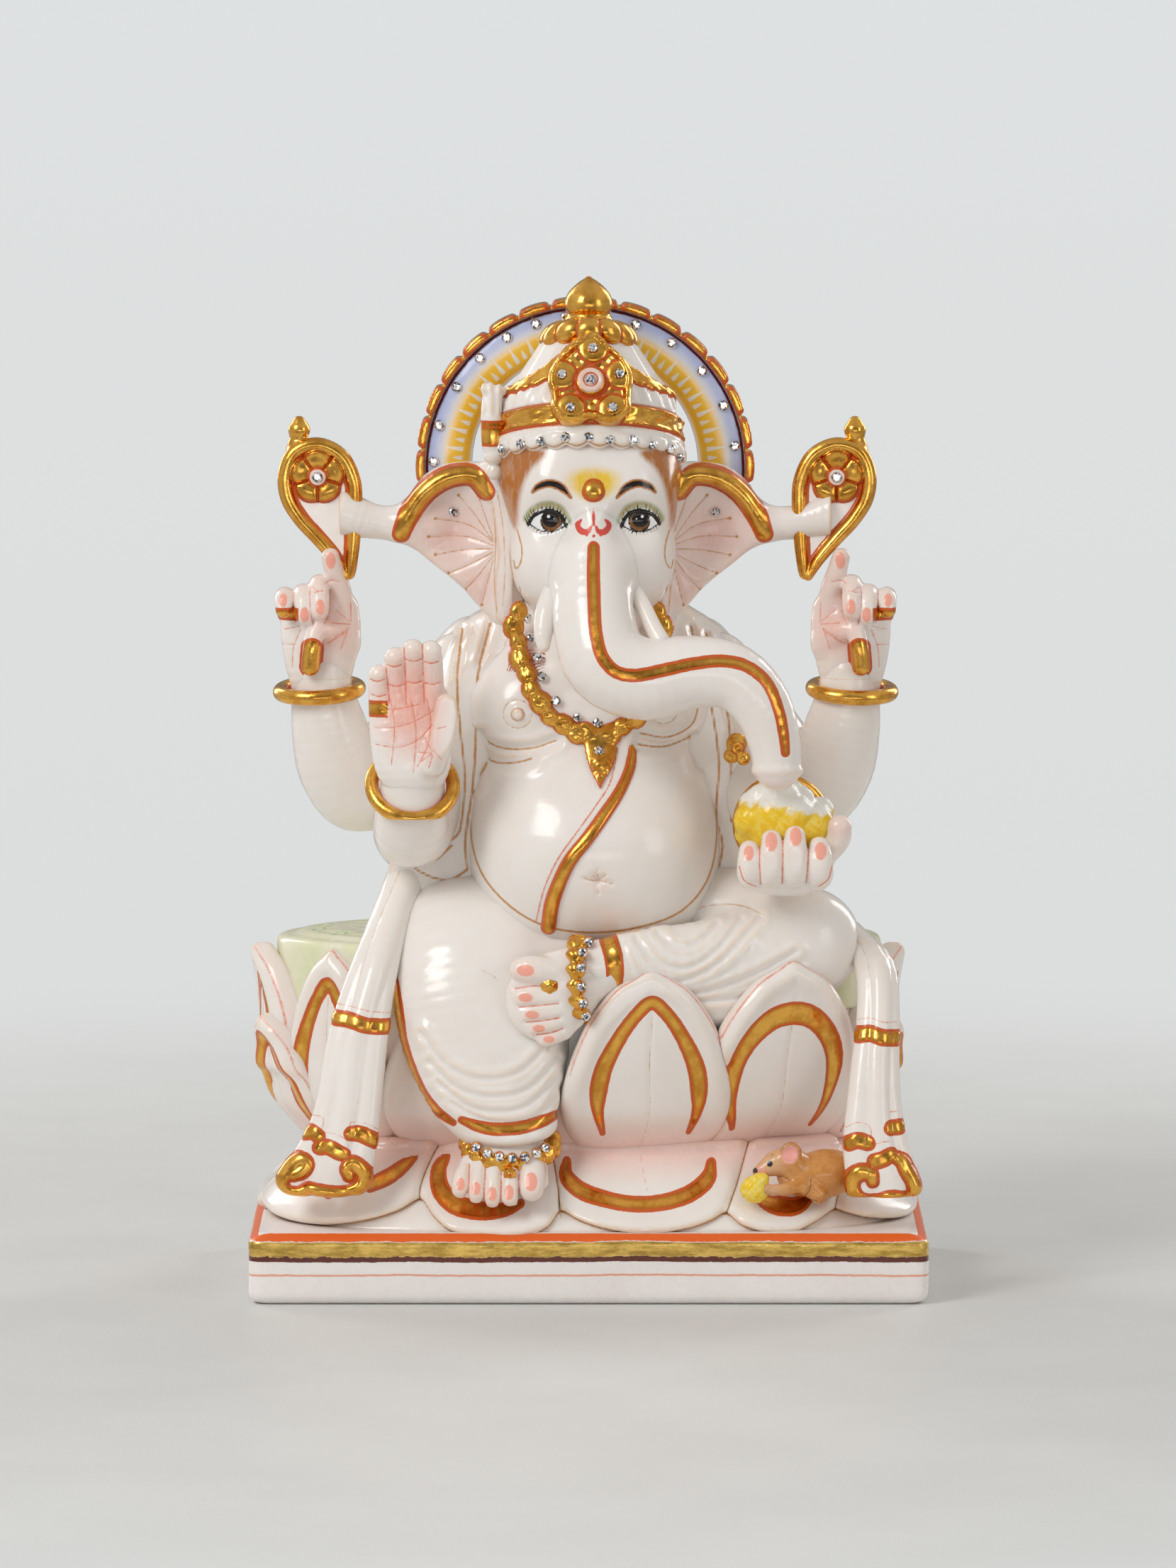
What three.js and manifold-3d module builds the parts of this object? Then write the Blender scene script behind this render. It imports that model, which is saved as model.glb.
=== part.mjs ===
// A seated Ganesha idol of polished white marble, 304 mm high, on a rectangular plinth.
// Row frame: millimetres, +Z up, the idol faces -Y, origin at the centre of the plinth's underside.
// "right" and "left" in the names are the idol's own: its right hand is at -X.
import * as THREE from "three";
import { mergeVertices } from "three/addons/utils/BufferGeometryUtils.js";
import Module from "manifold-3d";

const wasm = await Module();
wasm.setup();

// ---- driving dimensions ----
const JOINT_GAP = 0.3; // left between a piece and the neighbour that is seated in it
const GROW = 0.6; // how far a cutting piece is grown: even its flats then stand about JOINT_GAP out

const PLINTH = { width: 203, depth: 120, height: 19, corner: 2.5 };
const BOWL = { x: -3, y: 6, halfWidth: 91, halfDepth: 44, bottom: 42, rim: 97 };
const HALO = { y: 12, z: 243.5, outer: 49, inner: 35.5, thickness: 10, teeth: 30, tooth: 1.6 };
const CROWN = { y: -6, band: 252 };

// ---- materials ----
const finish = (color, roughness, metalness = 0) =>
  new THREE.MeshStandardMaterial({ color, roughness, metalness });
const marble = finish(0xf2ebe4, 0.25);
const gold = finish(0xc8922a, 0.35, 0.9);
const crystal = finish(0xf4f8ff, 0.05);
const seedGreen = finish(0xdfe6c8, 0.3);
const sweet = finish(0xf2dc4a, 0.4);
const fur = finish(0xb87838, 0.5);
const halo = finish(0xdfe3f2, 0.25);

// ---- shape helpers ----
const V = (x, y, z) => new THREE.Vector3(x, y, z);
const ACROSS_DEPTH = V(0, 1, 0);
const ACROSS_HEIGHT = V(0, 0, 1);
const mirrored = (stations) => stations.map(([x, ...rest]) => [-x, ...rest]);

// A ball stretched to half sizes a, b, c, turned about X, Y and Z, in degrees.
function ball([x, y, z], [a, b, c], turn = [0, 0, 0], fine = 1) {
  const g = new THREE.SphereGeometry(1, Math.round(10 * fine), Math.round(7 * fine));
  g.scale(a, b, c);
  g.rotateX(THREE.MathUtils.degToRad(turn[0]));
  g.rotateY(THREE.MathUtils.degToRad(turn[1]));
  g.rotateZ(THREE.MathUtils.degToRad(turn[2]));
  return g.translate(x, y, z);
}

// A rounded limb through stations [x, y, z, half width, half depth]. The width lies along side.
function limb(stations, { side = V(1, 0, 0), sides = 9, rings = 6, cap = 0.7 } = {}) {
  const smooth = (points) => new THREE.CatmullRomCurve3(points, false, "centripetal");
  const path = smooth(stations.map(([x, y, z]) => V(x, y, z)));
  const section = smooth(stations.map((s) => V(s[3], s[4] ?? s[3], 0)));
  const g = new THREE.SphereGeometry(1, sides, rings + 3);
  const p = g.attributes.position;
  const capRing = Math.SQRT1_2;
  for (let i = 0; i < p.count; i++) {
    const row = Math.floor(i / (sides + 1)); // 0 and rings + 3 are the poles
    const last = rings + 3;
    const t = THREE.MathUtils.clamp((row - 2) / (last - 4), 0, 1);
    const centre = path.getPoint(t);
    const along = path.getTangent(t);
    const across = side.clone().addScaledVector(along, -side.dot(along)).normalize();
    const through = V(0, 0, 0).crossVectors(across, along);
    const size = section.getPoint(t);
    const angle = ((i % (sides + 1)) / sides) * 2 * Math.PI;
    const fromEnd = Math.min(row, last - row);
    const reach = fromEnd === 0 ? 1 : fromEnd === 1 ? capRing : 0;
    const shrink = fromEnd === 0 ? 0 : fromEnd === 1 ? capRing : 1;
    const outward = row < last / 2 ? -1 : 1;
    centre.addScaledVector(along, outward * reach * cap * Math.min(size.x, size.y));
    centre.addScaledVector(across, shrink * size.x * Math.cos(angle));
    centre.addScaledVector(through, shrink * size.y * Math.sin(angle));
    p.setXYZ(i, centre.x, centre.y, centre.z);
  }
  return g;
}

// A body of elliptical levels [z, half width, half depth, centre x, centre y], from the bottom up.
function stack(levels, sides = 20) {
  const g = new THREE.CylinderGeometry(1, 1, 1, sides, levels.length - 1);
  g.rotateX(Math.PI / 2);
  const p = g.attributes.position;
  for (let i = 0; i < p.count; i++) {
    const [z, a, b, cx = 0, cy = 0] = levels[Math.round((p.getZ(i) + 0.5) * (levels.length - 1))];
    p.setXYZ(i, cx + a * p.getX(i), cy + b * p.getY(i), z);
  }
  return g;
}

// A solid of revolution about a vertical axis through (x, y), from [radius, z] points on or off the axis.
function turned(points, [x, y], sides = 20) {
  const g = new THREE.LatheGeometry(points.map(([r, z]) => new THREE.Vector2(r, z)), sides);
  return g.rotateX(Math.PI / 2).translate(x, y, 0);
}

// A ring of radius r and tube radius t about a centre, whose hole looks along axis.
function ring([x, y, z], r, t, axis = V(0, 0, 1), squash = 1) {
  const g = new THREE.TorusGeometry(r, t, 6, 16);
  g.scale(1, squash, 1);
  g.applyQuaternion(new THREE.Quaternion().setFromUnitVectors(V(0, 0, 1), axis.clone().normalize()));
  return g.translate(x, y, z);
}

// An upright slab: an outline of [x, z] points joined by a smooth closed curve, from y to y + depth.
function slab(outline, y, depth, { smooth = true, divisions = 3, bevel = 0.8 } = {}) {
  const points = outline.map(([x, z]) => V(x, z, 0));
  const curve = new THREE.CatmullRomCurve3(points, true, "centripetal");
  const edge = smooth ? curve.getPoints(outline.length * divisions).slice(0, -1) : points;
  const shape = new THREE.Shape(edge.map((q) => new THREE.Vector2(q.x, q.y)));
  const g = new THREE.ExtrudeGeometry(shape, {
    depth: depth - 2 * bevel,
    bevelThickness: bevel,
    bevelSize: bevel,
    bevelOffset: -bevel,
    bevelSegments: 1,
    curveSegments: 4,
  });
  return g.rotateX(Math.PI / 2).translate(0, y + depth - bevel, 0);
}

// ---- solids ----
function merged(geometry) {
  const g = geometry.index ? geometry.toNonIndexed() : geometry.clone();
  g.deleteAttribute("normal");
  g.deleteAttribute("uv");
  return mergeVertices(g, 1e-3);
}

function manifoldOf(geometry, grow) {
  const g = merged(geometry);
  g.computeVertexNormals();
  const { position, normal } = g.attributes;
  for (let i = 0; i < position.count; i++) {
    position.setXYZ(
      i,
      position.getX(i) + grow * normal.getX(i),
      position.getY(i) + grow * normal.getY(i),
      position.getZ(i) + grow * normal.getZ(i),
    );
  }
  const vertProperties = new Float32Array(position.array);
  return new wasm.Manifold(
    new wasm.Mesh({ numProp: 3, vertProperties, triVerts: new Uint32Array(g.index.array) }),
  );
}

const joined = (geometries, grow = 0) =>
  geometries.map((g) => manifoldOf(g, grow)).reduce((all, one) => all.add(one));

function boxesMeet(a, b) {
  const p = a.boundingBox();
  const q = b.boundingBox();
  return [0, 1, 2].every((k) => p.min[k] < q.max[k] && q.min[k] < p.max[k]);
}

const largest = (solid) =>
  solid.decompose().reduce((best, one) => (one.volume() > best.volume() ? one : best));

function geometryOf(solid) {
  const mesh = solid.getMesh();
  const n = mesh.numProp;
  const xyz = new Float32Array(mesh.numVert * 3);
  for (let i = 0; i < mesh.numVert; i++) xyz.set(mesh.vertProperties.subarray(i * n, i * n + 3), i * 3);
  const g = new THREE.BufferGeometry();
  g.setAttribute("position", new THREE.BufferAttribute(xyz, 3));
  g.setIndex(new THREE.BufferAttribute(mesh.triVerts, 1));
  g.computeVertexNormals();
  return g;
}

// ---- the base ----
function plinth() {
  const { width, depth, height, corner } = PLINTH;
  const [a, b] = [width / 2, depth / 2];
  const outline = new THREE.Shape();
  outline.moveTo(-a + corner, -b);
  outline.lineTo(a - corner, -b).absarc(a - corner, -b + corner, corner, -Math.PI / 2, 0);
  outline.lineTo(a, b - corner).absarc(a - corner, b - corner, corner, 0, Math.PI / 2);
  outline.lineTo(-a + corner, b).absarc(-a + corner, b - corner, corner, Math.PI / 2, Math.PI);
  outline.lineTo(-a, -b + corner).absarc(-a + corner, -b + corner, corner, Math.PI, 1.5 * Math.PI);
  return [new THREE.ExtrudeGeometry(outline, { depth: height, bevelEnabled: false, curveSegments: 4 })];
}

// The sloping ground between the plinth and the lotus.
function lotusMound() {
  const floor = PLINTH.height + JOINT_GAP;
  return [
    stack([
      [floor, 94, 52, 0, 1],
      [floor + 4, 93, 51, 0, 1],
      [floor + 12, 84, 43, -1, 3],
      [BOWL.bottom, 76, 36, -2, 5],
    ]),
  ];
}

// Fallen petals that lie on the mound: [centre x, half width, how far forward].
const GROUND_PETALS = [
  [-75, 24, -37],
  [-29, 20, -38],
  [17, 25, -38],
  [58, 17, -38],
  [85, 14, -36],
];
const groundPetal = ([x, halfWidth, y]) => {
  const slope = 34;
  return [ball([x, y, 30.5], [halfWidth, 17, 5], [slope, 0, 0], 1)];
};

function lotusBowl() {
  const { x, y, halfWidth: a, halfDepth: b, bottom, rim } = BOWL;
  return [
    stack(
      [
        [bottom + JOINT_GAP, 0.78 * a, 0.74 * b, x, y],
        [bottom + 9, 0.91 * a, 0.9 * b, x, y],
        [bottom + 20, 0.985 * a, 0.98 * b, x, y],
        [bottom + 34, a, b, x, y],
        [rim - 8, 0.985 * a, 0.97 * b, x, y],
        [rim, 0.93 * a, 0.92 * b, x, y],
      ],
      26,
    ),
  ];
}

function seedPod() {
  const { x, y, halfWidth: a, halfDepth: b, rim } = BOWL;
  const base = rim + JOINT_GAP;
  return [
    stack([
      [base, 0.9 * a, 0.88 * b, x, y],
      [base + 3.5, 0.9 * a, 0.88 * b, x, y],
      [base + 6, 0.8 * a, 0.76 * b, x, y],
      [base + 7, 0.4 * a, 0.4 * b, x, y],
    ]),
  ];
}

// Standing petals round the bowl: [name, angle from -Y towards +X, half width, tip height, curl of the tip].
const LOTUS_PETALS = [
  ["front", 12.5, 26, 98, -1],
  ["front_left", 45, 25, 99, -1],
  ["front_right", -27, 24, 92, -1],
  ["right_corner", -63, 19, 100, 0],
  ["right_side", -86, 21, 103, 3.2],
  ["right_back", -116, 24, 100, 2],
  ["left_side", 84, 22, 103, 2.4],
  ["left_back", 114, 24, 100, 2],
  ["back_right", -156, 26, 98, 0],
  ["back_left", 156, 26, 98, 0],
];
const lotusPetal = ([, degrees, halfWidth, tip, curl]) => {
  // The angle is on the stretched circle that makes the bowl's oval.
  const angle = THREE.MathUtils.degToRad(degrees);
  const { x, y, halfWidth: a, halfDepth: b, bottom } = BOWL;
  const at = (share, out) => [
    x + (share * a + out) * Math.sin(angle),
    y - (share * b + out) * Math.cos(angle),
  ];
  const side = V(a * Math.cos(angle), b * Math.sin(angle), 0).normalize();
  const levels = [
    [bottom + 2, 0.8, 0, 0.62],
    [bottom + 10, 0.92, 0.5, 0.86],
    [bottom + 24, 0.985, 1.4, 1],
    [bottom + 38, 0.99, 1.8, 0.82],
    [tip - 6, 0.97, 1.6 + curl / 2, 0.38],
    [tip, 0.96, 1.4 + curl, 0.07],
  ];
  const stations = levels.map(([z, share, out, width]) => [...at(share, out), z, halfWidth * width, 3]);
  return [limb(stations, { side, sides: 8, rings: 6, cap: 0.5 })];
};

// ---- body and legs ----
function torso() {
  return [
    stack(
      [
        [104, 30, 24, 2, -1],
        [112, 34, 29, 2, -4],
        [122, 36.5, 33, 2, -5],
        [134, 37, 34, 2, -6],
        [147, 35.5, 31.5, 2, -5],
        [158, 33, 28, 1, -3],
        [168, 33.5, 26.5, 0, -2],
        [180, 35, 25, 0, -1],
        [192, 32, 21, 0, 0],
        [201, 25, 18, 0, 1],
        [210, 17, 16, 0, 1],
      ],
      20,
    ),
  ];
}

const rightLeg = () => [
  limb(
    [
      [-22, 2, 110, 20, 15],
      [-35, -17, 107, 20, 15],
      [-38, -29, 97, 21, 13.5],
      [-35, -36, 80, 22, 13],
      [-28, -41, 63, 18, 11],
      [-24, -43, 54, 13, 9.5],
    ],
    { sides: 11, rings: 8, cap: 0.5 },
  ),
];
const leftLeg = () => [
  limb(
    [
      [20, 6, 111, 18, 18],
      [44, -8, 108, 17, 17],
      [64, -21, 104, 15, 15.5],
    ],
    { side: ACROSS_DEPTH, sides: 10, rings: 4 },
  ),
  limb(
    [
      [63, -25, 102, 13, 15],
      [42, -35, 98, 11, 14],
      [24, -41, 98, 9, 11.5],
      [8, -44, 99, 8, 8.5],
    ],
    { side: ACROSS_DEPTH, sides: 10, rings: 5 },
  ),
];
const TOES = 5;
function rightFoot() {
  const sole = [
    [-24, -41, 47, 10, 9],
    [-25, -47, 38, 13.5, 6],
    [-26, -52, 34, 14.5, 5],
  ];
  const parts = [limb(sole, { rings: 5 })];
  for (let i = 0; i < TOES; i++) {
    const x = -37 + i * 5.6;
    const r = i === TOES - 1 ? 3.6 : 2.7;
    parts.push(limb([[x, -50, 35, r, r], [x, -55.5, 31.5, r, r]], { sides: 6, rings: 2 }));
  }
  return parts;
}
function leftFoot() {
  const sole = [
    [3, -45, 97, 8, 8],
    [-6, -47, 93, 5.5, 11],
    [-13, -48, 88, 4.5, 12.5],
  ];
  const parts = [limb(sole, { side: ACROSS_DEPTH, rings: 5 })];
  for (let i = 0; i < TOES; i++) {
    const z = 97.5 - i * 5.2;
    const x = -17.5 + i * 1.7;
    const r = i === 0 ? 3.6 : 2.6;
    const toe = [
      [x + 5, -48.5, z, r, r],
      [x, -49.5, z - 0.5, r, r],
    ];
    parts.push(limb(toe, { side: ACROSS_HEIGHT, sides: 6, rings: 2 }));
  }
  return parts;
}
const rightAnklet = () => [ring([-23.5, -42.5, 46.5], 12, 1.7, V(0, -0.35, 1), 0.86)];
const leftAnklet = () => [ring([-1.5, -45.5, 95], 10.5, 1.7, V(1, -0.12, 0.15), 0.82)];

// ---- front arms ----
const rightArm = () => [
  limb(
    [
      [-37, 4, 184, 13, 12],
      [-47, -4, 158, 12, 12],
      [-52, -17, 139, 12, 12],
      [-53, -30, 142, 10.5, 11],
      [-52.5, -37, 154, 9.5, 8],
    ],
    { sides: 9, rings: 8 },
  ),
];
const leftArm = () => [
  limb(
    [
      [37, 4, 184, 13, 12],
      [48, 0, 160, 12, 12],
      [53, -12, 146, 11.5, 12],
      [58, -33, 143, 10.5, 10.5],
    ],
    { sides: 9, rings: 6 },
  ),
];
function rightHand() {
  const y = -40;
  const fingers = [
    [-62, 190],
    [-57.5, 195],
    [-52.5, 198],
    [-47, 198.5],
  ];
  const thumb = [
    [-42.5, y - 2, 165, 4],
    [-40.5, y - 3, 177, 3],
  ];
  const parts = [ball([-52.5, y, 168.5], [12, 6, 15]), limb(thumb, { sides: 6, rings: 2 })];
  for (const [x, tip] of fingers) {
    parts.push(limb([[x * 0.9 - 5, y, 176, 3.4], [x, y - 1, tip - 2, 2.7]], { sides: 6, rings: 3 }));
  }
  return parts;
}
const rightBangle = () => [ring([-52.5, -36.5, 153], 12.6, 2, V(0.05, -0.3, 1), 0.9)];
function leftHand() {
  const parts = [ball([59, -40, 129.5], [13, 8, 10])];
  [48, 55, 62, 69.5].forEach((x) =>
    parts.push(limb([[x, -46, 124, 3.6], [x, -49.5, 131, 3.4], [x, -48, 137, 3]], { sides: 6, rings: 3 })),
  );
  parts.push(limb([[70, -42, 131, 3.6], [75.5, -44, 139.5, 3.2]], { sides: 6, rings: 2 }));
  return parts;
}
const leftBangle = () => [ring([58, -31, 145.5], 13.2, 2, V(0.15, -1, 0), 1)];
const modak = () => [ball([58.5, -40, 141], [13.5, 9.5, 9]), ball([57, -42, 150], [7.5, 6, 4])];

// ---- rear arms, one built at +X and mirrored ----
const REAR_ARM = [
  [36, 15, 186, 13, 12],
  [54, 15, 164, 13, 13],
  [68, 11, 149, 14, 14],
  [76, 5, 158, 11.5, 12],
  [80, 1, 176, 9, 8.5],
];
const REAR_WRIST = [80, 0, 178];
const sided = (sign, stations) => (sign > 0 ? stations : mirrored(stations));
const rearArm = (sign) => [limb(sided(sign, REAR_ARM), { side: ACROSS_DEPTH, sides: 9, rings: 8 })];
const rearBangle = (sign) => {
  const [x, y, z] = REAR_WRIST;
  return [ring([sign * x, y, z], 11.6, 2.2, V(sign * 0.08, -0.12, 1), 0.92)];
};
function rearHand(sign) {
  const finger = (stations) => limb(sided(sign, stations), { sides: 6, rings: 3 });
  return [
    ball([sign * 80.5, -2, 194], [11.6, 7, 13.5]),
    finger([[88, -6, 207, 3.2], [90, -8, 203, 3], [89, -10, 199, 2.8]]),
    finger([[82, -6, 208, 3.2], [83, -11, 204, 3], [83, -11, 196, 2.8]]),
    finger([[76, -4, 206, 3.4], [76, -7, 213, 3], [77.5, -8, 221, 2.6]]),
    finger([[78, -9, 193, 3], [82.5, -11, 188, 3], [83.5, -10, 183, 2.8]]),
  ];
}
// The teardrop emblem that stands on each rear hand: a round head with a stem down to the fingers.
function emblem(sign, head, tip) {
  const radius = 11.6;
  const outline = [];
  for (let i = 0; i <= 8; i++) {
    const angle = THREE.MathUtils.degToRad(-25 + i * 28.75);
    outline.push([head[0] + radius * Math.cos(angle), head[1] + radius * Math.sin(angle)]);
  }
  const waist = (share, half) => [
    head[0] + (tip[0] - head[0]) * share + half,
    head[1] + (tip[1] - head[1]) * share,
  ];
  outline.push(waist(0.55, -7), waist(0.85, -3.6), waist(1, -1), waist(1, 2), waist(0.6, 7.6));
  const knob = [head[0] + sign * 4.6, head[1] + radius + 1];
  return [
    slab(outline, -7, 7.5, { divisions: 2 }),
    ball([knob[0], -3.2, knob[1] + 1.2], [3.1, 3.1, 2.8], [0, 0, 0], 0.8),
    limb([[knob[0], -3.2, knob[1] - 4, 2.4], [knob[0], -3.2, knob[1], 1.8]], { sides: 6, rings: 2 }),
  ];
}

// ---- shawl ----
const shawl = () => [
  limb(
    [
      [-51, -2, 138, 14, 13],
      [-47, 4, 162, 15, 13.5],
      [-35, 9, 184, 16, 13],
      [0, 13, 195, 16, 15],
      [35, 9, 184, 16, 13],
      [47, 4, 162, 15, 13.5],
      [52, 0, 142, 14, 13],
    ],
    { side: ACROSS_DEPTH, sides: 10, rings: 12 },
  ),
  ball([0, 20, 150], [44, 14, 48], [0, 0, 0], 1.2),
];
const rightTail = () => [
  limb(
    [
      [-55, -10, 126, 6, 4],
      [-62, -33, 106, 6, 4],
      [-67, -43, 82, 7.8, 4],
      [-69, -47, 64, 9.8, 4.5],
      [-74, -50, 46, 11, 5],
      [-79, -51, 32, 14, 5.5],
    ],
    { sides: 8, rings: 7, cap: 0.4 },
  ),
];
const leftTail = () => [
  limb(
    [
      [79, -14, 113, 5, 4],
      [86, -28, 100, 5.5, 4],
      [87, -39, 80, 6.2, 4],
      [85.5, -45, 64, 7.5, 4.5],
      [86, -49, 46, 9.5, 5],
      [88, -51, 32, 11.5, 5.5],
    ],
    { sides: 8, rings: 7, cap: 0.4 },
  ),
];

// ---- head ----
const head = () => [
  stack(
    [
      [196, 13, 12, 0, -12],
      [206, 19.5, 20, 0, -12],
      [218, 23, 23.5, 0, -11],
      [232, 25.5, 25.5, 0, -9],
      [244, 26.3, 26, 0, -8],
      [254, 25, 24.5, 0, -7],
      [262, 20, 20, 0, -6],
    ],
    16,
  ),
];
const TRUNK = [
  [0.5, -27, 231, 8.5],
  [1, -36, 215, 11],
  [1.5, -42, 201, 12.5],
  [6, -46, 190, 12.8],
  [18, -48, 186, 12],
  [32, -49, 188.5, 10.8],
  [44, -50, 187, 9.8],
  [52, -51, 177, 8.6],
  [55.5, -51, 165, 7.4],
  [56.5, -50, 157, 7.4],
];
const trunk = () => [limb(TRUNK, { side: ACROSS_DEPTH, sides: 10, rings: 13, cap: 0.35 })];
const tusk = (sign, stations) => [limb(sided(sign, stations), { sides: 6, rings: 4 })];
const RIGHT_TUSK = [[11, -30, 212, 3.2], [15, -36, 205, 3], [15, -40, 197, 2]];
const LEFT_TUSK = [[14, -29, 214, 3.4], [20, -36, 208, 3.2], [22, -42, 199, 2.6]];

// One ear with the bridge that ties it to the emblem, built at +X.
const EAR_OUTLINE = [
  [24, 243],
  [34, 247],
  [46, 244.5],
  [54, 237],
  [58, 226],
  [51, 221],
  [43, 213],
  [35, 204],
  [28, 203],
  [22, 214],
];
function ear(sign) {
  const outline = EAR_OUTLINE.map(([x, z]) => [sign * x, z]);
  if (sign < 0) outline.reverse();
  const bridge = sided(sign, [
    [50, -1, 230, 5, 5],
    [60, -2, 231.5, 4.4, 4.6],
    [72, -3, 233, 5.4, 4.4],
  ]);
  return [
    slab(outline, -6, 8, { divisions: 2, bevel: 1.4 }),
    limb(bridge, { side: ACROSS_HEIGHT, sides: 6, rings: 4 }),
  ];
}

// ---- crown ----
const crownBand = () => [
  stack(
    [
      [CROWN.band - 4, 27.2, 26, 0, CROWN.y],
      [CROWN.band, 28, 27, 0, CROWN.y],
      [CROWN.band + 12, 27, 26, 0, CROWN.y],
      [CROWN.band + 19, 25.4, 24, 0, CROWN.y],
    ],
    16,
  ),
];
const crownDome = () => [
  stack(
    [
      [266, 24, 22.5, 0, CROWN.y],
      [275, 20.5, 19.5, 0, CROWN.y],
      [283, 15.5, 15, 0, CROWN.y],
      [290, 11.5, 11.5, 0, CROWN.y],
    ],
    14,
  ),
];
const crownMedallion = () => {
  const outline = [
    [0, 290.5],
    [6, 285],
    [11.5, 278],
    [12, 270],
    [8.5, 264.5],
    [0, 263],
    [-8.5, 264.5],
    [-12, 270],
    [-11.5, 278],
    [-6, 285],
  ];
  const g = slab(outline, -2, 4, { divisions: 2 });
  const lean = THREE.MathUtils.degToRad(-14);
  return [g.translate(0, 0, -276).rotateX(lean).translate(0.5, -32, 276)];
};
const crownBeads = () => [ring([0, CROWN.y, 288.2], 10.6, 3.4)];
const crownFinial = () => [
  turned([[0, 290], [6.4, 290.2], [6.9, 294], [6.2, 298], [3, 302], [0, 304]], [0, CROWN.y], 10),
];
const medallionStone = () => [ball([0.5, -34.8, 277.5], [2.1, 1.4, 2.1], [0, 0, 0], 0.7)];

// The serrated ring of light behind the head: each tooth stands out between two notches.
function haloRing() {
  const { y, z, outer, inner, thickness, teeth, tooth } = HALO;
  const at = (radius, turns) => {
    const angle = 2 * Math.PI * turns;
    return new THREE.Vector2(radius * Math.cos(angle), radius * Math.sin(angle));
  };
  const rim = [];
  const bore = [];
  for (let i = 0; i < teeth; i++) {
    const [start, end] = [(i + 0.08) / teeth, (i + 0.92) / teeth];
    const tip = outer + tooth;
    rim.push(at(outer, start), at(tip, start), at(tip, end), at(outer, end));
    bore.push(at(inner, -i / teeth));
  }
  const shape = new THREE.Shape(rim);
  shape.holes.push(new THREE.Path(bore));
  const g = new THREE.ExtrudeGeometry(shape, { depth: thickness, bevelEnabled: false });
  return [g.rotateX(Math.PI / 2).translate(0, y + thickness, z)];
}

// ---- ornaments and the mouse ----
const necklace = () => [
  limb(
    [
      [-23, -27, 209, 2.4],
      [-20, -31, 190, 2.4],
      [-13, -35, 176, 2.4],
      [1, -38.5, 168, 2.6],
      [14, -35, 176, 2.4],
      [21, -31, 190, 2.4],
      [23, -27, 207, 2.4],
    ],
    { side: ACROSS_DEPTH, sides: 6, rings: 11 },
  ),
  limb([[1.5, -38, 166, 4.6, 2.2], [2, -39, 159, 2.6, 1.8], [2.2, -39.5, 155, 1, 1]], { sides: 6, rings: 3 }),
];
const sacredThread = () => [
  limb(
    [
      [12, -35, 166, 2, 1.5],
      [10, -37.5, 153, 2, 1.5],
      [-1, -40, 139, 2.2, 1.5],
      [-9, -38.5, 125, 2.4, 1.5],
      [-12, -34, 113, 2.6, 1.5],
    ],
    { sides: 6, rings: 7 },
  ),
];
function mouse() {
  const muzzle = [
    [61, -46, 41, 5.2],
    [55, -48, 41.5, 3.8],
    [50.5, -49, 39.5, 1.8],
  ];
  const paw = [
    [62, -48, 36, 2.6],
    [55, -51, 35, 2],
    [51, -51, 36, 1.8],
  ];
  return [
    ball([68, -44, 38], [11, 6.5, 6.5], [0, -6, 0]),
    limb(muzzle, { side: ACROSS_DEPTH, sides: 6, rings: 4 }),
    ball([61.5, -49, 45.5], [3, 1.6, 3.2], [0, 0, 0], 0.7),
    limb(paw, { side: ACROSS_DEPTH, sides: 6, rings: 3 }),
  ];
}

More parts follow.
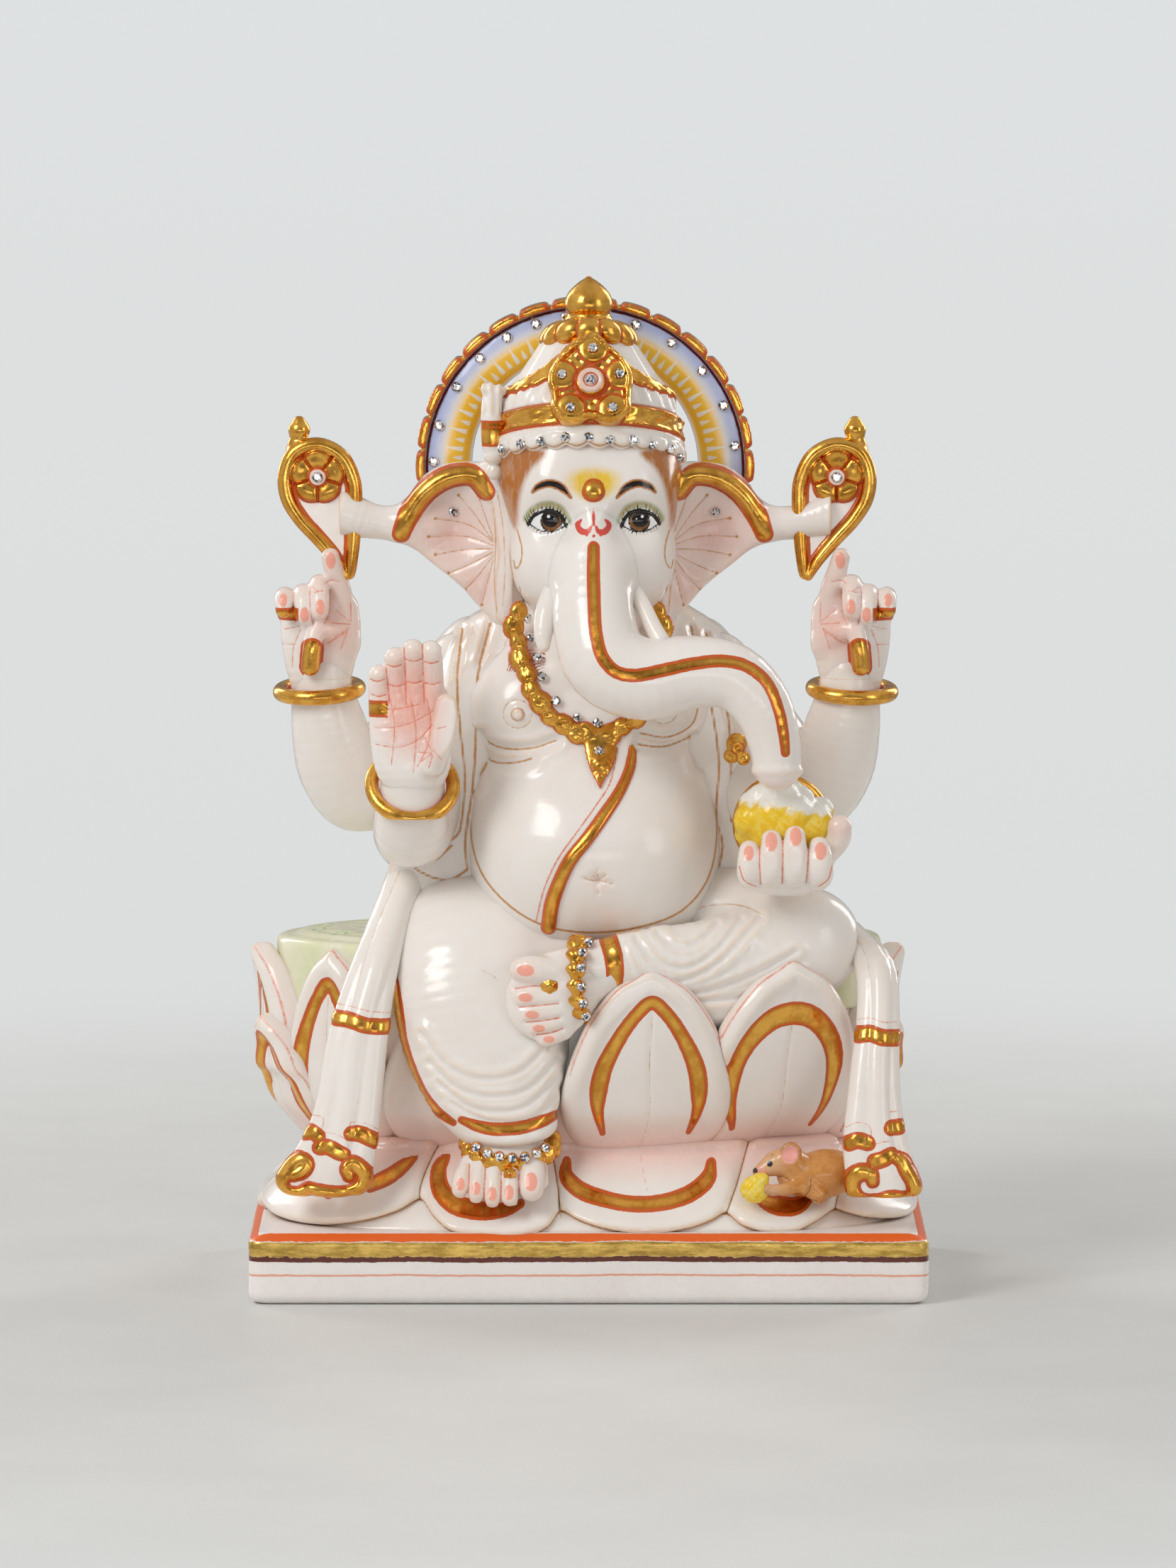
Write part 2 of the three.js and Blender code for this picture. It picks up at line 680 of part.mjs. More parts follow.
// ---- assembly: each piece is cut by the grown pieces before it, so it seats round them ----
const PIECES = [
  ["plinth", marble, plinth],
  ["medallion_stone", crystal, medallionStone],
  ["crown_finial", gold, crownFinial],
  ["crown_bead_ring", gold, crownBeads],
  ["crown_medallion", gold, crownMedallion],
  ["right_tusk", marble, () => tusk(-1, RIGHT_TUSK)],
  ["left_tusk", marble, () => tusk(1, LEFT_TUSK)],
  ["trunk", marble, trunk],
  ["crown_band", gold, crownBand],
  ["crown_dome", marble, crownDome],
  ["right_bangle", gold, rightBangle],
  ["left_bangle", gold, leftBangle],
  ["rear_right_bangle", gold, () => rearBangle(-1)],
  ["rear_left_bangle", gold, () => rearBangle(1)],
  ["left_hand", marble, leftHand],
  ["modak_sweets", sweet, modak],
  ["right_hand", marble, rightHand],
  ["rear_right_hand", marble, () => rearHand(-1)],
  ["rear_left_hand", marble, () => rearHand(1)],
  ["rear_right_emblem", gold, () => emblem(-1, [-81.5, 244], [-73.5, 212])],
  ["rear_left_emblem", gold, () => emblem(1, [76, 244], [70.5, 212])],
  ["necklace", gold, necklace],
  ["sacred_thread", gold, sacredThread],
  ["right_ear", marble, () => ear(-1)],
  ["left_ear", marble, () => ear(1)],
  ["right_anklet", gold, rightAnklet],
  ["left_anklet", gold, leftAnklet],
  ["right_foot", marble, rightFoot],
  ["left_foot", marble, leftFoot],
  ["mouse", fur, mouse],
  ["shawl_tail_right", marble, rightTail],
  ["shawl_tail_left", marble, leftTail],
  ["left_leg", marble, leftLeg],
  ["right_leg", marble, rightLeg],
  ["right_arm", marble, rightArm],
  ["left_arm", marble, leftArm],
  ["rear_right_arm", marble, () => rearArm(-1)],
  ["rear_left_arm", marble, () => rearArm(1)],
  ["head", marble, head],
  ["torso", marble, torso],
  ["shawl", marble, shawl],
  ["halo", halo, haloRing],
  ...GROUND_PETALS.map((petal, i) => [`ground_petal_${i + 1}`, marble, () => groundPetal(petal)]),
  ...LOTUS_PETALS.map((petal) => [`lotus_petal_${petal[0]}`, marble, () => lotusPetal(petal)]),
  ["seed_pod", seedGreen, seedPod],
  ["lotus_bowl", marble, lotusBowl],
  ["lotus_mound", marble, lotusMound],
];

const idol = new THREE.Group();
const seated = [];
for (const [name, material, shapes] of PIECES) {
  const whole = joined(shapes());
  let solid = whole;
  for (const cutter of seated) {
    if (boxesMeet(solid, cutter)) solid = solid.subtract(cutter);
  }
  seated.push(joined(shapes(), GROW).add(whole));
  const mesh = new THREE.Mesh(geometryOf(largest(solid)), material);
  mesh.name = name;
  idol.add(mesh);
}

export default idol;
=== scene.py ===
# The looks of a white marble Ganesha idol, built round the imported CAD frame.
# Shapes are written in millimetres in the row frame (+Z up, the idol faces -Y) and scaled when meshed.
# "right" and "left" in the names are the idol's own: its right hand is at -X.
import math

import bpy
import numpy as np
import openvdb as vdb
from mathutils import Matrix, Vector


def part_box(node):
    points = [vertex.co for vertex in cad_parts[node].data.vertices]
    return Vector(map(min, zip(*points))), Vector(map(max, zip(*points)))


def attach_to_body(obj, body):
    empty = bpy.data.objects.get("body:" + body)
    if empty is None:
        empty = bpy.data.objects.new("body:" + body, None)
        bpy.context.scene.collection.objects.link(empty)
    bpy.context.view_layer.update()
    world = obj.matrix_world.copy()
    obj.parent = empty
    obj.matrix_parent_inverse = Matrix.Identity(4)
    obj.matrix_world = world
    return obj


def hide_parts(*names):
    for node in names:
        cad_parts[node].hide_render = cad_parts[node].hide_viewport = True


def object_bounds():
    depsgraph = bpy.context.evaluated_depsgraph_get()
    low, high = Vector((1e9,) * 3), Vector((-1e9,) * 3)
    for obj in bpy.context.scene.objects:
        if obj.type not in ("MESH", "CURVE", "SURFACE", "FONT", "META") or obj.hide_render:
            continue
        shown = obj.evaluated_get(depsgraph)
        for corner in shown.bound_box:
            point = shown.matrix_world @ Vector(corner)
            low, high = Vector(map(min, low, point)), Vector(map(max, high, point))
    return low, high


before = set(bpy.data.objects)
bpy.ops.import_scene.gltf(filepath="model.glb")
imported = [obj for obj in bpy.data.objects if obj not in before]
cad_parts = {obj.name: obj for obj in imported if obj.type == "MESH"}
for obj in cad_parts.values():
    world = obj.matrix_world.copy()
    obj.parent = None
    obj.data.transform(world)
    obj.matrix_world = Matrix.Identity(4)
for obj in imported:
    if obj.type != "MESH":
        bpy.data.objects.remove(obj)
CAD_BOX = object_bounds()
MM = 0.001
BODY = "root"
FAR = 9.0  # mm: a mark's distance where its paint is nowhere near


def room(*nodes, grow=0.0):
    """Lowest and highest corner of some CAD nodes together, in millimetres, grown on every side."""
    boxes = [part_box(n) for n in nodes]
    low = np.min([np.array(b[0]) for b in boxes], axis=0) / MM
    high = np.max([np.array(b[1]) for b in boxes], axis=0) / MM
    return low - grow, high + grow


# ---- curves ----
def smooth(points, per=5):
    """A smooth curve through the points. Any columns past the place, such as widths, follow along."""
    p = np.array(points, float)
    if len(p) < 3:
        return p
    steps = np.linalg.norm(np.diff(p[:, :3], axis=0), axis=1)
    t = np.r_[0, np.cumsum(np.sqrt(steps + 1e-6))]
    slope = np.gradient(p, t, axis=0)
    out = []
    for i in range(len(p) - 1):
        s = np.linspace(0, 1, per, endpoint=False)[:, None]
        h = t[i + 1] - t[i]
        out.append(
            (2 * s**3 - 3 * s**2 + 1) * p[i]
            + (s**3 - 2 * s**2 + s) * h * slope[i]
            + (3 * s**2 - 2 * s**3) * p[i + 1]
            + (s**3 - s**2) * h * slope[i + 1]
        )
    return np.vstack(out + [p[-1:]])


def step(v, low, high):
    """0 below low, 1 above high, and smooth between them."""
    t = np.clip((v - low) / (high - low), 0, 1)
    return t * t * (3 - 2 * t)


def stroke(points, half=0.5, per=5):
    """Signed distance in the x, z plane to a line with round ends: a third column gives its half width."""
    s = smooth([(p[0], p[1], p[2] if len(p) > 2 else half) for p in points], per)

    def distance(x, z):
        best = None
        for (x0, z0, r0), (x1, z1, r1) in zip(s[:-1], s[1:]):
            dx, dz = x1 - x0, z1 - z0
            t = np.clip(((x - x0) * dx + (z - z0) * dz) / (dx * dx + dz * dz + 1e-9), 0, 1)
            d = np.sqrt((x - x0 - t * dx) ** 2 + (z - z0 - t * dz) ** 2) - (r0 + t * (r1 - r0))
            best = d if best is None else np.minimum(best, d)
        return best

    return distance


def region(points, per=4):
    """Signed distance in the x, z plane to a smooth closed outline, negative inside."""
    p = np.array(points, float)
    s = smooth(np.vstack([p[-2:], p, p[:2]]), per)[2 * per : -2 * per + 1]

    def distance(x, z):
        best = np.full(np.broadcast(x, z).shape, 1e9)
        inside = np.ones(best.shape)
        for (x0, z0), (x1, z1) in zip(s, np.roll(s, -1, axis=0)):
            dx, dz = x1 - x0, z1 - z0
            t = np.clip(((x - x0) * dx + (z - z0) * dz) / (dx * dx + dz * dz + 1e-9), 0, 1)
            best = np.minimum(best, (x - x0 - t * dx) ** 2 + (z - z0 - t * dz) ** 2)
            crosses = ((z0 > z) != (z1 > z)) & (x < dx * (z - z0) / (dz if dz else 1e-9) + x0)
            inside = np.where(crosses, -inside, inside)
        return np.sqrt(best) * inside

    return distance


def spots(centres, radius):
    """Signed distance in the x, z plane to round or oval dots (x, z) or (x, z, half width, half height)."""

    def distance(x, z):
        best = None
        for c in centres:
            a, b = (c[2], c[3]) if len(c) > 2 else (radius, radius)
            r = np.sqrt(((x - c[0]) / a) ** 2 + ((z - c[1]) / b) ** 2)
            d = (r - 1) * min(a, b)
            best = d if best is None else np.minimum(best, d)
        return best

    return distance


def any_of(*distances):
    return lambda x, z: np.minimum.reduce([d(x, z) for d in distances])


# ---- solid fields: signed distance in millimetres, negative inside ----
def bell(v, width):
    """1 where v is 0, falling away on both sides over about width."""
    return np.exp(-((v / width) ** 2))


def smin(a, b, k):
    h = np.maximum(k - np.abs(a - b), 0) / k
    return np.minimum(a, b) - h * h * k / 4


def smax(a, b, k):
    return -smin(-a, -b, k)


def merge(k, *fields):
    """Solids flowing into each other over about k millimetres."""

    def field(x, y, z):
        d = fields[0](x, y, z)
        for f in fields[1:]:
            d = smin(d, f(x, y, z), k)
        return d

    return field


def ball(centre, radii, turn=(0, 0, 0)):
    """An ellipsoid, turned about X, Y and Z in degrees."""
    radii = (radii,) * 3 if np.isscalar(radii) else radii
    ax, ay, az = np.radians(turn)
    cx, sx, cy, sy, cz, sz = np.cos(ax), np.sin(ax), np.cos(ay), np.sin(ay), np.cos(az), np.sin(az)
    m = (
        np.array([[cz, -sz, 0], [sz, cz, 0], [0, 0, 1]])
        @ np.array([[cy, 0, sy], [0, 1, 0], [-sy, 0, cy]])
        @ np.array([[1, 0, 0], [0, cx, -sx], [0, sx, cx]])
    )

    def field(x, y, z):
        q = [x - centre[0], y - centre[1], z - centre[2]]
        if any(turn):
            q = [m[0, i] * q[0] + m[1, i] * q[1] + m[2, i] * q[2] for i in range(3)]
        k0 = np.sqrt(sum((q[i] / radii[i]) ** 2 for i in range(3)))
        k1 = np.sqrt(sum((q[i] / radii[i] ** 2) ** 2 for i in range(3)))
        return k0 * (k0 - 1) / np.maximum(k1, 1e-6)

    return field


def limb(stations, side=(1, 0, 0), per=4, reach=14.0):
    """A rounded limb through (x, y, z, half width[, half depth]). The half width lies along side."""
    s = smooth([(*q, q[3]) if len(q) == 4 else q for q in stations], per)
    side = np.array(side, float)

    def field(x, y, z):
        best = np.full(np.broadcast(x, y, z).shape, reach, np.float32)
        axes = (x.ravel(), y.ravel(), z.ravel())
        on_grid = best.size == len(axes[0]) * len(axes[1]) * len(axes[2]) and best.ndim == 3
        for p, q in zip(s[:-1], s[1:]):
            d = q[:3] - p[:3]
            length = np.linalg.norm(d)
            if length < 1e-6:
                continue
            window, gx, gy, gz = (slice(None),) * best.ndim, x, y, z
            if on_grid:
                room_needed = max(p[3:].max(), q[3:].max()) + reach
                cut = []
                for axis, low, high in zip(axes, np.minimum(p, q), np.maximum(p, q)):
                    a, b = np.searchsorted(axis, [low - room_needed, high + room_needed])
                    cut.append(slice(a, max(b, a)))
                window = tuple(cut)
                gx, gy, gz = x[cut[0]], y[:, cut[1]], z[:, :, cut[2]]
            dx, dy, dz = d / length
            ux, uy, uz = gx - p[0], gy - p[1], gz - p[2]
            t = np.clip((ux * dx + uy * dy + uz * dz) / length, 0, 1)
            ux, uy, uz = ux - t * d[0], uy - t * d[1], uz - t * d[2]
            a = p[3] + t * (q[3] - p[3])
            b = p[4] + t * (q[4] - p[4])
            across = side - np.dot(side, d) * d / length**2
            across /= max(np.linalg.norm(across), 1e-6)
            w2 = (ux * across[0] + uy * across[1] + uz * across[2]) ** 2
            r2 = np.maximum(ux * ux + uy * uy + uz * uz - w2, 0)
            k0 = np.sqrt(w2 / a**2 + r2 / b**2)
            k1 = np.sqrt(w2 / a**4 + r2 / b**4)
            best[window] = np.minimum(best[window], k0 * (k0 - 1) / np.maximum(k1, 1e-6))
        return best

    return field


def stack(levels, power=2.0):
    """A body of oval levels (z, half width, half depth, centre x, centre y) from the bottom up."""
    s = smooth([(q[0], 0, 0, *q[1:]) for q in levels], 6)

    def field(x, y, z):
        a, b, cx, cy = (np.interp(z, s[:, 0], s[:, k]) for k in (3, 4, 5, 6))
        r = (np.abs((x - cx) / a) ** power + np.abs((y - cy) / b) ** power) ** (1 / power)
        sides = (r - 1) * np.minimum(a, b)
        ends = np.maximum(s[0, 0] - z, z - s[-1, 0])
        return smax(sides, ends, 3.0)

    return field


def slab(outline, y0, y1, round_off=1.5):
    """An upright plate between y0 and y1 whose front outline is a distance in the x, z plane."""

    def field(x, y, z):
        edge = outline(x, z)
        return smax(edge, np.abs(y - (y0 + y1) / 2) - (y1 - y0) / 2, round_off)

    return field


def torus(centre, radius, tube, axis=(0, 0, 1), squash=1.0):
    n = np.array(axis, float) / np.linalg.norm(axis)

    def field(x, y, z):
        q = (x - centre[0], (y - centre[1]) / squash, z - centre[2])
        h = n[0] * q[0] + n[1] * q[1] + n[2] * q[2]
        r = np.sqrt(np.maximum(q[0] ** 2 + q[1] ** 2 + q[2] ** 2 - h * h, 0))
        return np.sqrt((r - radius) ** 2 + h * h) - tube

    return field


def groove(distance, depth, width):
    """A rounded groove, or with a negative depth a ridge, along a line."""
    return lambda x, z: -depth * bell(np.maximum(distance(x, z), 0), width)


def raised(distance, height, soft=0.4):
    return lambda x, z: height * (1 - step(distance(x, z), -soft, soft))


# ---- meshing ----
BAND_VOXELS = 4  # how far from the surface distances are kept


def mesh_of(field, low, high, voxel):
    """Quads of the field's zero surface, as points in millimetres and corner indices."""
    axes = [np.arange(low[k], high[k] + voxel, voxel, dtype=np.float32) for k in range(3)]
    x, y, z = axes[0][:, None, None], axes[1][None, :, None], axes[2][None, None, :]
    d = np.asarray(field(x, y, z), np.float32)
    d = np.ascontiguousarray(np.broadcast_to(d, tuple(len(a) for a in axes)))
    reach = BAND_VOXELS * voxel
    d = np.clip(d, -reach, reach)
    for k in range(3):
        for end in (0, -1):
            face = [slice(None)] * 3
            face[k] = end
            d[tuple(face)] = np.maximum(d[tuple(face)], voxel / 2)
    grid = vdb.FloatGrid()
    grid.background = reach
    grid.copyFromArray(d)
    points, quads = grid.convertToQuads(isovalue=0.0)
    return points * voxel + np.array([a[0] for a in axes]), quads


def new_piece(name, points, faces, material, smooth_faces=True):
    mesh = bpy.data.meshes.new(name)
    mesh.from_pydata(
        (np.asarray(points) * MM).tolist(),
        [],
        faces if isinstance(faces, list) else faces.tolist(),
    )
    mesh.update()
    if smooth_faces:
        mesh.shade_smooth()
    obj = bpy.data.objects.new(name, mesh)
    bpy.context.scene.collection.objects.link(obj)
    mesh.materials.append(material)
    return obj


def attach(obj, slot, *nodes):
    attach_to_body(obj, BODY)
    if nodes:
        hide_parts(*nodes)
    return obj


def sculpt(name, nodes, field, material, slot="white_marble", marks=None, voxel=0.6, grow=4.0, box=None):
    """Meshes a field in the room of its CAD nodes and paints it. A mark is a function of points."""
    low, high = box if box else room(*nodes, grow=grow)
    points, quads = mesh_of(field, low, high, voxel)
    flipped = np.asarray(quads)[:, ::-1]
    obj = new_piece(name, points, flipped, material)
    for key, mark in (marks or {}).items():
        layer = obj.data.attributes.new(key, "FLOAT", "POINT")
        values = np.clip(mark(points[:, 0], points[:, 1], points[:, 2]), -FAR, FAR)
        layer.data.foreach_set("value", np.ascontiguousarray(values, np.float32))
    return attach(obj, slot, *nodes)


# ---- materials ----
class Look:
    """A Principled material built by small expressions. Coordinates are the piece's own, in metres."""

    def __init__(self, name, **constants):
        self.material = bpy.data.materials.new(name)
        self.material.use_nodes = True
        self.tree = self.material.node_tree
        self.shader = self.tree.nodes["Principled BSDF"]
        for key, value in constants.items():
            self.shader.inputs[key.replace("_", " ")].default_value = value
        self.place = self.tree.nodes.new("ShaderNodeTexCoord").outputs["Object"]

    def plug(self, socket, value):
        if isinstance(value, bpy.types.NodeSocket):
            self.tree.links.new(value, socket)
        else:
            socket.default_value = value

    def math(self, operation, a, b=0.0, clamp=False):
        n = self.tree.nodes.new("ShaderNodeMath")
        n.operation, n.use_clamp = operation, clamp
        self.plug(n.inputs[0], a)
        self.plug(n.inputs[1], b)
        return n.outputs[0]

    def between(self, value, low, high, out_low=0.0, out_high=1.0):
        """Runs smoothly from out_low at low to out_high at high."""
        n = self.tree.nodes.new("ShaderNodeMapRange")
        n.interpolation_type = "SMOOTHSTEP"
        for socket, v in zip(n.inputs, (value, low, high, out_low, out_high)):
            self.plug(socket, v)
        return n.outputs[0]

    def mix(self, share, a, b, how="MIX"):
        n = self.tree.nodes.new("ShaderNodeMix")
        n.data_type, n.blend_type = "RGBA", how
        for socket, v in zip((n.inputs[0], n.inputs[6], n.inputs[7]), (share, a, b)):
            self.plug(socket, (*v, 1.0) if isinstance(v, tuple) and len(v) == 3 else v)
        return n.outputs[2]

    def hypot(self, a, b):
        return self.math("SQRT", self.math("ADD", self.math("MULTIPLY", a, a), self.math("MULTIPLY", b, b)))

    def blend(self, share, a, b):
        n = self.tree.nodes.new("ShaderNodeMix")
        for socket, v in zip((n.inputs[0], n.inputs[2], n.inputs[3]), (share, a, b)):
            self.plug(socket, v)
        return n.outputs[0]

    def noise(self, size_mm, detail=2.0, rough=0.5, stretch=None):
        """Noise of features about size_mm across, from 0 to 1."""
        n = self.tree.nodes.new("ShaderNodeTexNoise")
        where = self.place
        if stretch:
            m = self.tree.nodes.new("ShaderNodeMapping")
            m.inputs["Scale"].default_value = stretch
            self.tree.links.new(where, m.inputs["Vector"])
            where = m.outputs["Vector"]
        self.tree.links.new(where, n.inputs["Vector"])
        n.inputs["Scale"].default_value = 1 / (size_mm * MM)
        n.inputs["Detail"].default_value = detail
        n.inputs["Roughness"].default_value = rough
        return n.outputs["Fac"]

    def jitter(self, amount, *noise):
        """Noise about 0 that spans amount."""
        return self.math("MULTIPLY", self.math("SUBTRACT", self.noise(*noise), 0.5), amount)

    def drift(self, low, high, *noise):
        """A value that wanders between two others."""
        return self.between(self.noise(*noise), 0.3, 0.7, low, high)

    def mark(self, name):
        n = self.tree.nodes.new("ShaderNodeAttribute")
        n.attribute_name = name
        return n.outputs["Fac"]

    def axis(self, k):
        n = self.tree.nodes.new("ShaderNodeSeparateXYZ")
        self.tree.links.new(self.place, n.inputs[0])
        return self.math("MULTIPLY", n.outputs[k], 1 / MM)

    def creases(self):
        """1 in hollows, 0 on flats and ridges."""
        n = self.tree.nodes.new("ShaderNodeNewGeometry")
        return self.between(n.outputs["Pointiness"], 0.5, 0.44)

    def bump(self, height, depth_mm):
        n = self.tree.nodes.new("ShaderNodeBump")
        n.inputs["Distance"].default_value = depth_mm * MM
        self.plug(n.inputs["Height"], height)
        self.tree.links.new(n.outputs["Normal"], self.shader.inputs["Normal"])

    def finish(self, color, roughness=None, metallic=None):
        self.plug(self.shader.inputs["Base Color"], color)
        if roughness is not None:
            self.plug(self.shader.inputs["Roughness"], roughness)
        if metallic is not None:
            self.plug(self.shader.inputs["Metallic"], metallic)
        return self.material


WHITE = (0.90, 0.85, 0.80)
# the colour of the painted shade laid into the marble's hollows
CREASE_SHADE = (0.82, 0.58, 0.36)
GOLD = (0.88, 0.47, 0.085)
DEEP_GOLD = (0.66, 0.30, 0.04)
ENAMEL = (0.60, 0.10, 0.012)
TAN = (0.60, 0.30, 0.10)
GLAZE = (0.60, 0.19, 0.02)  # the red tinge of leaf near its edge
PINK = (1.0, 0.50, 0.42)
MARBLE = dict(
    Subsurface_Weight=0.22,
    Subsurface_Radius=(0.004, 0.0026, 0.0018),
    Subsurface_Scale=1.0,
    Specular_IOR_Level=0.38,
    Coat_Weight=0.18,
    Coat_Roughness=0.06,
    IOR=1.5,
)
# Painted marks that a piece may carry, from the lowest layer up: colour, roughness, half its soft edge in mm.
# A coat with no edge is a tint that multiplies what is under it. Gold's colour and roughness are its own.
COATS = {
    "rosy": (PINK, 0.3, None),
    "amber": ((1.0, 0.72, 0.07), 0.3, None),
    "umber": ((0.52, 0.20, 0.05), 0.4, None),
    "moss": ((0.36, 0.44, 0.18), 0.4, None),
    "tan": (TAN, 0.4, 0.2),
    "vein": ((0.76, 0.19, 0.08), 0.35, 0.2),
    "nail": ((0.93, 0.42, 0.32), 0.25, 0.18),
    "green": ((0.05, 0.42, 0.08), 0.35, 0.15),
    "white": ((0.9, 0.9, 0.9), 0.3, 0.12),
    "iris": ((0.22, 0.085, 0.018), 0.12, 0.1),
    "black": ((0.012, 0.009, 0.008), 0.15, 0.1),
    "glint": ((0.95, 0.95, 0.95), 0.1, 0.08),
    "rouge": ((0.72, 0.085, 0.06), 0.3, 0.14),
    "red": (ENAMEL, 0.3, 0.14),
    "gold": (None, None, 0.1),
}
RED_EDGE = 0.85  # mm of red enamel left showing round gold leaf


def gold_tone(look):
    worn = look.between(look.noise(5.0, 4.0, 0.6), 0.34, 0.6)
    patina = look.between(look.noise(1.9, 3.0, 0.55), 0.60, 0.80)
    gold = look.mix(worn, DEEP_GOLD, GOLD)
    return look.mix(look.math("MULTIPLY", patina, 0.35), gold, (0.42, 0.16, 0.03))


painted = {}  # the painted marbles made so far, by their coats


def painted_marble(marks):
    """Polished marble with painted shade in its hollows and the layers of paint that the marks name."""
    key = tuple(k for k in COATS if k in marks)
    if key in painted:
        return painted[key]
    look = Look("_".join(("marble", *key)), **MARBLE)
    cloud = look.between(look.noise(26.0, 4.0, 0.6), 0.35, 0.75)
    color = look.mix(cloud, WHITE, (0.865, 0.80, 0.74))
    grain = look.between(look.noise(0.9, 3.0, 0.7), 0.3, 0.8)
    color = look.mix(look.math("MULTIPLY", grain, 0.18), color, (0.93, 0.90, 0.87))
    # Painted shade: a warm cream laid into the hollows, where shade falls.
    color = look.mix(look.math("MULTIPLY", look.creases(), 0.75), color, CREASE_SHADE)
    roughness = look.drift(0.14, 0.26, 3.5, 3.0)
    metallic = 0.0
    wobble = look.jitter(0.34, 1.6, 3.0, 0.6)
    streaks = look.noise(1.0, 3.0, 0.6, stretch=(1, 1, 0.25))
    for name in key:
        paint, rough, soft = COATS[name]
        mark = look.mark(name)
        if soft is None:
            share = look.math("MULTIPLY", mark, look.between(streaks, 0.2, 0.75, 0.65, 1.0), clamp=True)
            color = look.mix(share, color, paint, "MULTIPLY")
            continue
        edge = look.math("ADD", mark, wobble)
        share = look.between(edge, soft, -soft)
        if name == "gold":
            red = look.between(edge, RED_EDGE + 0.12, RED_EDGE - 0.12)
            color = look.mix(red, color, ENAMEL)
            roughness = look.blend(red, roughness, 0.3)
            glaze = look.math("MULTIPLY", look.between(edge, -0.95, -0.1), 0.75)
            paint = look.mix(glaze, gold_tone(look), GLAZE)
            leaf_rough = look.drift(0.14, 0.3, 2.2, 3.0, 0.6)
            metallic = share
            color = look.mix(share, color, paint)
            roughness = look.blend(share, roughness, leaf_rough)
            continue
        color = look.mix(share, color, paint)
        roughness = look.blend(share, roughness, rough)
    look.bump(look.noise(5.0, 4.0, 0.6), 0.12)
    painted[key] = look.finish(color, roughness, metallic)
    return painted[key]


def gold_leaf(laid):
    """Burnished leaf over red enamel that shows in the hollows and, where laid on marble, at its foot."""
    look = Look("gold_leaf_laid" if laid else "gold_leaf", Coat_Weight=0.15, Coat_Roughness=0.12)
    worn = look.math("SUBTRACT", look.noise(2.6, 3.0, 0.6), 0.5)
    red = look.between(look.math("ADD", look.creases(), worn), 0.52, 0.78)
    gold = gold_tone(look)
    if laid:
        foot = look.math("ADD", look.mark("foot"), worn)
        red = look.math("MAXIMUM", red, look.between(foot, 1.15, 0.8))
        gold = look.mix(look.math("MULTIPLY", look.between(foot, 1.7, 0.8), 0.7), gold, GLAZE)
    color = look.mix(red, gold, ENAMEL)
    rough = look.drift(0.13, 0.28, 2.2, 3.0, 0.6)
    look.bump(look.noise(2.8, 2.0, 0.5), 0.06)
    return look.finish(color, look.blend(red, rough, 0.35), look.math("SUBTRACT", 1.0, red))


LEAF = gold_leaf(False)
LAID_LEAF = gold_leaf(True)


def cut_glass():
    look = Look("cut_glass", Metallic=1.0, Roughness=0.04, Coat_Weight=1.0, Coat_Roughness=0.02)
    # Painted reflection: dark and bright patches in the stones' colour stand in for the sparkle of their
    # facets.
    painted_sparkle = look.noise(0.8, 0.0)
    return look.finish(look.mix(look.between(painted_sparkle, 0.40, 0.50), (0.13, 0.14, 0.16), (0.98, 0.98, 1.0)))


GLASS = cut_glass()


def marble_piece(name, nodes, field, marks=None, **options):
    """A sculpted marble piece. Distance marks and soft tints are functions of x, y and z."""
    marks = marks or {}
    return sculpt(name, nodes, field, painted_marble(marks), "white_marble", marks, **options)


def gold_piece(name, nodes, field, ground=None, voxel=0.45, **options):
    """A sculpted piece all in leaf. The ground is the field of the marble that it is laid on, if any."""
    marks = {"foot": ground} if ground else {}
    return sculpt(
        name,
        nodes,
        field,
        LAID_LEAF if ground else LEAF,
        "gold_leaf",
        marks,
        voxel=voxel,
        **options,
    )




def front(distance, limit=0.0):
    """A front-view distance used as a mark, only where y is under limit."""
    return lambda x, y, z: np.where(y < limit, distance(x, z), FAR)


# ---- cut glass stones ----
RAY = (-70.0, 40.0, 0.25)  # where a ray from the front starts and stops, and its step, in mm
FACING = np.array([0, -1.0, 0])


def surface_at(field, x, z):
    """The first point of a field met from the front at (x, z), and its outward normal."""
    y = np.arange(*RAY, dtype=np.float32)[None, :, None]
    d = field(np.full((1, 1, 1), x, np.float32), y, np.full((1, 1, 1), z, np.float32)).ravel()
    i = int(np.argmax(d < 0))
    share = d[i - 1] / (d[i - 1] - d[i]) if i else 0
    point = np.array([x, y.ravel()[i - 1] + RAY[2] * share, z])
    return point, normal_at(field, point)


def normal_at(field, point, h=0.6):
    slope = []
    for k in range(3):
        ends = []
        for sign in (-1, 1):
            q = point.copy()
            q[k] += sign * h
            ends.append(float(field(*(np.full((1, 1, 1), v, np.float32) for v in q)).ravel()[0]))
        slope.append(ends[1] - ends[0])
    return np.array(slope) / max(np.linalg.norm(slope), 1e-9)


GEM_SIDES = 10


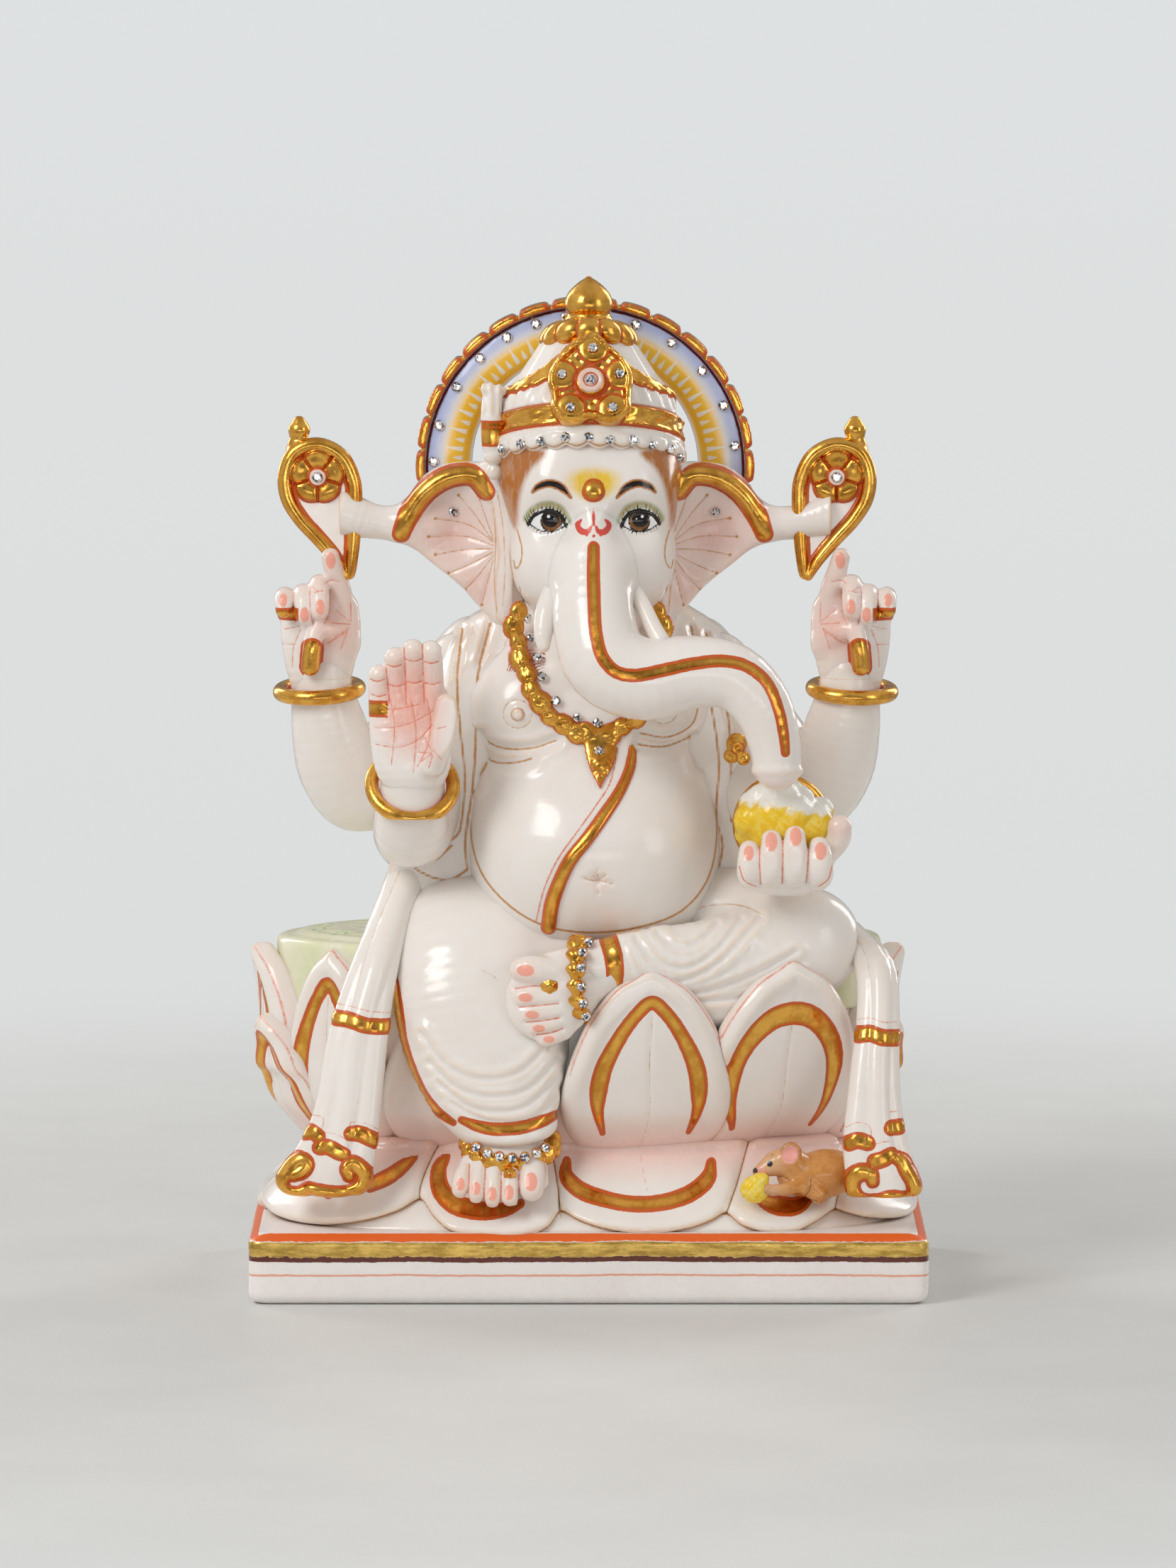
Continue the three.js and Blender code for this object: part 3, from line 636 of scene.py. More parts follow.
def gem_points(radius):
    """A brilliant cut, resting on its girdle: a table, a crown of facets and a shallow pavilion."""
    rings = [(0.0, -0.45, 0), (1.0, 0.0, 0), (1.0, 0.14, 0), (0.80, 0.40, 0.5), (0.52, 0.56, 0)]
    points = [(0.0, 0.0, rings[0][1])]
    for r, h, turn in rings[1:]:
        for i in range(GEM_SIDES):
            a = 2 * math.pi * (i + turn) / GEM_SIDES
            points.append((r * math.cos(a), r * math.sin(a), h))
    faces = []
    ring = [list(range(1 + k * GEM_SIDES, 1 + (k + 1) * GEM_SIDES)) for k in range(len(rings) - 1)]
    n = GEM_SIDES
    for i in range(n):
        j = (i + 1) % n
        faces.append((0, ring[0][j], ring[0][i]))
        faces.append((ring[0][i], ring[0][j], ring[1][j], ring[1][i]))
        faces.append((ring[1][i], ring[1][j], ring[2][i]))
        faces.append((ring[2][i], ring[1][j], ring[2][j]))
        faces.append((ring[2][i], ring[3][j], ring[3][i]))
        faces.append((ring[2][i], ring[2][j], ring[3][j]))
    faces.append(tuple(ring[3]))
    return np.array(points) * radius, faces


def gems(name, seats, *nodes):
    """Stones on (point, outward normal, radius) seats, each turned a little from the last."""
    points, faces = [], []
    for k, (place, outward, radius) in enumerate(seats):
        p, f = gem_points(radius)
        turn = Vector((0, 0, 1)).rotation_difference(Vector(outward)).to_matrix()
        spin = np.array([[math.cos(k), -math.sin(k), 0], [math.sin(k), math.cos(k), 0], [0, 0, 1]])
        start = len(points)
        points += list((np.array(turn) @ spin @ p.T).T + np.array(place) + 0.25 * radius * np.array(outward))
        faces += [tuple(start + i for i in face) for face in f]
    return attach(new_piece(name, points, faces, GLASS, smooth_faces=False), "crystal", *nodes)


def gems_on(name, field, places, radius=1.5):
    seats = [(*surface_at(field, x, z), radius) for x, z in places]
    return gems(name, seats)


# ---- camera, light and floor ----
CAMERA_DISTANCE = 3.0  # metres, from the idol's middle
CAMERA_RISE = 6.0  # degrees
LENS = 227.6


def studio():
    aim = Vector((0, 0, 0.150))
    rise = math.radians(CAMERA_RISE)
    data = bpy.data.cameras.new("camera")
    data.lens = LENS
    data.clip_end = 20
    camera = bpy.data.objects.new("camera", data)
    camera.location = aim + Vector((0, -math.cos(rise), math.sin(rise))) * CAMERA_DISTANCE
    camera.rotation_euler = (aim - camera.location).to_track_quat("-Z", "Y").to_euler()
    bpy.context.scene.collection.objects.link(camera)
    bpy.context.scene.camera = camera

    def panel(name, place, size, power, color=(1, 1, 1)):
        light = bpy.data.lights.new(name, "AREA")
        light.shape = "RECTANGLE"
        light.size, light.size_y = size
        light.energy = power
        light.color = color
        obj = bpy.data.objects.new(name, light)
        obj.location = place
        obj.rotation_euler = (Vector((0, 0, 0.16)) - obj.location).to_track_quat("-Z", "Y").to_euler()
        bpy.context.scene.collection.objects.link(obj)

    panel("key", (-0.85, -0.95, 1.05), (0.5, 0.7), 9.2)
    panel("fill", (1.05, -0.9, 0.5), (0.4, 0.8), 2.2)
    panel("low_front", (0.1, -1.6, 0.12), (1.0, 0.2), 1.7)
    panel("rim_left", (-0.8, 0.8, 0.6), (0.3, 0.8), 3.5)
    panel("rim_right", (0.8, 0.8, 0.6), (0.3, 0.8), 3.5)
    studio_world()
    studio_floor()
    bpy.context.scene.view_settings.view_transform = "Standard"


def studio_world():
    """A pale backdrop. What the idol is lit by and mirrors is dimmer, with a bright window on one side."""
    world = bpy.data.worlds.new("studio")
    world.use_nodes = True
    nodes, links = world.node_tree.nodes, world.node_tree.links
    split = nodes.new("ShaderNodeSeparateXYZ")
    links.new(nodes.new("ShaderNodeTexCoord").outputs["Generated"], split.inputs[0])

    def ramp(socket, stops):
        n = nodes.new("ShaderNodeValToRGB")
        while len(n.color_ramp.elements) < len(stops):
            n.color_ramp.elements.new(0.5)
        for element, (at, color) in zip(n.color_ramp.elements, stops):
            element.position, element.color = at, (*color, 1)
        remap = nodes.new("ShaderNodeMapRange")
        remap.inputs["From Min"].default_value = -1
        links.new(split.outputs[socket], remap.inputs["Value"])
        links.new(remap.outputs[0], n.inputs[0])
        return n.outputs[0]

    height = ramp(
        "Z",
        [
            (0.30, (0.26, 0.235, 0.21)), (0.50, (0.38, 0.37, 0.36)), (0.62, (0.19, 0.185, 0.18)),
            (0.86, (0.72, 0.715, 0.71)),
        ],
    )
    window = ramp(
        "X",
        [
            (0.10, (0.88, 0.88, 0.88)), (0.34, (0.22, 0.215, 0.21)), (0.62, (0.16, 0.155, 0.15)),
            (0.92, (0.56, 0.54, 0.51)),
        ],
    )
    both = nodes.new("ShaderNodeMix")
    both.data_type = "RGBA"
    both.inputs[0].default_value = 0.42
    links.new(height, both.inputs[6])
    links.new(window, both.inputs[7])
    lit = nodes["Background"]
    links.new(both.outputs[2], lit.inputs["Color"])
    lit.inputs["Strength"].default_value = 1.0
    seen = nodes.new("ShaderNodeBackground")
    links.new(
        ramp("Z", [(0.40, (0.70, 0.71, 0.70)), (0.50, (0.74, 0.76, 0.765)), (0.60, (0.76, 0.79, 0.80))]),
        seen.inputs["Color"],
    )
    pick = nodes.new("ShaderNodeMixShader")
    links.new(nodes.new("ShaderNodeLightPath").outputs["Is Camera Ray"], pick.inputs[0])
    links.new(lit.outputs[0], pick.inputs[1])
    links.new(seen.outputs[0], pick.inputs[2])
    links.new(pick.outputs[0], nodes["World Output"].inputs["Surface"])
    bpy.context.scene.world = world


FLOOR_RADIUS = 0.75


def studio_floor():
    """A pale table top that fades into the backdrop towards its edge."""
    look = Look("studio_floor", Roughness=0.5)
    paper = look.between(look.noise(60, 3), 0.3, 0.7)
    grain = look.between(look.noise(1.2, 4, 0.7), 0.3, 0.7)
    color = look.mix(paper, (0.70, 0.70, 0.68), (0.73, 0.73, 0.71))
    look.bump(grain, 0.05)
    x, y = look.axis(0), look.axis(1)
    r = look.hypot(x, y)
    look.plug(look.shader.inputs["Alpha"], look.between(r, FLOOR_RADIUS * 1000, FLOOR_RADIUS * 420))
    look.finish(color)
    bpy.ops.mesh.primitive_circle_add(vertices=96, radius=FLOOR_RADIUS, fill_type="TRIFAN")
    floor = bpy.context.object
    floor.name = "studio_floor"
    floor.data.materials.append(look.material)


studio()


# ---- head ----
CROWN_Y = -6.0
CROWN_LEAN = 0.28  # rise of the crown's level lines per mm towards the front


def level(y, z):
    """Height on the crown, measured square to its lean."""
    return z + CROWN_LEAN * (y - CROWN_Y)


FACE_X = 1.6  # the face's middle line
PAINTED_FACE = -15.0  # the paint of the face lies in front of this y
EYES = ((-11.7, 232.1), (15.2, 232.1))
GAZE = (0.9, 0.0)  # how far each iris stands from the middle of its eye
HEAD_LEVELS = [
    (195, 12, 11, 1.5, -12), (205, 19, 19, 1.5, -12), (218, 23.3, 23.5, 1.4, -11),
    (232, 25.2, 25, 1.2, -9.5), (244, 27.6, 25, 0.4, -8.5), (256, 27.4, 24, 0.2, -7.5),
    (268, 21, 20, 0, -6),
]
TRUNK = [
    (1.6, -22, 238, 7.5), (1.7, -28, 228, 10), (1.6, -35, 215, 11.2), (2, -41, 202, 12.4),
    (6, -46, 191, 12.8), (17, -48, 186.3, 12.2), (31, -49, 188.6, 10.9), (43, -50, 187.3, 9.9),
    (51.5, -51, 179, 8.9), (55.3, -51, 168, 7.7), (56.3, -50.5, 160.5, 7.1),
]


def about_face(points):
    return [(2 * FACE_X - p[0], *p[1:]) for p in points]


def at_eye(centre, flip, points):
    return [(centre[0] + flip * p[0], centre[1] + p[1], *p[2:]) for p in points]


LID = [(-6.2, -0.9), (-4.4, 1.7), (-0.6, 3.3), (3.0, 2.3), (5.3, -1.2)]
LOWER_LID = [(-5.7, -0.9), (-2.6, -2.7), (1.4, -2.9), (5.0, -1.2)]
EYE_OPENING = [(-5.7, -0.8), (-4.2, 1.6), (-0.5, 3.2), (3.0, 2.2), (5.0, -1.1), (1.4, -2.7), (-2.6, -2.6)]
SOCKET_CREASE = [(-5.8, 1.8), (-4.0, 4.0), (-0.4, 5.4), (3.4, 4.2), (5.2, 1.6)]
BROW = [(-4.9, 8.8, 0.45), (-3.2, 10.5, 1.0), (0.3, 11.6, 1.25), (3.8, 10.4, 1.2), (6.6, 7.4, 0.4)]
eye_sides = ((EYES[0], 1), (EYES[1], -1))


def both_eyes(make, points):
    return any_of(*(make(at_eye(c, f, points)) for c, f in eye_sides))


head_core = merge(
    7.0,
    stack(HEAD_LEVELS),
    ball((-9.5, -21.5, 241), (11.5, 11.5, 13)),
    ball((12.7, -21.5, 241), (11.5, 11.5, 13)),
    ball((-12.5, -21, 219), (10, 11.5, 12)),
    ball((15.5, -21, 219), (10, 11.5, 12)),
)
trunk_core = merge(1.5, limb(TRUNK, side=(0, 1, 0)), torus((56.3, -50.3, 159.2), 6.6, 1.1, (0.02, 0.1, 1)))
sockets = [ball((c[0], -38.5, c[1] + 0.6), (8.5, 8.0, 6.0)) for c, f in eye_sides]
eyeballs = [ball((c[0] + 0.4 * f, -26.4, c[1] + 0.2), (6.4, 5.0, 4.6)) for c, f in eye_sides]


def face_field(x, y, z):
    d = smin(head_core(x, y, z), trunk_core(x, y, z), 9.0)
    for socket in sockets:
        d = smax(d, -socket(x, y, z), 6.0)
    for eye in eyeballs:
        d = smin(d, eye(x, y, z), 1.6)
    return d - np.where(y < -12, lid_relief(x, z), 0)


lid_line = both_eyes(lambda p: stroke(p, 0.55), LID)
lower_lid_line = both_eyes(lambda p: stroke(p, 0.3), LOWER_LID)


def lid_relief(x, z):
    return raised(lid_line, 0.55, 0.9)(x, z) + raised(lower_lid_line, 0.25, 0.6)(x, z)


def cell(mass, own, other, overlap=0.8):
    """The part of a flowing mass that is nearer to its own core than to the other's."""

    def field(x, y, z):
        return np.maximum(mass(x, y, z), own(x, y, z) - other(x, y, z) - overlap)

    return field


# rim, number, lean at the inner end and its change, up or down, length, half width at the root
LASHES = [(LID, 15, (-0.6, 1.1), 1.0, 2.4, 0.26), (LOWER_LID, 12, (-0.6, 1.0), -1.0, 1.35, 0.17)]


def lashes():
    hairs = []
    for rim, count, lean, up, length, root_half in LASHES:
        curve = np.array(smooth(rim, 12))[:, :2]
        for t in np.linspace(0, 1, count):
            root = curve[int(t * (len(curve) - 1))]
            tip = root + np.array([lean[0] + lean[1] * t, up]) * length * (1 - 0.45 * abs(t - 0.4))
            hairs.append([(*root, root_half), (*tip, 0.06)])
    return any_of(*(both_eyes(stroke, line) for line in hairs))


HAIR = [
    (-29.5, 252), (-12.5, 252.8), (-17.0, 248.0), (-19.4, 243.4), (-21.0, 236.5), (-21.9, 229.4),
    (-24.2, 232.8), (-27.0, 238), (-30, 245),
]
trunk_line = [
    (1.7, 225.2, 1.35), (1.6, 219, 1.5), (1.8, 210, 1.5), (2.4, 200.5, 1.5), (4.4, 193.7, 1.5),
    (8.4, 189.6, 1.5), (14, 188.6, 1.5), (22, 190.1, 1.45), (31, 192.0, 1.4), (40, 192.8, 1.35),
    (47, 191.2, 1.3), (53, 186.3, 1.25), (56.6, 178, 1.2), (58.0, 171, 1.15), (58.6, 165.4, 0.9),
]
trunk_gold = stroke(trunk_line)


def looking(ovals):
    """Ovals of both eyes, set over by the gaze."""
    return spots(
        [(c[0] + f * a + gaze, c[1] + b, *r) for (c, f), gaze in zip(eye_sides, GAZE) for a, b, *r in ovals],
        0,
    )


pupil = looking([(-0.4, 0.65, 2.5, 2.35)])
iris = looking([(-0.1, 0.1, 3.05, 3.0)])
iris_ring = looking([(-0.1, 0.1, 3.35, 3.3)])
eye_white = both_eyes(region, EYE_OPENING)
TILAK_HOOK = [(3.6, 233.0, 0.3), (4.7, 231.4, 0.8), (3.5, 229.7, 0.95), (1.5, 229.8, 0.7), (0.8, 231.2, 0.3)]
tilak = any_of(
    stroke([(1.7, 236.6, 0.15), (1.65, 234.0, 0.45), (1.7, 231.6, 0.35)]),
    *(stroke([(FACE_X + side * a, z, w) for a, z, w in TILAK_HOOK]) for side in (-1, 1)),
    spots([(-0.4, 228.8), (1.7, 228.5), (3.8, 228.8)], 0.48),
)


def temple_lines():
    lines = [
        [(-22.6, 241.5), (-23.6, 230), (-23.2, 219), (-21, 208)],
        [(-21.2, 229), (-19.8, 224), (-20.2, 219.5), (-21.6, 217.6), (-22.3, 220)],
        [(-20.5, 212), (-19.6, 205), (-21, 199)],
    ]
    return any_of(*(stroke(p, 0.22) for line in lines for p in (line, about_face(line))))


hair = any_of(region(HAIR), region(about_face(HAIR)))
brow_line = both_eyes(stroke, BROW)
lid_shade = both_eyes(lambda p: stroke(p, 0.9), [(q[0], q[1] + 1.5) for q in LID])
black_line = any_of(pupil, lid_line, both_eyes(lambda p: stroke(p, 0.2), LOWER_LID), lashes())


def head_umber(x, y, z):
    """The temples' hair, the brows and the shade under the crown's fringe."""
    locks = 1.35 * (1 - step(hair(x, z), -1.2, 1.3)) * (0.93 + 0.07 * np.sin(1.9 * x + 0.5 * z))
    fringe = 0.7 * (1 - step(np.abs(level(y, z) - 248.3), 0.4, 2.2))
    brows = np.where(y < PAINTED_FACE, 1.3 * (1 - step(brow_line(x, z), -0.2, 0.25)), 0)
    return np.where(y < 2, np.maximum(np.maximum(locks, fringe), brows), 0)


def head_black(x, y, z):
    ring = np.maximum(np.maximum(iris_ring(x, z), -iris(x, z) - 0.15), eye_white(x, z))
    return np.where(
        y < PAINTED_FACE,
        np.minimum(np.minimum(black_line(x, z), ring), brow_line(x, z) + 0.5),
        FAR,
    )


def brow_glow(x, y, z):
    """The yellow behind the bead, wider at its top."""
    away = np.hypot((x - FACE_X) / (5.4 + 0.35 * (z - 240)), (z - 243.4) / 4.2)
    return np.where(y < -20, 1.15 * (1 - step(away, 0.6, 1.5)), 0)


def eye_shadow(x, y, z):
    return np.where((y < PAINTED_FACE) & (lid_line(x, z) > 0.2), 0.9 * (1 - step(lid_shade(x, z), 0, 1.2)), 0)


head_marks = {
    "amber": brow_glow,
    "umber": head_umber,
    "moss": eye_shadow,
    "tan": front(any_of(temple_lines(), both_eyes(lambda p: stroke(p, 0.18), SOCKET_CREASE)), PAINTED_FACE),
    "white": front(eye_white, PAINTED_FACE),
    "iris": front(iris, PAINTED_FACE),
    "black": head_black,
    "glint": front(looking([(-1.0, 1.5, 0.45, 0.45), (0.7, 0.8, 0.25, 0.25)]), PAINTED_FACE),
    "rouge": front(tilak, -20),
}
trunk_marks = {
    "rosy": lambda x, y, z: 0.16 * (1 - step(z, 156, 163)),
    "gold": lambda x, y, z: np.where(y < -30, trunk_gold(x, z) + 0.35, FAR),
    "rouge": front(tilak, -20),
}
head_box = (room("head")[0] - 4, room("head")[1] + [4, 4, 14])
marble_piece("head", ["head"], cell(face_field, head_core, trunk_core), head_marks, voxel=0.42, box=head_box)
marble_piece("trunk", ["trunk"], cell(face_field, trunk_core, head_core), trunk_marks, voxel=0.5)

bead = merge(
    0.4,
    ball((FACE_X, -34.4, 240.9), (3.6, 2.6, 3.6)),
    torus((FACE_X, -33.9, 240.9), 3.7, 0.7, (0, -1, 0.08)),
)
bead_marks = {
    "red": lambda x, y, z: -1 + 0 * x,
    "gold": lambda x, y, z: np.hypot(x - FACE_X, z - 241.9) - 2.7,
}
bead_box = ([-5, -40, 234.5], [8, -27, 247])
sculpt(
    "forehead_bead",
    [],
    bead,
    painted_marble(bead_marks),
    "gold_leaf",
    bead_marks,
    voxel=0.3,
    box=bead_box,
)

TUSKS = {
    "right_tusk": [
        (-9.5, -31, 213, 3.4), (-12.4, -36, 205, 3.5), (-13.4, -39, 198.5, 2.7),
        (-13.2, -40, 195.5, 1.9),
    ],
    "left_tusk": [(11.5, -31, 215, 2.6), (16, -37, 208, 2.5), (19.6, -42, 201, 2.6), (22.5, -45, 196, 2.9)],
}
for name, stations in TUSKS.items():
    tusk_low, tusk_high = np.array(stations)[:, :3].min(0) - 7, np.array(stations)[:, :3].max(0) + 7
    marble_piece(name, [name], limb(stations), voxel=0.35, box=(tusk_low, tusk_high))

# ---- ears ----
EAR = [
    (-27, 246.5), (-37.3, 248), (-47.2, 245.5), (-54.5, 237), (-58.2, 227), (-54, 223.5), (-48.4, 218.5),
    (-38.5, 210.5), (-31, 202), (-25, 197), (-20, 204), (-19, 240),
]
EAR_ROLL = [
    (-56.3, -5.4, 226.5, 2.0), (-53.8, -6.4, 232.5, 2.6), (-48.4, -7, 239.6, 2.8),
    (-41.5, -7.2, 243.7, 2.8), (-34.6, -7, 244, 2.6), (-30.8, -7, 239.5, 2.2),
]
EAR_RIDGE = [
    (-28.5, -8, 246, 2.6), (-26.6, -10, 240, 2.8), (-25.2, -11.5, 231, 3.2), (-24.6, -13, 221, 3.4),
    (-25.4, -12.5, 211, 3.4), (-25.2, -12, 202, 2.8),
]
EAR_VEINS = [
    [(-28.5, 224), (-36, 229), (-46, 231)],
    [(-28.5, 224), (-34, 232), (-39, 238)],
    [(-28.5, 223), (-37, 225.5), (-48, 225.5)],
    [(-28.5, 222), (-37, 221.5), (-46, 220)],
    [(-28.5, 221), (-35, 217.5), (-42, 214.5)],
    [(-28.5, 220), (-33, 214), (-37, 209.5)],
    [(-28.5, 219), (-30.5, 211), (-32, 205)],
    [(-28.5, 225), (-31, 232), (-33, 238)],
]
EAR_FOLDS = [
    [(-30.6, 242), (-28.4, 234), (-27.8, 224), (-28.2, 213), (-27.4, 203)],
    [(-27.4, 240), (-25.6, 229), (-25.0, 216), (-25.6, 205)],
]
EAR_BRIDGE = [(48, 0, 229, 5.5), (58, -2, 229.3, 5.1), (65, -3, 230, 5.3), (74, -3, 232.5, 7)]
EAR_MIDDLE = -1.6  # the two ears mirror about this x


def ear_points(sign, points):
    return points if sign < 0 else [(2 * EAR_MIDDLE - p[0], *p[1:]) for p in points]


def make_ear(name, sign):
    outline = region(ear_points(sign, EAR))
    veins = any_of(*(stroke(ear_points(sign, v), 0.16) for v in EAR_VEINS))
    folds = any_of(*(stroke(ear_points(sign, v), 0.14) for v in EAR_FOLDS))
    vein_ends = spots([ear_points(sign, [v[-1]])[0] for v in EAR_VEINS], 0.5)
    roll = limb(ear_points(sign, EAR_ROLL), side=(0, 1, 0))
    ridge = limb(ear_points(sign, EAR_RIDGE), side=(0, 1, 0))
    hollow_at = ear_points(sign, [(-42, -16, 229)])[0]
    bridge = limb([(sign * a, *rest) for a, *rest in EAR_BRIDGE], side=(0, 0, 1))
    lobe = ear_points(sign, [(-33, 210)])[0]

    def field(x, y, z):
        d = slab(outline, -7.5, 2.5, 4.0)(x, y, z)
        d = smax(d, -ball(hollow_at, (17, 12.5, 19))(x, y, z), 3.0)
        d = smin(d, roll(x, y, z), 1.2)
        d = smin(d, ridge(x, y, z), 5.0)
        d = smin(d, bridge(x, y, z), 5.0)
        return d - np.where(y < 0, groove(veins, 0.22, 0.5)(x, z), 0)

    roll_line = stroke([(p[0], p[2], p[3] * 0.98) for p in ear_points(sign, EAR_ROLL)])
    inside = ear_points(sign, [(-41, 226)])[0]
    marks = {
        "rosy": lambda x, y, z: np.where(
            y < -1,
            np.clip(0.62 - 0.036 * np.hypot((x - inside[0]) * 0.8, z - inside[1]), 0.0, 0.6)
            + 0.42 * (1 - step(np.hypot(x - lobe[0], z - lobe[1]), 0, 11)),
            0,
        ),
        "tan": front(any_of(veins, vein_ends, folds), -0.5),
        "gold": front(roll_line, -3.5),
    }
    marble_piece(name, [name], field, marks, voxel=0.45)
    return field


right_ear_field = make_ear("right_ear", -1)
left_ear_field = make_ear("left_ear", 1)
gems_on("right_ear_stone", right_ear_field, [(-40.6, 233.0)], 1.45)
gems_on("left_ear_stone", left_ear_field, [(38.4, 233.0)], 1.45)


# ---- crown ----
CROWN_WALL = [
    (240, 25.5, 24.5, 0, -6), (250, 28, 27, 0, -6), (262, 27.6, 26.4, 0, -6), (269, 25.6, 24.6, 0, -6),
    (274, 22.0, 21.2, 0, -6), (279, 18.6, 18.0, 0, -6), (285, 14.6, 14.4, 0, -6), (291, 11, 11, 0, -6),
]
crown_wall = stack(CROWN_WALL)
CROWN_RADIUS = 27.0
SCALLOP = 6.6  # mm between the drops of the fringe
FRINGE = (247.4, 253.6)
BAND = (254.2, 260.4)
PALE = (260.9, 268.6)


def crown_round(x, y):
    return np.arctan2(x, CROWN_Y - y) * CROWN_RADIUS


def drops(x, y):
    return np.abs(np.sin(np.pi * crown_round(x, y) / SCALLOP))


def between_levels(low, high, soft, z):
    return step(z, low - soft, low + soft) * (1 - step(z, high - soft, high + soft))


def leaves(x, y, z):
    """Scrolling leaf relief round the gold band."""
    s = crown_round(x, y)
    wave = np.sin(2 * np.pi * (s / 8.0 + 0.24 * np.sin(2 * np.pi * z / 6.2)))
    return wave * np.cos(2 * np.pi * (z - BAND[0]) / 7.0 + 0.6 * np.sin(s / 3.0))


def crown_band_field(x, y, z):
    v = level(y, z)
    d = crown_wall(x, y, z)
    fringe = between_levels(FRINGE[0] + 1.3 * (1 - drops(x, y)), FRINGE[1], 0.5, v)
    bead = np.sqrt(np.maximum(1 - ((v - 248.9) / 2.6) ** 2, 0)) * drops(x, y)
    band = between_levels(BAND[0], BAND[1], 0.5, v)
    edges = bell(v - BAND[0] - 0.5, 0.6) + bell(v - BAND[1] + 0.5, 0.6)
    d = d - 1.0 * fringe - 0.8 * bead * (v < 252) - band * (0.5 + 0.34 * leaves(x, y, v)) - 0.5 * edges
    low = FRINGE[0] - 0.9 + 1.5 * (1 - drops(x, y))
    inner = crown_wall(x, y, z) + 3.5
    return np.maximum(np.maximum(np.maximum(d, (low - v) * 0.9), v - PALE[0]), -inner)


def crown_dome_field(x, y, z):
    v = level(y, z)
    s = crown_round(x, y)
    pleats = 0.3 * np.cos(2 * np.pi * s / 5.2) * between_levels(PALE[0] + 1, PALE[1], 0.8, v)
    edge = zigzag_level(s)
    top = edge + gold_width(s)
    gold = between_levels(edge, top, 0.5, v)
    d = crown_wall(x, y, z) - pleats - gold * 0.9 + 0.7 * step(v, top - 0.6, top + 0.4)
    facets = 0.25 * np.abs(np.sin(s / 3.1)) * step(v, top, top + 1)
    return np.maximum(np.maximum(d + facets, PALE[0] - v), z - 287.0)


def zigzag_level(s):
    """The gold edge climbs from the sides to the leaf in front and ripples like cloth."""
    climb = 7.0 * bell(s, 16.0)
    return 266.6 + climb + 0.3 * np.cos(2 * np.pi * s / 4.4 + np.sin(s / 2.0))


def gold_width(s):
    """Height of the dome's gold at a distance round from the front: it spreads up behind the leaf."""
    return 2.6 + 9.0 * bell(s, 21.0)


crown_marks = {
    "gold": lambda x, y, z: np.maximum(BAND[0] + 0.3 - level(y, z), level(y, z) - BAND[1] + 0.2),
    "tan": lambda x, y, z: np.abs(level(y, z) - FRINGE[0] + 0.2 - 1.5 * (1 - drops(x, y))) - 0.2,
}
band_low, band_high = room("crown_band")
band_box = (band_low - [3, 3, 14], band_high + [3, 3, 4])
marble_piece("crown_band", ["crown_band"], crown_band_field, crown_marks, voxel=0.42, box=band_box)


def dome_gold(x, y, z):
    s = crown_round(x, y)
    above = level(y, z) - zigzag_level(s)
    return np.maximum(-above, above - gold_width(s))


dome_marks = {
    "gold": dome_gold,
}
dome_low, dome_high = room("crown_dome")
dome_box = (dome_low - [5, 8, 22], dome_high + [5, 5, 2])
marble_piece("crown_dome", ["crown_dome"], crown_dome_field, dome_marks, voxel=0.42, box=dome_box)

BEAD_RING = dict(x=0.2, y=-6.5, z=287.0, radius=10.4, lobes=12)


def bead_ring_field(x, y, z):
    b = BEAD_RING
    v = z + 0.10 * (y - b["y"]) + 0.012 * (x - b["x"]) ** 2
    r = np.hypot(x - b["x"], y - b["y"])
    angle = np.arctan2(x - b["x"], b["y"] - y)
    lobe = np.sqrt(np.abs(np.cos(angle * b["lobes"] / 2)))
    return np.hypot(r - b["radius"], v - b["z"]) - 3.4 - 1.1 * lobe


def bead_ring_gold(x, y, z):
    b = BEAD_RING
    angle = np.arctan2(x - b["x"], b["y"] - y)
    between = 0.4 - np.abs(np.cos(angle * b["lobes"] / 2)) * 3.0
    low = b["z"] - 3.1 - z - 0.10 * (y - b["y"]) - 0.012 * (x - b["x"]) ** 2
    return 1.6 * np.maximum(low, np.minimum(between, 0.4))


ring_marks = {"gold": bead_ring_gold}
sculpt(
    "crown_bead_ring",
    ["crown_bead_ring"],
    bead_ring_field,
    painted_marble(ring_marks),
    "gold_leaf",
    ring_marks,
    voxel=0.4,
    grow=7.0,
)
FINIAL = [
    (288, 7.6), (291.5, 7.2), (292.6, 6.5), (294, 7.0), (296.5, 7.2), (299, 6.2), (301.2, 4.2),
    (302.8, 2.2), (303.6, 0.8),
]


def finial_field(x, y, z):
    s = smooth([(a, 0, 0, b) for a, b in FINIAL], 6)
    r = np.hypot(x - 0.2, y - CROWN_Y)
    wall = np.interp(z, s[:, 0], s[:, 3])
    return np.maximum((r - wall) * 0.85, np.maximum(288 - z, z - 304))


gold_piece("crown_finial", ["crown_finial"], finial_field, voxel=0.4, grow=3.0)

# The leaf in front of the crown, written flat and leant back onto the dome.
LEAF_AT = (0.5, -30.6, 272.8)
LEAF_LEAN = math.radians(23)
LEAF_OUTLINE = [
    (0.6, 17.2), (5.9, 12.6), (11.1, 7.4), (12.9, 1.4), (12.2, -3.0), (12.2, -7.6), (8.9, -11.3),
    (4.6, -12.0), (0.4, -10.6), (-3.8, -12.0), (-8.3, -11.5), (-11.5, -7.7), (-11.5, -3.2), (-12.5, 1.2),
    (-10.8, 7.2), (-5.5, 12.6),
]
LEAF_PETALS = [(1.0, 11.2), (-8.2, 2.8), (9.0, 3.0), (-5.7, -7.6), (6.9, -7.6)]
LEAF_HEART = (0.3, 0.6)


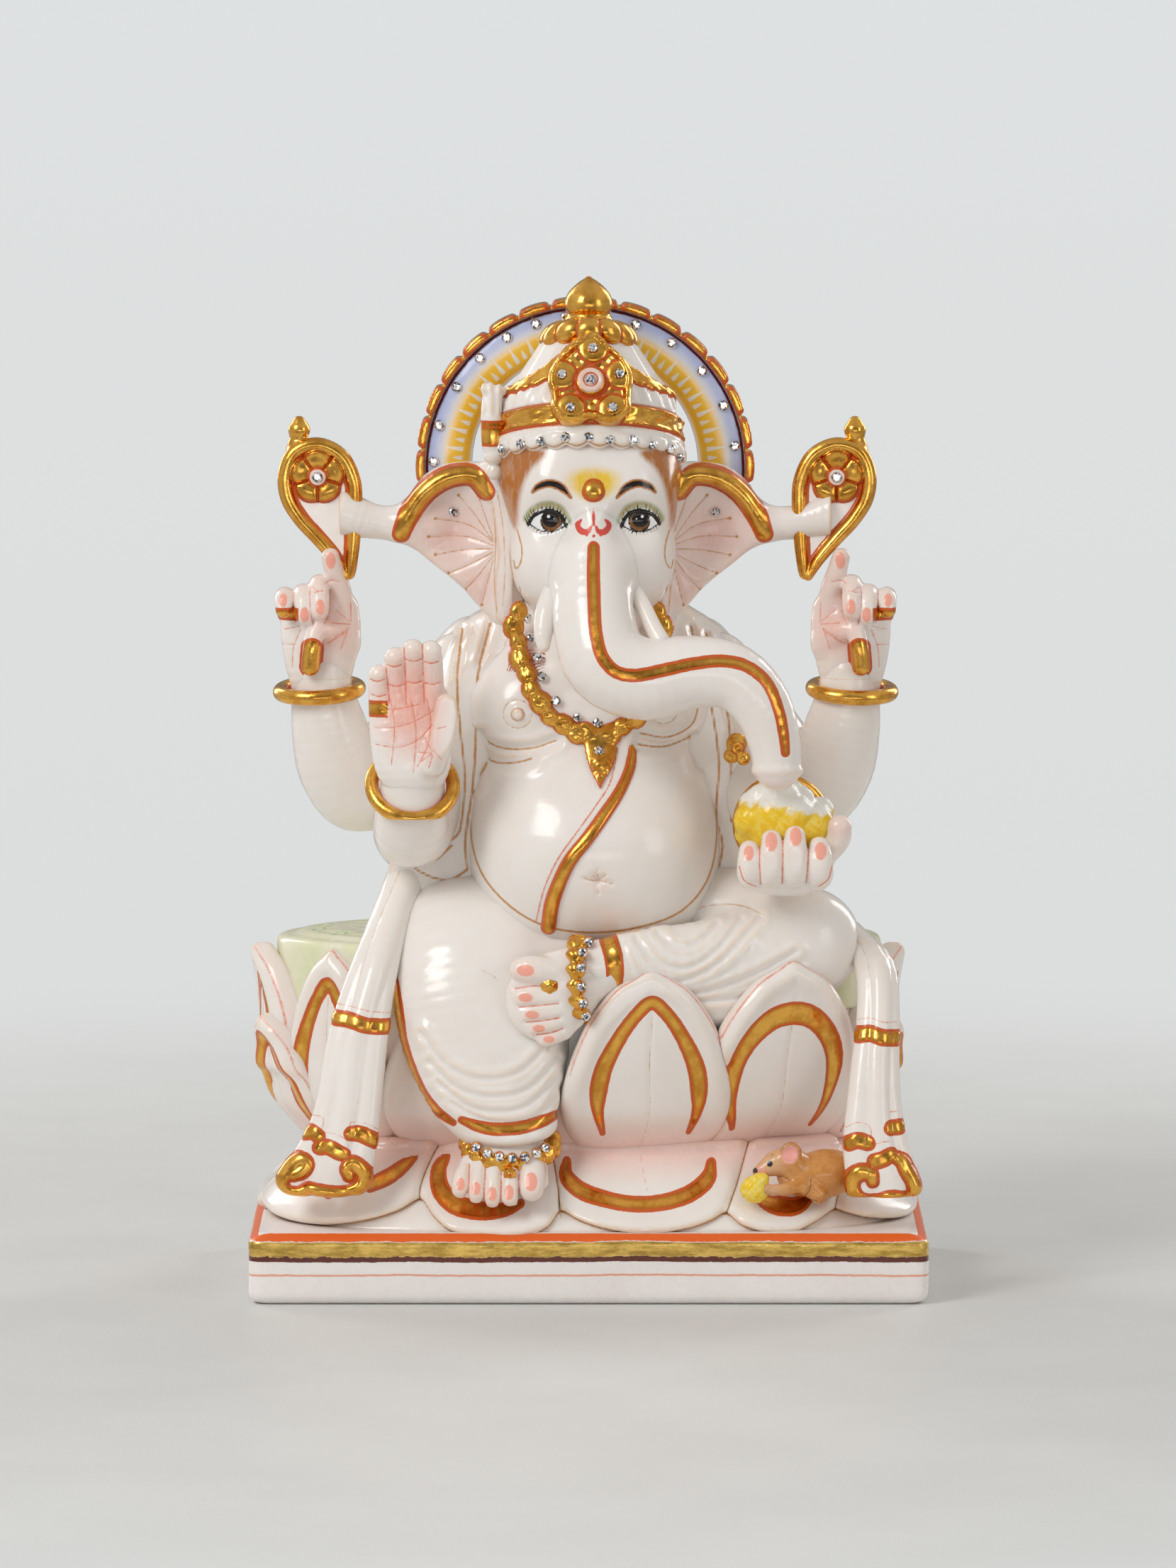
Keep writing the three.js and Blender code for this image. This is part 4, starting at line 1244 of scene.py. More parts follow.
def on_leaf(x, y, z):
    """The leaf's own flat coordinates: across, out of its face and up."""
    q, r = y - LEAF_AT[1], z - LEAF_AT[2]
    up = r * math.cos(LEAF_LEAN) + q * math.sin(LEAF_LEAN)
    out = -(q * math.cos(LEAF_LEAN) - r * math.sin(LEAF_LEAN))
    return x - LEAF_AT[0], out, up


leaf_edge = region(LEAF_OUTLINE)


def leaf_distances(u, v):
    """Distances on the leaf from its edge, from the nearest petal's middle and from its heart."""
    petal = FAR
    for a, b in LEAF_PETALS:
        petal = np.minimum(petal, np.hypot(u - a, v - b))
    return leaf_edge(u, v), petal, np.hypot(u - LEAF_HEART[0], v - LEAF_HEART[1])


def leaf_field(x, y, z):
    u, out, v = on_leaf(x, y, z)
    edge, petal, heart = leaf_distances(u, v)
    scoop = 1.5 * np.sqrt(np.maximum(1 - (petal / 4.6) ** 2, 0)) - 0.5 * bell(petal, 2.3)
    rim = 1.7 * bell(edge + 1.2, 0.9)
    curl = 0.3 * np.sin(1.6 * u + 0.5) * np.sin(1.5 * v) * step(petal, 4.2, 5.2)
    top = 0.7 + np.maximum(np.maximum(scoop, rim), 2.3 * (1 - step(heart, 4.1, 4.9))) + curl * (heart > 5)
    return np.maximum(smax(edge, (out - top) * 0.8, 0.7), 1.8 * step(v, 11, 13) - out - 3.2)


def leaf_gold(x, y, z):
    u, _, v = on_leaf(x, y, z)
    edge, petal, heart = leaf_distances(u, v)
    grooves = np.minimum(np.abs(petal - 4.6) - 0.1, np.abs(heart - 5.0) - 0.35)
    grooves = np.where(edge > -2.0, FAR, grooves)
    return 2.4 * np.maximum(0.25 - grooves, edge - 0.35)


def leaf_point(u, v, out):
    y = LEAF_AT[1] - out * math.cos(LEAF_LEAN) + v * math.sin(LEAF_LEAN)
    z = LEAF_AT[2] + out * math.sin(LEAF_LEAN) + v * math.cos(LEAF_LEAN)
    return np.array([LEAF_AT[0] + u, y, z])


LEAF_OUT = np.array([0, -math.cos(LEAF_LEAN), math.sin(LEAF_LEAN)])
leaf_marks = {"gold": lambda x, y, z: np.minimum(leaf_gold(x, y, z), 0.6)}
sculpt(
    "crown_medallion",
    ["crown_medallion"],
    leaf_field,
    painted_marble(leaf_marks),
    "gold_leaf",
    leaf_marks,
    voxel=0.36,
    grow=6.5,
)
heart_at = leaf_point(*LEAF_HEART, 2.9)


def from_heart(x, y, z):
    u, _, v = on_leaf(x, y, z)
    return np.hypot(u - LEAF_HEART[0], v - LEAF_HEART[1])


def heart_field(x, y, z):
    r = from_heart(x, y, z)
    d = smax(r - 3.9, np.abs(on_leaf(x, y, z)[1] - 2.6) - 1.0, 0.8)
    return d - 0.25 * bell(r - 3.2, 0.5)


sculpt(
    "medallion_heart",
    [],
    heart_field,
    painted_marble({"rosy": 0, "red": 0}),
    "white_marble",
    {
        "rosy": lambda x, y, z: 0.5 + 0 * x,
        "red": lambda x, y, z: np.abs(from_heart(x, y, z) - 2.1) - 0.25,
    },
    voxel=0.3,
    box=(heart_at - 7, heart_at + 7),
)
gems("medallion_stone", [(leaf_point(*LEAF_HEART, 3.5), LEAF_OUT, 1.6)], "medallion_stone")
gems("medallion_petal_stones", [(leaf_point(a, b, 1.8), LEAF_OUT, 1.55) for a, b in LEAF_PETALS])

FRINGE_STONES = [
    (-25.6, 253.0), (-20.0, 255.0), (-14.0, 256.1), (-6.7, 257.5), (0.2, 257.6), (6.4, 256.8),
    (13.4, 256.6), (19.2, 255.0), (24.6, 253.2), (27.3, 250.2),
]
gems_on("crown_stones", crown_band_field, FRINGE_STONES, 1.5)

# The white tuft of the headscarf at the crown's right side.
TUFT = [
    (-28.3, -14, 269.0, 2.9, 2.4), (-28.9, -14.5, 264.5, 3.2, 2.6), (-28.6, -15, 258, 3.5, 2.9),
    (-28.6, -15, 253.5, 3.3, 2.8),
]
TUFT_KNOTS = [
    ((-29.8, -14, 270.6), (2.4, 2.4, 2.0)), ((-26.6, -14, 270.0), (2.2, 2.4, 1.9)),
    ((-28.2, -15, 250.4), (3.2, 2.8, 2.4)), ((-28.0, -14, 245.8), (2.6, 2.4, 2.6)),
]


def tuft_field(x, y, z):
    d = merge(1.0, limb(TUFT), *(ball(*knot) for knot in TUFT_KNOTS))(x, y, z)
    return d - 0.25 * np.cos(x * 2.6) * step(z, 262, 264)


tuft_marks = {"gold": lambda x, y, z: np.maximum(np.abs(z - 257.4) - 3.1, 0.3 - np.abs(z - 259.3))}
tuft_box = ([-35, -21, 240], [-22, -8, 275])
sculpt(
    "headscarf_tuft",
    [],
    tuft_field,
    painted_marble(tuft_marks),
    "white_marble",
    tuft_marks,
    voxel=0.4,
    box=tuft_box,
)


# ---- halo ----
halo_low, halo_high = room("halo")
HALO = ((halo_low[0] + halo_high[0]) / 2 - 0.9, halo_low[1], (halo_low[2] + halo_high[2]) / 2 - 1.6)
HALO_REACH = (halo_high[0] - halo_low[0]) / 2
HALO_TEETH = 30
RAYS = 88
RAY_CIRCLE = 39.0  # where a ray's width is measured
# The ring's section, from the back of the bore round to the back of the rim: (radius, depth behind the face).
HALO_SECTION = [
    (34.2, 9.6), (34.3, 6.0), (34.9, 3.2), (36.4, 1.2), (39.0, 0.1), (42.0, -0.3), (45.0, 0.1),
    (47.2, 0.9), (48.4, 1.5), (49.0, 1.2),
]


def halo_look():
    look = Look("halo_paint", **MARBLE)
    dx = look.math("SUBTRACT", look.axis(0), HALO[0])
    dz = look.math("SUBTRACT", look.axis(2), HALO[2])
    r = look.hypot(dx, dz)
    angle = look.math("ARCTAN2", dx, dz)
    wobble = look.jitter(0.9, 2.5, 3)
    rw = look.math("ADD", r, wobble)
    lilac = look.between(rw, 41.8, 47.2)
    color = look.mix(lilac, (0.88, 0.875, 0.86), (0.47, 0.55, 0.84))
    yellow = look.math("MULTIPLY", look.between(rw, 44.0, 40.6), look.between(r, 34.7, 35.2))
    color = look.mix(yellow, color, (1.0, 0.61, 0.05))
    # White drops with their points outwards, long and short by turns.
    half_turn = look.math("MULTIPLY", angle, RAYS / 2)
    spoke = look.math("ABSOLUTE", look.math("SINE", half_turn))
    across = look.math("MULTIPLY", look.math("ARCSINE", spoke), 2 * RAY_CIRCLE / RAYS)
    reach = look.between(look.math("COSINE", half_turn), -0.6, 0.6, 40.2, 42.6)
    half = look.between(rw, reach, 37.9, 0.10, 0.62)
    inside = look.between(look.math("SUBTRACT", across, half), 0.18, -0.08)
    inside = look.math("MULTIPLY", inside, look.between(rw, 37.0, 37.5))
    inside = look.math("MULTIPLY", inside, look.between(look.math("SUBTRACT", rw, reach), 0.3, -0.4))
    color = look.mix(inside, color, (0.90, 0.87, 0.81))
    maroon_at = look.math("SUBTRACT", look.math("ADD", r, look.math("MULTIPLY", wobble, 0.4)), 47.9)
    maroon = look.between(look.math("ABSOLUTE", maroon_at), 0.55, 0.3)
    color = look.mix(maroon, color, (0.10, 0.012, 0.02))
    # Painted shade: the bore's inner wall is painted a greyer white than the face.
    bore = look.between(r, 34.8, 34.5)
    color = look.mix(bore, color, (0.80, 0.80, 0.79))
    behind = look.between(look.axis(1), HALO[1] + 9.5, HALO[1] + 9.8)
    color = look.mix(behind, color, WHITE)
    look.bump(look.noise(4.0, 4), 0.12)
    return look.finish(color, look.drift(0.16, 0.3, 4, 3))


def revolve(name, section, centre, material, count=240):
    """A closed section of (radius, depth) turned about the Y axis through centre."""
    points, faces = [], []
    n = len(section)
    for i in range(count):
        a = 2 * math.pi * i / count
        for r, d in section:
            points.append((centre[0] + r * math.sin(a), centre[1] + d, centre[2] + r * math.cos(a)))
    for i in range(count):
        for k in range(n):
            a, b = i * n + k, i * n + (k + 1) % n
            c, d = ((i + 1) % count) * n + (k + 1) % n, ((i + 1) % count) * n + k
            faces.append((a, b, c, d))
    return new_piece(name, points, faces, material)


HALO_BACK = [(49.0, 9.6), (47.0, 10.0), (37.0, 10.0)]
ring_section = [tuple(q) for q in smooth([(r, d, 0) for r, d in HALO_SECTION], 3)[:, :2]] + HALO_BACK
attach(revolve("halo", ring_section, HALO, halo_look()), "halo_paint", "halo")


def halo_rim_field(x, y, z):
    dx, dz = x - HALO[0], z - HALO[2]
    r = np.hypot(dx, dz)
    turn = np.arctan2(dx, dz) * HALO_TEETH / (2 * np.pi)
    share = turn - np.floor(turn)
    gap = np.minimum(share, 1 - share) * 2 * np.pi * 50 / HALO_TEETH
    notch = 1.5 * bell(gap, 0.75)
    crest = 0.35 * np.sin(np.pi * share)
    outer = r - (HALO_REACH + 0.4 + crest - notch)
    across = np.maximum(HALO[1] - 0.8 - y + 0.5 * notch, y - HALO[1] - 9.2)
    return smax(smax(outer, 48.5 - r, 0.6), across, 0.9)


gold_piece("halo_rim", [], halo_rim_field, voxel=0.55, box=(halo_low - 3, halo_high + 3))
STONE_CIRCLE = 45.8
STONE_TURNS = [-88, -74, -58, -44, -31, -19, -7.5, 7.5, 19.5, 35, 50.5, 66, 82]


def halo_seat(degrees):
    a = math.radians(degrees)
    place = [HALO[0] + STONE_CIRCLE * math.sin(a), HALO[1] + 0.2, HALO[2] + STONE_CIRCLE * math.cos(a)]
    return np.array(place), FACING, 1.6


gems("halo_stones", [halo_seat(a) for a in STONE_TURNS])

# ---- emblems on the rear hands ----
EMBLEM_OUTLINE = [
    (0, 11.4), (-7.2, 9.0), (-11.0, 1.0), (-9.8, -6.2), (-4.2, -13.8), (2.6, -20.0), (7.4, -27.0),
    (9.4, -30.6), (11.2, -29.6), (12.0, -22), (12.9, -13), (12.9, -4), (9.4, 6.6),
]
RIM_LINE = [
    (8.6, -30, 1.0), (5.6, -25, 1.5), (0.4, -18.8, 1.7), (-5.2, -12.6, 1.8), (-8.9, -6.2, 1.9),
    (-9.6, 1.0, 1.9), (-6.6, 7.6, 1.9), (0.2, 9.9, 1.9), (7.2, 6.6, 1.9), (11.0, -1.0, 1.9),
    (11.4, -9, 1.9), (11.0, -18, 1.8), (10.4, -25, 1.5), (9.8, -29.5, 1.0),
]
FLOWER = (0.2, 0.2, 7.6)


def make_emblem(name, stone_name, sign, centre):
    def put(points):
        return [(centre[0] - sign * p[0], centre[1] + p[1], *p[2:]) for p in points]

    edge = region(put(EMBLEM_OUTLINE))
    rim = stroke(put(RIM_LINE))
    hub = put([FLOWER])[0]

    def flower(x, z):
        r = np.hypot(x - hub[0], z - hub[1])
        a = np.arctan2(x - hub[0], z - hub[1])
        petals = np.abs(np.cos(2.5 * a))
        return r, petals

    def field(x, y, z):
        r, petals = flower(x, z)
        d = smax(edge(x, z), np.maximum(-6.0 - y, y - 0.2) + 0.4, 1.2)
        d = smin(d, np.sqrt(np.maximum(rim(x, z) + 1.9, 0) ** 2 + (y + 5.2) ** 2) - 2.2, 0.8)
        swell = 0.9 + 1.1 * np.sqrt(petals) * bell(r - 5.4, 2.6)
        lobe = swell * (1 - step(r, 6.6 + 0.9 * petals, 7.5 + 0.9 * petals))
        split = 0.7 * bell(petals * r, 0.8) * (r > 2.5) * (r < 7.6)
        heart = 0.9 * (1 - step(r, 2.5, 3.0))
        lift = lobe - split + heart
        body = smin(d, knob(x, y, z), 1.0)
        return np.where(y < -2, body - lift * (r < 9.2), body)

    top = put([(-5.4, 11.8)])[0]
    knob = merge(
        1.2,
        ball((top[0], -3, top[1] + 2.4), (3.3, 3.2, 3.0)),
        ball((top[0], -3, top[1] + 5.0), (1.7, 1.7, 1.6)),
        limb([(top[0] + sign * 1.0, -3, top[1] - 3.5, 3.0), (top[0], -3, top[1] + 1.0, 2.3)]),
    )

    def gold_mark(x, y, z):
        r, petals = flower(x, z)
        leaf = np.where(r < 9.3, np.maximum(r - 6.9 - 0.9 * petals, 3.2 - r), FAR)
        line = 0.42 - petals * r
        leaf = np.maximum(leaf, np.where((r < 9) & (r > 3), line, -FAR))
        outer = np.minimum(rim(x, z) - 0.25, np.hypot(x - top[0], z - top[1] - 2.2) - 5.4)
        edge_gold = np.where(np.abs(edge(x, z)) < 1.3, -0.6, FAR)
        return np.minimum(np.minimum(leaf, outer), edge_gold)

    marks = {"gold": gold_mark, "rosy": lambda x, y, z: 0.12 * (flower(x, z)[0] < 3)}
    low, high = room(name, grow=4.0)
    box = (low - [0, 0, 1], high + [0, 0, 4])
    sculpt(name, [name], field, painted_marble(marks), "gold_leaf", marks, voxel=0.36, box=box)
    gems(stone_name, [(surface_at(field, hub[0], hub[1])[0], FACING, 1.6)])


make_emblem("rear_right_emblem", "rear_right_emblem_stone", -1, (-81.6, 243.4))
make_emblem("rear_left_emblem", "rear_left_emblem_stone", 1, (75.0, 243.4))


# ---- rear arms, hands and bangles: written for the idol's right side with x outwards ----
def with_fingers(palm, fingers, blend, last_blend):
    """A palm or a sole that its fingers or toes flow into, the last of them over a width of its own."""
    fields = [limb(f, reach=6) for f in fingers]
    widths = [blend] * (len(fields) - 1) + [last_blend]

    def field(x, y, z):
        d = palm(x, y, z)
        for finger, width in zip(fields, widths):
            d = smin(d, finger(x, y, z), width)
        return d

    return field


def outward(sign, points, shift=0.0):
    return [(sign * p[0] + shift, *p[1:]) for p in points]


REAR_ARM = [
    (34, 14, 188, 13, 12), (50, 15, 168, 13.5, 13), (62, 13, 152, 14, 13.5), (69, 10, 147.5, 13.5, 13.5),
    (75, 6, 155, 13.4, 13), (78.2, 3, 166, 12.0, 11.5), (80, 1, 176, 10.2, 9.6),
    (80.4, 0.5, 184, 9.2, 8.4),
]
REAR_PALM = [
    (81, 0, 181, 9.0, 7.2), (81, -0.5, 190, 11.2, 7.4), (80.6, -0.5, 199, 12.0, 7.0),
    (79.6, -0.5, 205, 10.5, 5.6),
]
REAR_FINGERS = [
    [(91.0, 0, 202, 2.9), (91.4, -4.5, 207.4, 2.9), (91.6, -8.6, 206.6, 2.8), (91.6, -9.8, 203.8, 2.5)],
    [(86.0, -1, 203, 3.1), (86.0, -5, 208.2, 3.1), (85.6, -9.6, 206.4, 3.0), (85.4, -11.2, 202.2, 2.7)],
    [(80.6, -1, 205, 3.2), (81.0, -5, 210.9, 3.2), (80.8, -10, 208.4, 3.1), (80.6, -12, 203.8, 2.8)],
    [(74.0, -1, 202, 3.6), (74.8, -3.5, 209, 3.4), (76.4, -6.0, 215, 3.0), (77.6, -7.6, 219.6, 2.7)],
    [
        (73.0, -2, 193, 4.0), (77.0, -6.6, 197, 3.6), (81.4, -9.2, 197.4, 3.2),
        (83.0, -10.6, 192.4, 2.9), (83.6, -10.4, 186.6, 2.8),
    ],
]
REAR_NAILS = [
    (91.7, 206.8, 1.25, 2.0), (85.2, 202.6, 1.4, 2.2), (80.5, 205.0, 1.4, 2.3), (77.4, 218.6, 1.45, 2.6),
]
REAR_CREASES = [
    [(72.0, 200.0), (76.0, 203.4)],
    [(71.6, 199.0), (77.2, 199.8)],
    [(72.0, 198.0), (76.4, 195.4)],
    [(72.4, 197.4), (74.4, 191.6)],
    [(71.4, 199.6), (71.6, 205.4)],
    [(72.6, 197.0), (79.0, 193.2)],
    [(86.6, 197.6), (88.8, 192.0), (89.2, 186.0)],
    [(87.0, 198.6), (91.6, 197.4)],
    [(88.2, 193.0), (92.4, 192.6)],
    [(80.9, 209.6), (83.3, 210.6), (83.4, 203.4), (82.8, 199.6)],
    [(88.7, 209.4), (88.6, 203.0), (88.2, 199.4)],
    [(77.8, 209.6), (78.0, 202.8), (79.4, 199.6)],
    [(74.6, 212.0), (77.4, 212.6), (79.2, 211.6)],
    [(82.6, 209.2), (79.6, 209.8)],
    [(80.2, 182.6), (79.8, 194.6)],
]
THIMBLE = [(83.1, 192.0, 2.7), (83.6, 186.4, 2.7)]


def rear_side(prefix, sign, shift):
    def put(points):
        return outward(sign, points, shift)

    arm = limb(put(REAR_ARM), side=(0, 1, 0), reach=16)
    hand_core = with_fingers(limb(put(REAR_PALM), reach=12), [put(f) for f in REAR_FINGERS], 1.6, 2.4)

    def hand(x, y, z):
        return hand_core(x, y, z) - np.where(y < -1, groove(creases, 0.18, 0.45)(x, z), 0)

    creases = any_of(*(stroke(put(c), 0.12, 3) for c in REAR_CREASES))
    hub = put([(76, 198)])[0]
    ring_at = put([(91.5, 202.3)])[0]

    def ring_band(x, z):
        return np.maximum(np.abs(x - ring_at[0]) - 3.6, np.abs(z - ring_at[1]) - 1.4)

    def palm_blush(x, y, z):
        palm = 0.55 * (1 - step(np.hypot(x - hub[0], (z - hub[1]) * 0.8), 1, 12))
        return np.where(y < 2, palm + 0.25 * step(z, 203, 214), 0)

    marks = {
        "rosy": palm_blush,
        "vein": front(creases, 0),
        "nail": front(spots(put(REAR_NAILS), 0), -3),
        "gold": front(any_of(stroke(put(THIMBLE)), ring_band), 1),
    }
    marble_piece(f"{prefix}_hand", [f"{prefix}_hand"], hand, marks, voxel=0.4)
    marble_piece(
        f"{prefix}_arm",
        [f"{prefix}_arm"],
        arm,
        {"tan": lambda x, y, z: np.abs(z - 182.5) - 0.1},
        voxel=0.7,
    )
    wrist = put([(81.2, 0.2, 178.6)])[0]
    make_bangle(f"{prefix}_bangle", wrist, 11.8, 2.3, (sign * 0.05, -0.12, 1), 0.92)


def make_bangle(name, centre, radius, tube, axis, squash=1.0):
    """A gold ring over red enamel, which shows on its inner side."""
    shape = torus(centre, radius, tube, axis, squash)
    inner = torus(centre, radius - 1.02 * tube, 0.62 * tube, axis, squash)
    marks = {"gold": lambda x, y, z: np.minimum(-inner(x, y, z), 0.3)}
    sculpt(name, [name], shape, painted_marble(marks), "gold_leaf", marks, voxel=0.42)


rear_side("rear_right", -1, 0.0)
rear_side("rear_left", 1, -1.4)

# ---- front arms ----
marble_piece(
    "right_arm",
    ["right_arm"],
    limb(
        [
            (-37, 4, 184, 13, 12), (-46, -3, 160, 12.5, 12), (-51.5, -14, 142, 12.5, 12),
            (-53, -25, 138.5, 11.5, 11), (-53, -33, 145, 10.6, 9.4), (-52.5, -37, 154, 9.6, 7.6),
        ],
        reach=16,
    ),
    voxel=0.7,
)
RIGHT_PALM = [
    (-52.3, -38, 153.5, 8.6, 6.2), (-52.4, -39.5, 160, 11.4, 7.0), (-52.6, -40, 168, 12.3, 6.6),
    (-53.2, -39.6, 176, 12.2, 4.8), (-53.4, -39.2, 181, 11.6, 3.6),
]
RIGHT_FINGERS = [
    [(-61.2, -39.4, 176, 3.6), (-62.0, -40.2, 183, 3.6), (-62.2, -41.8, 187.0, 3.2)],
    [(-56.8, -39.6, 178, 3.6), (-57.2, -40.4, 187, 3.6), (-57.4, -42.4, 192.2, 3.3)],
    [(-51.6, -39.8, 179, 3.6), (-51.9, -40.8, 189, 3.6), (-52.1, -42.8, 194.6, 3.3)],
    [(-46.4, -39.6, 178, 3.6), (-46.7, -40.6, 188.6, 3.6), (-46.8, -42.6, 194.2, 3.3)],
    [
        (-47.0, -44.0, 161, 4.6), (-44.0, -47.4, 168.6, 4.2), (-42.4, -48.6, 175.0, 3.6),
        (-42.2, -48.6, 179.0, 3.1),
    ],
]
RIGHT_CREASES = [
    [(-60.2, 189.5), (-59.6, 184), (-59.2, 178.5)],
    [(-54.8, 195.5), (-54.4, 187), (-54.2, 178.5)],
    [(-49.3, 196.5), (-49.1, 187), (-48.8, 178.5)],
    [(-64.6, 181.4), (-62.4, 180.8), (-60.0, 181.4)],
    [(-64.8, 186.0), (-62.8, 185.4), (-60.6, 186.0)],
    [(-59.4, 184.4), (-57.2, 183.8), (-54.8, 184.4)],
    [(-59.8, 190.4), (-57.8, 189.8), (-55.6, 190.4)],
    [(-54.2, 185.4), (-51.8, 184.8), (-49.4, 185.4)],
    [(-54.2, 192.0), (-52.0, 191.4), (-49.8, 192.0)],
    [(-48.8, 185.0), (-46.4, 184.4), (-44.0, 185.0)],
    [(-48.8, 191.4), (-46.6, 190.8), (-44.4, 191.4)],
    [(-63.6, 171.4), (-58.0, 171.6), (-51.8, 173.4), (-46.0, 176.6)],
    [(-63.2, 166.4), (-56.0, 165.8), (-49.8, 168.6), (-46.2, 173.0)],
    [(-58.8, 180), (-57.6, 172), (-58.6, 160.5)],
    [(-52.8, 180), (-51.2, 171), (-52.0, 158.5)],
    [(-61.6, 176.8), (-56.0, 177.2), (-50.0, 178.6)],
    [(-48.0, 180.0), (-46.8, 173.2), (-47.8, 166.4), (-50.8, 160.0)],
    [(-46.6, 164.6), (-50.6, 164.2)],
    [(-46.6, 164.2), (-49.8, 161.6)],
    [(-46.2, 163.8), (-47.4, 159.8)],
    [(-46.0, 165.4), (-43.6, 162.4)],
    [(-46.4, 165.4), (-48.6, 168.4)],
    [(-42.4, 172.4), (-44.8, 171.8)],
]
right_creases = any_of(*(stroke(c, 0.21 if k < 11 else 0.14, 3) for k, c in enumerate(RIGHT_CREASES)))
right_hand_core = with_fingers(limb(RIGHT_PALM, reach=12), RIGHT_FINGERS, 1.1, 1.3)


def right_hand_field(x, y, z):
    hollow = 1.6 * bell(x + 54, 5.5) * bell(z - 167, 6.5)
    relief = hollow - groove(right_creases, 0.2, 0.45)(x, z)
    return right_hand_core(x, y, z) + np.where(y < -40, relief, 0)


def right_palm_blush(x, y, z):
    fingers = 0.95 * (1 - step(np.hypot((x + 53) * 0.8, (z - 179) * 0.55), 2, 12))
    thumb_root = 0.3 * (1 - step(np.hypot(x + 47, z - 165), 0, 7))
    return np.where(y < -40, fingers + thumb_root, 0)


marble_piece(
    "right_hand",
    ["right_hand"],
    right_hand_field,
    {
        "rosy": right_palm_blush,
        "vein": front(right_creases, -40),
        "gold": lambda x, y, z: np.where(x < -59.6, np.abs(z - 177.0) - 1.7, FAR),
    },
    voxel=0.4,
)
make_bangle("right_bangle", (-52.5, -36.5, 153.4), 12.2, 2.1, (0.05, -0.75, 0.66), 0.9)

marble_piece(
    "left_arm",
    ["left_arm"],
    limb(
        [
            (37, 4, 184, 13, 12), (47, 0, 162, 12.5, 12), (53, -10, 147, 12, 12), (57, -24, 143, 11, 11),
            (58.5, -33, 142, 10.5, 10.5),
        ],
        reach=16,
    ),
    voxel=0.7,
)
make_bangle("left_bangle", (58, -31, 141.5), 12.8, 2.1, (0.15, -1, 0))
LEFT_FINGERS = [
    [(50.5, -42, 126, 3.8), (48.2, -49.6, 128, 3.8), (48.0, -51.4, 132, 3.6), (48.0, -49.8, 135.4, 3.0)],
    [(55, -43, 126, 3.9), (54.5, -51.4, 128.4, 3.9), (54.6, -53.0, 134, 3.8), (54.6, -51.0, 138.6, 3.1)],
    [(61, -43, 126.5, 3.9), (61.6, -51.6, 129, 3.9), (61.6, -53.2, 135, 3.8), (61.6, -51.2, 139.8, 3.1)],
    [(67, -42, 126, 4.1), (68.9, -49.8, 128, 4.1), (68.9, -51.6, 132.4, 4.0), (68.8, -49.8, 136.2, 3.3)],
    [(70, -40, 133, 4.2), (74.4, -42.4, 138, 3.9), (75.0, -43.4, 141.6, 3.7)],
]
LEFT_SPLITS = [
    [(51.2, 139.0), (51.0, 132), (51.4, 125.4)], [(58.0, 141.6), (57.9, 134), (57.8, 125.8)],
    [(65.5, 140.4), (65.5, 134), (65.0, 126.0)], [(45.0, 131), (46.4, 126.8), (50.0, 124.6)],
    [(72.6, 131), (71.4, 127), (68.6, 124.8)],
]
LEFT_NAILS = [
    (47.8, 135.0, 1.5, 2.1), (54.5, 138.5, 1.8, 2.7), (61.8, 140.0, 1.8, 2.6), (69.2, 135.6, 1.8, 2.5),
]
left_palm = merge(5.0, ball((59, -39, 130), (13.4, 9, 9)), ball((60, -42, 127.4), (11.5, 8, 5)))
left_hand_core = with_fingers(left_palm, LEFT_FINGERS, 1.9, 1.9)
left_splits = any_of(*(stroke(c, 0.2, 3) for c in LEFT_SPLITS))


def left_hand_field(x, y, z):
    return left_hand_core(x, y, z) - np.where(y < -44, groove(left_splits, 0.2, 0.4)(x, z), 0)


marble_piece(
    "left_hand",
    ["left_hand"],
    left_hand_field,
    {
        "rosy": lambda x, y, z: 0.2 * (1 - step(np.hypot(x - 75, z - 142), 2, 5)) + 0.12 * step(z, 129, 138),
        "vein": front(left_splits, -44),
        "nail": front(spots(LEFT_NAILS, 0), -47),
    },
    voxel=0.4,
)
SWEETS = [
    (48.6, -41, 143.4, 5.2), (55.0, -44, 145.2, 5.4), (61.6, -44, 146.0, 5.2), (67.8, -41, 143.2, 5.2),
    (58.6, -40, 139.0, 10.5), (51.8, -39, 149.8, 4.4), (57.8, -42, 151.4, 4.6), (63.4, -39, 149.2, 4.4),
    (48.6, -37, 148.0, 3.6), (69.6, -36, 146.0, 4.0), (55.6, -38, 153.2, 3.4), (60.6, -38, 152.4, 3.2),
    (70.4, -40, 139.8, 3.8), (47.4, -38, 139.0, 3.6), (58.0, -34, 147.0, 8.0), (66.4, -43, 140.4, 4.0),
]
sweets_core = merge(2.2, *(ball(s[:3], (s[3], s[3] * 0.9, s[3])) for s in SWEETS))


def sweets_field(x, y, z):
    grain = 0.08 * np.sin(2.1 * x + 0.7 * z) * np.sin(1.9 * z - 0.4 * y)
    return sweets_core(x, y, z) - grain


def sweets_look():
    look = Look("sweet_paint", **MARBLE)
    edge = look.math("ADD", look.axis(2), look.jitter(7.0, 3.2, 4, 0.6))
    edge = look.math("SUBTRACT", edge, look.math("MULTIPLY", look.between(look.axis(0), 50, 72), -3.0))
    yellow = look.between(edge, 149.6, 147.6)
    patch = look.between(look.noise(2.6, 3, 0.6), 0.42, 0.62)
    paint = look.mix(patch, (0.88, 0.56, 0.01), (0.90, 0.66, 0.07))
    # Painted shade: a darker orange laid into the creases between the sweets.
    paint = look.mix(look.math("MULTIPLY", look.creases(), 0.6), paint, (0.70, 0.40, 0.02))
    color = look.mix(yellow, (0.88, 0.86, 0.80), paint)
    look.bump(look.noise(1.4, 4), 0.07)
    return look.finish(color, look.drift(0.18, 0.36, 2.2, 3))


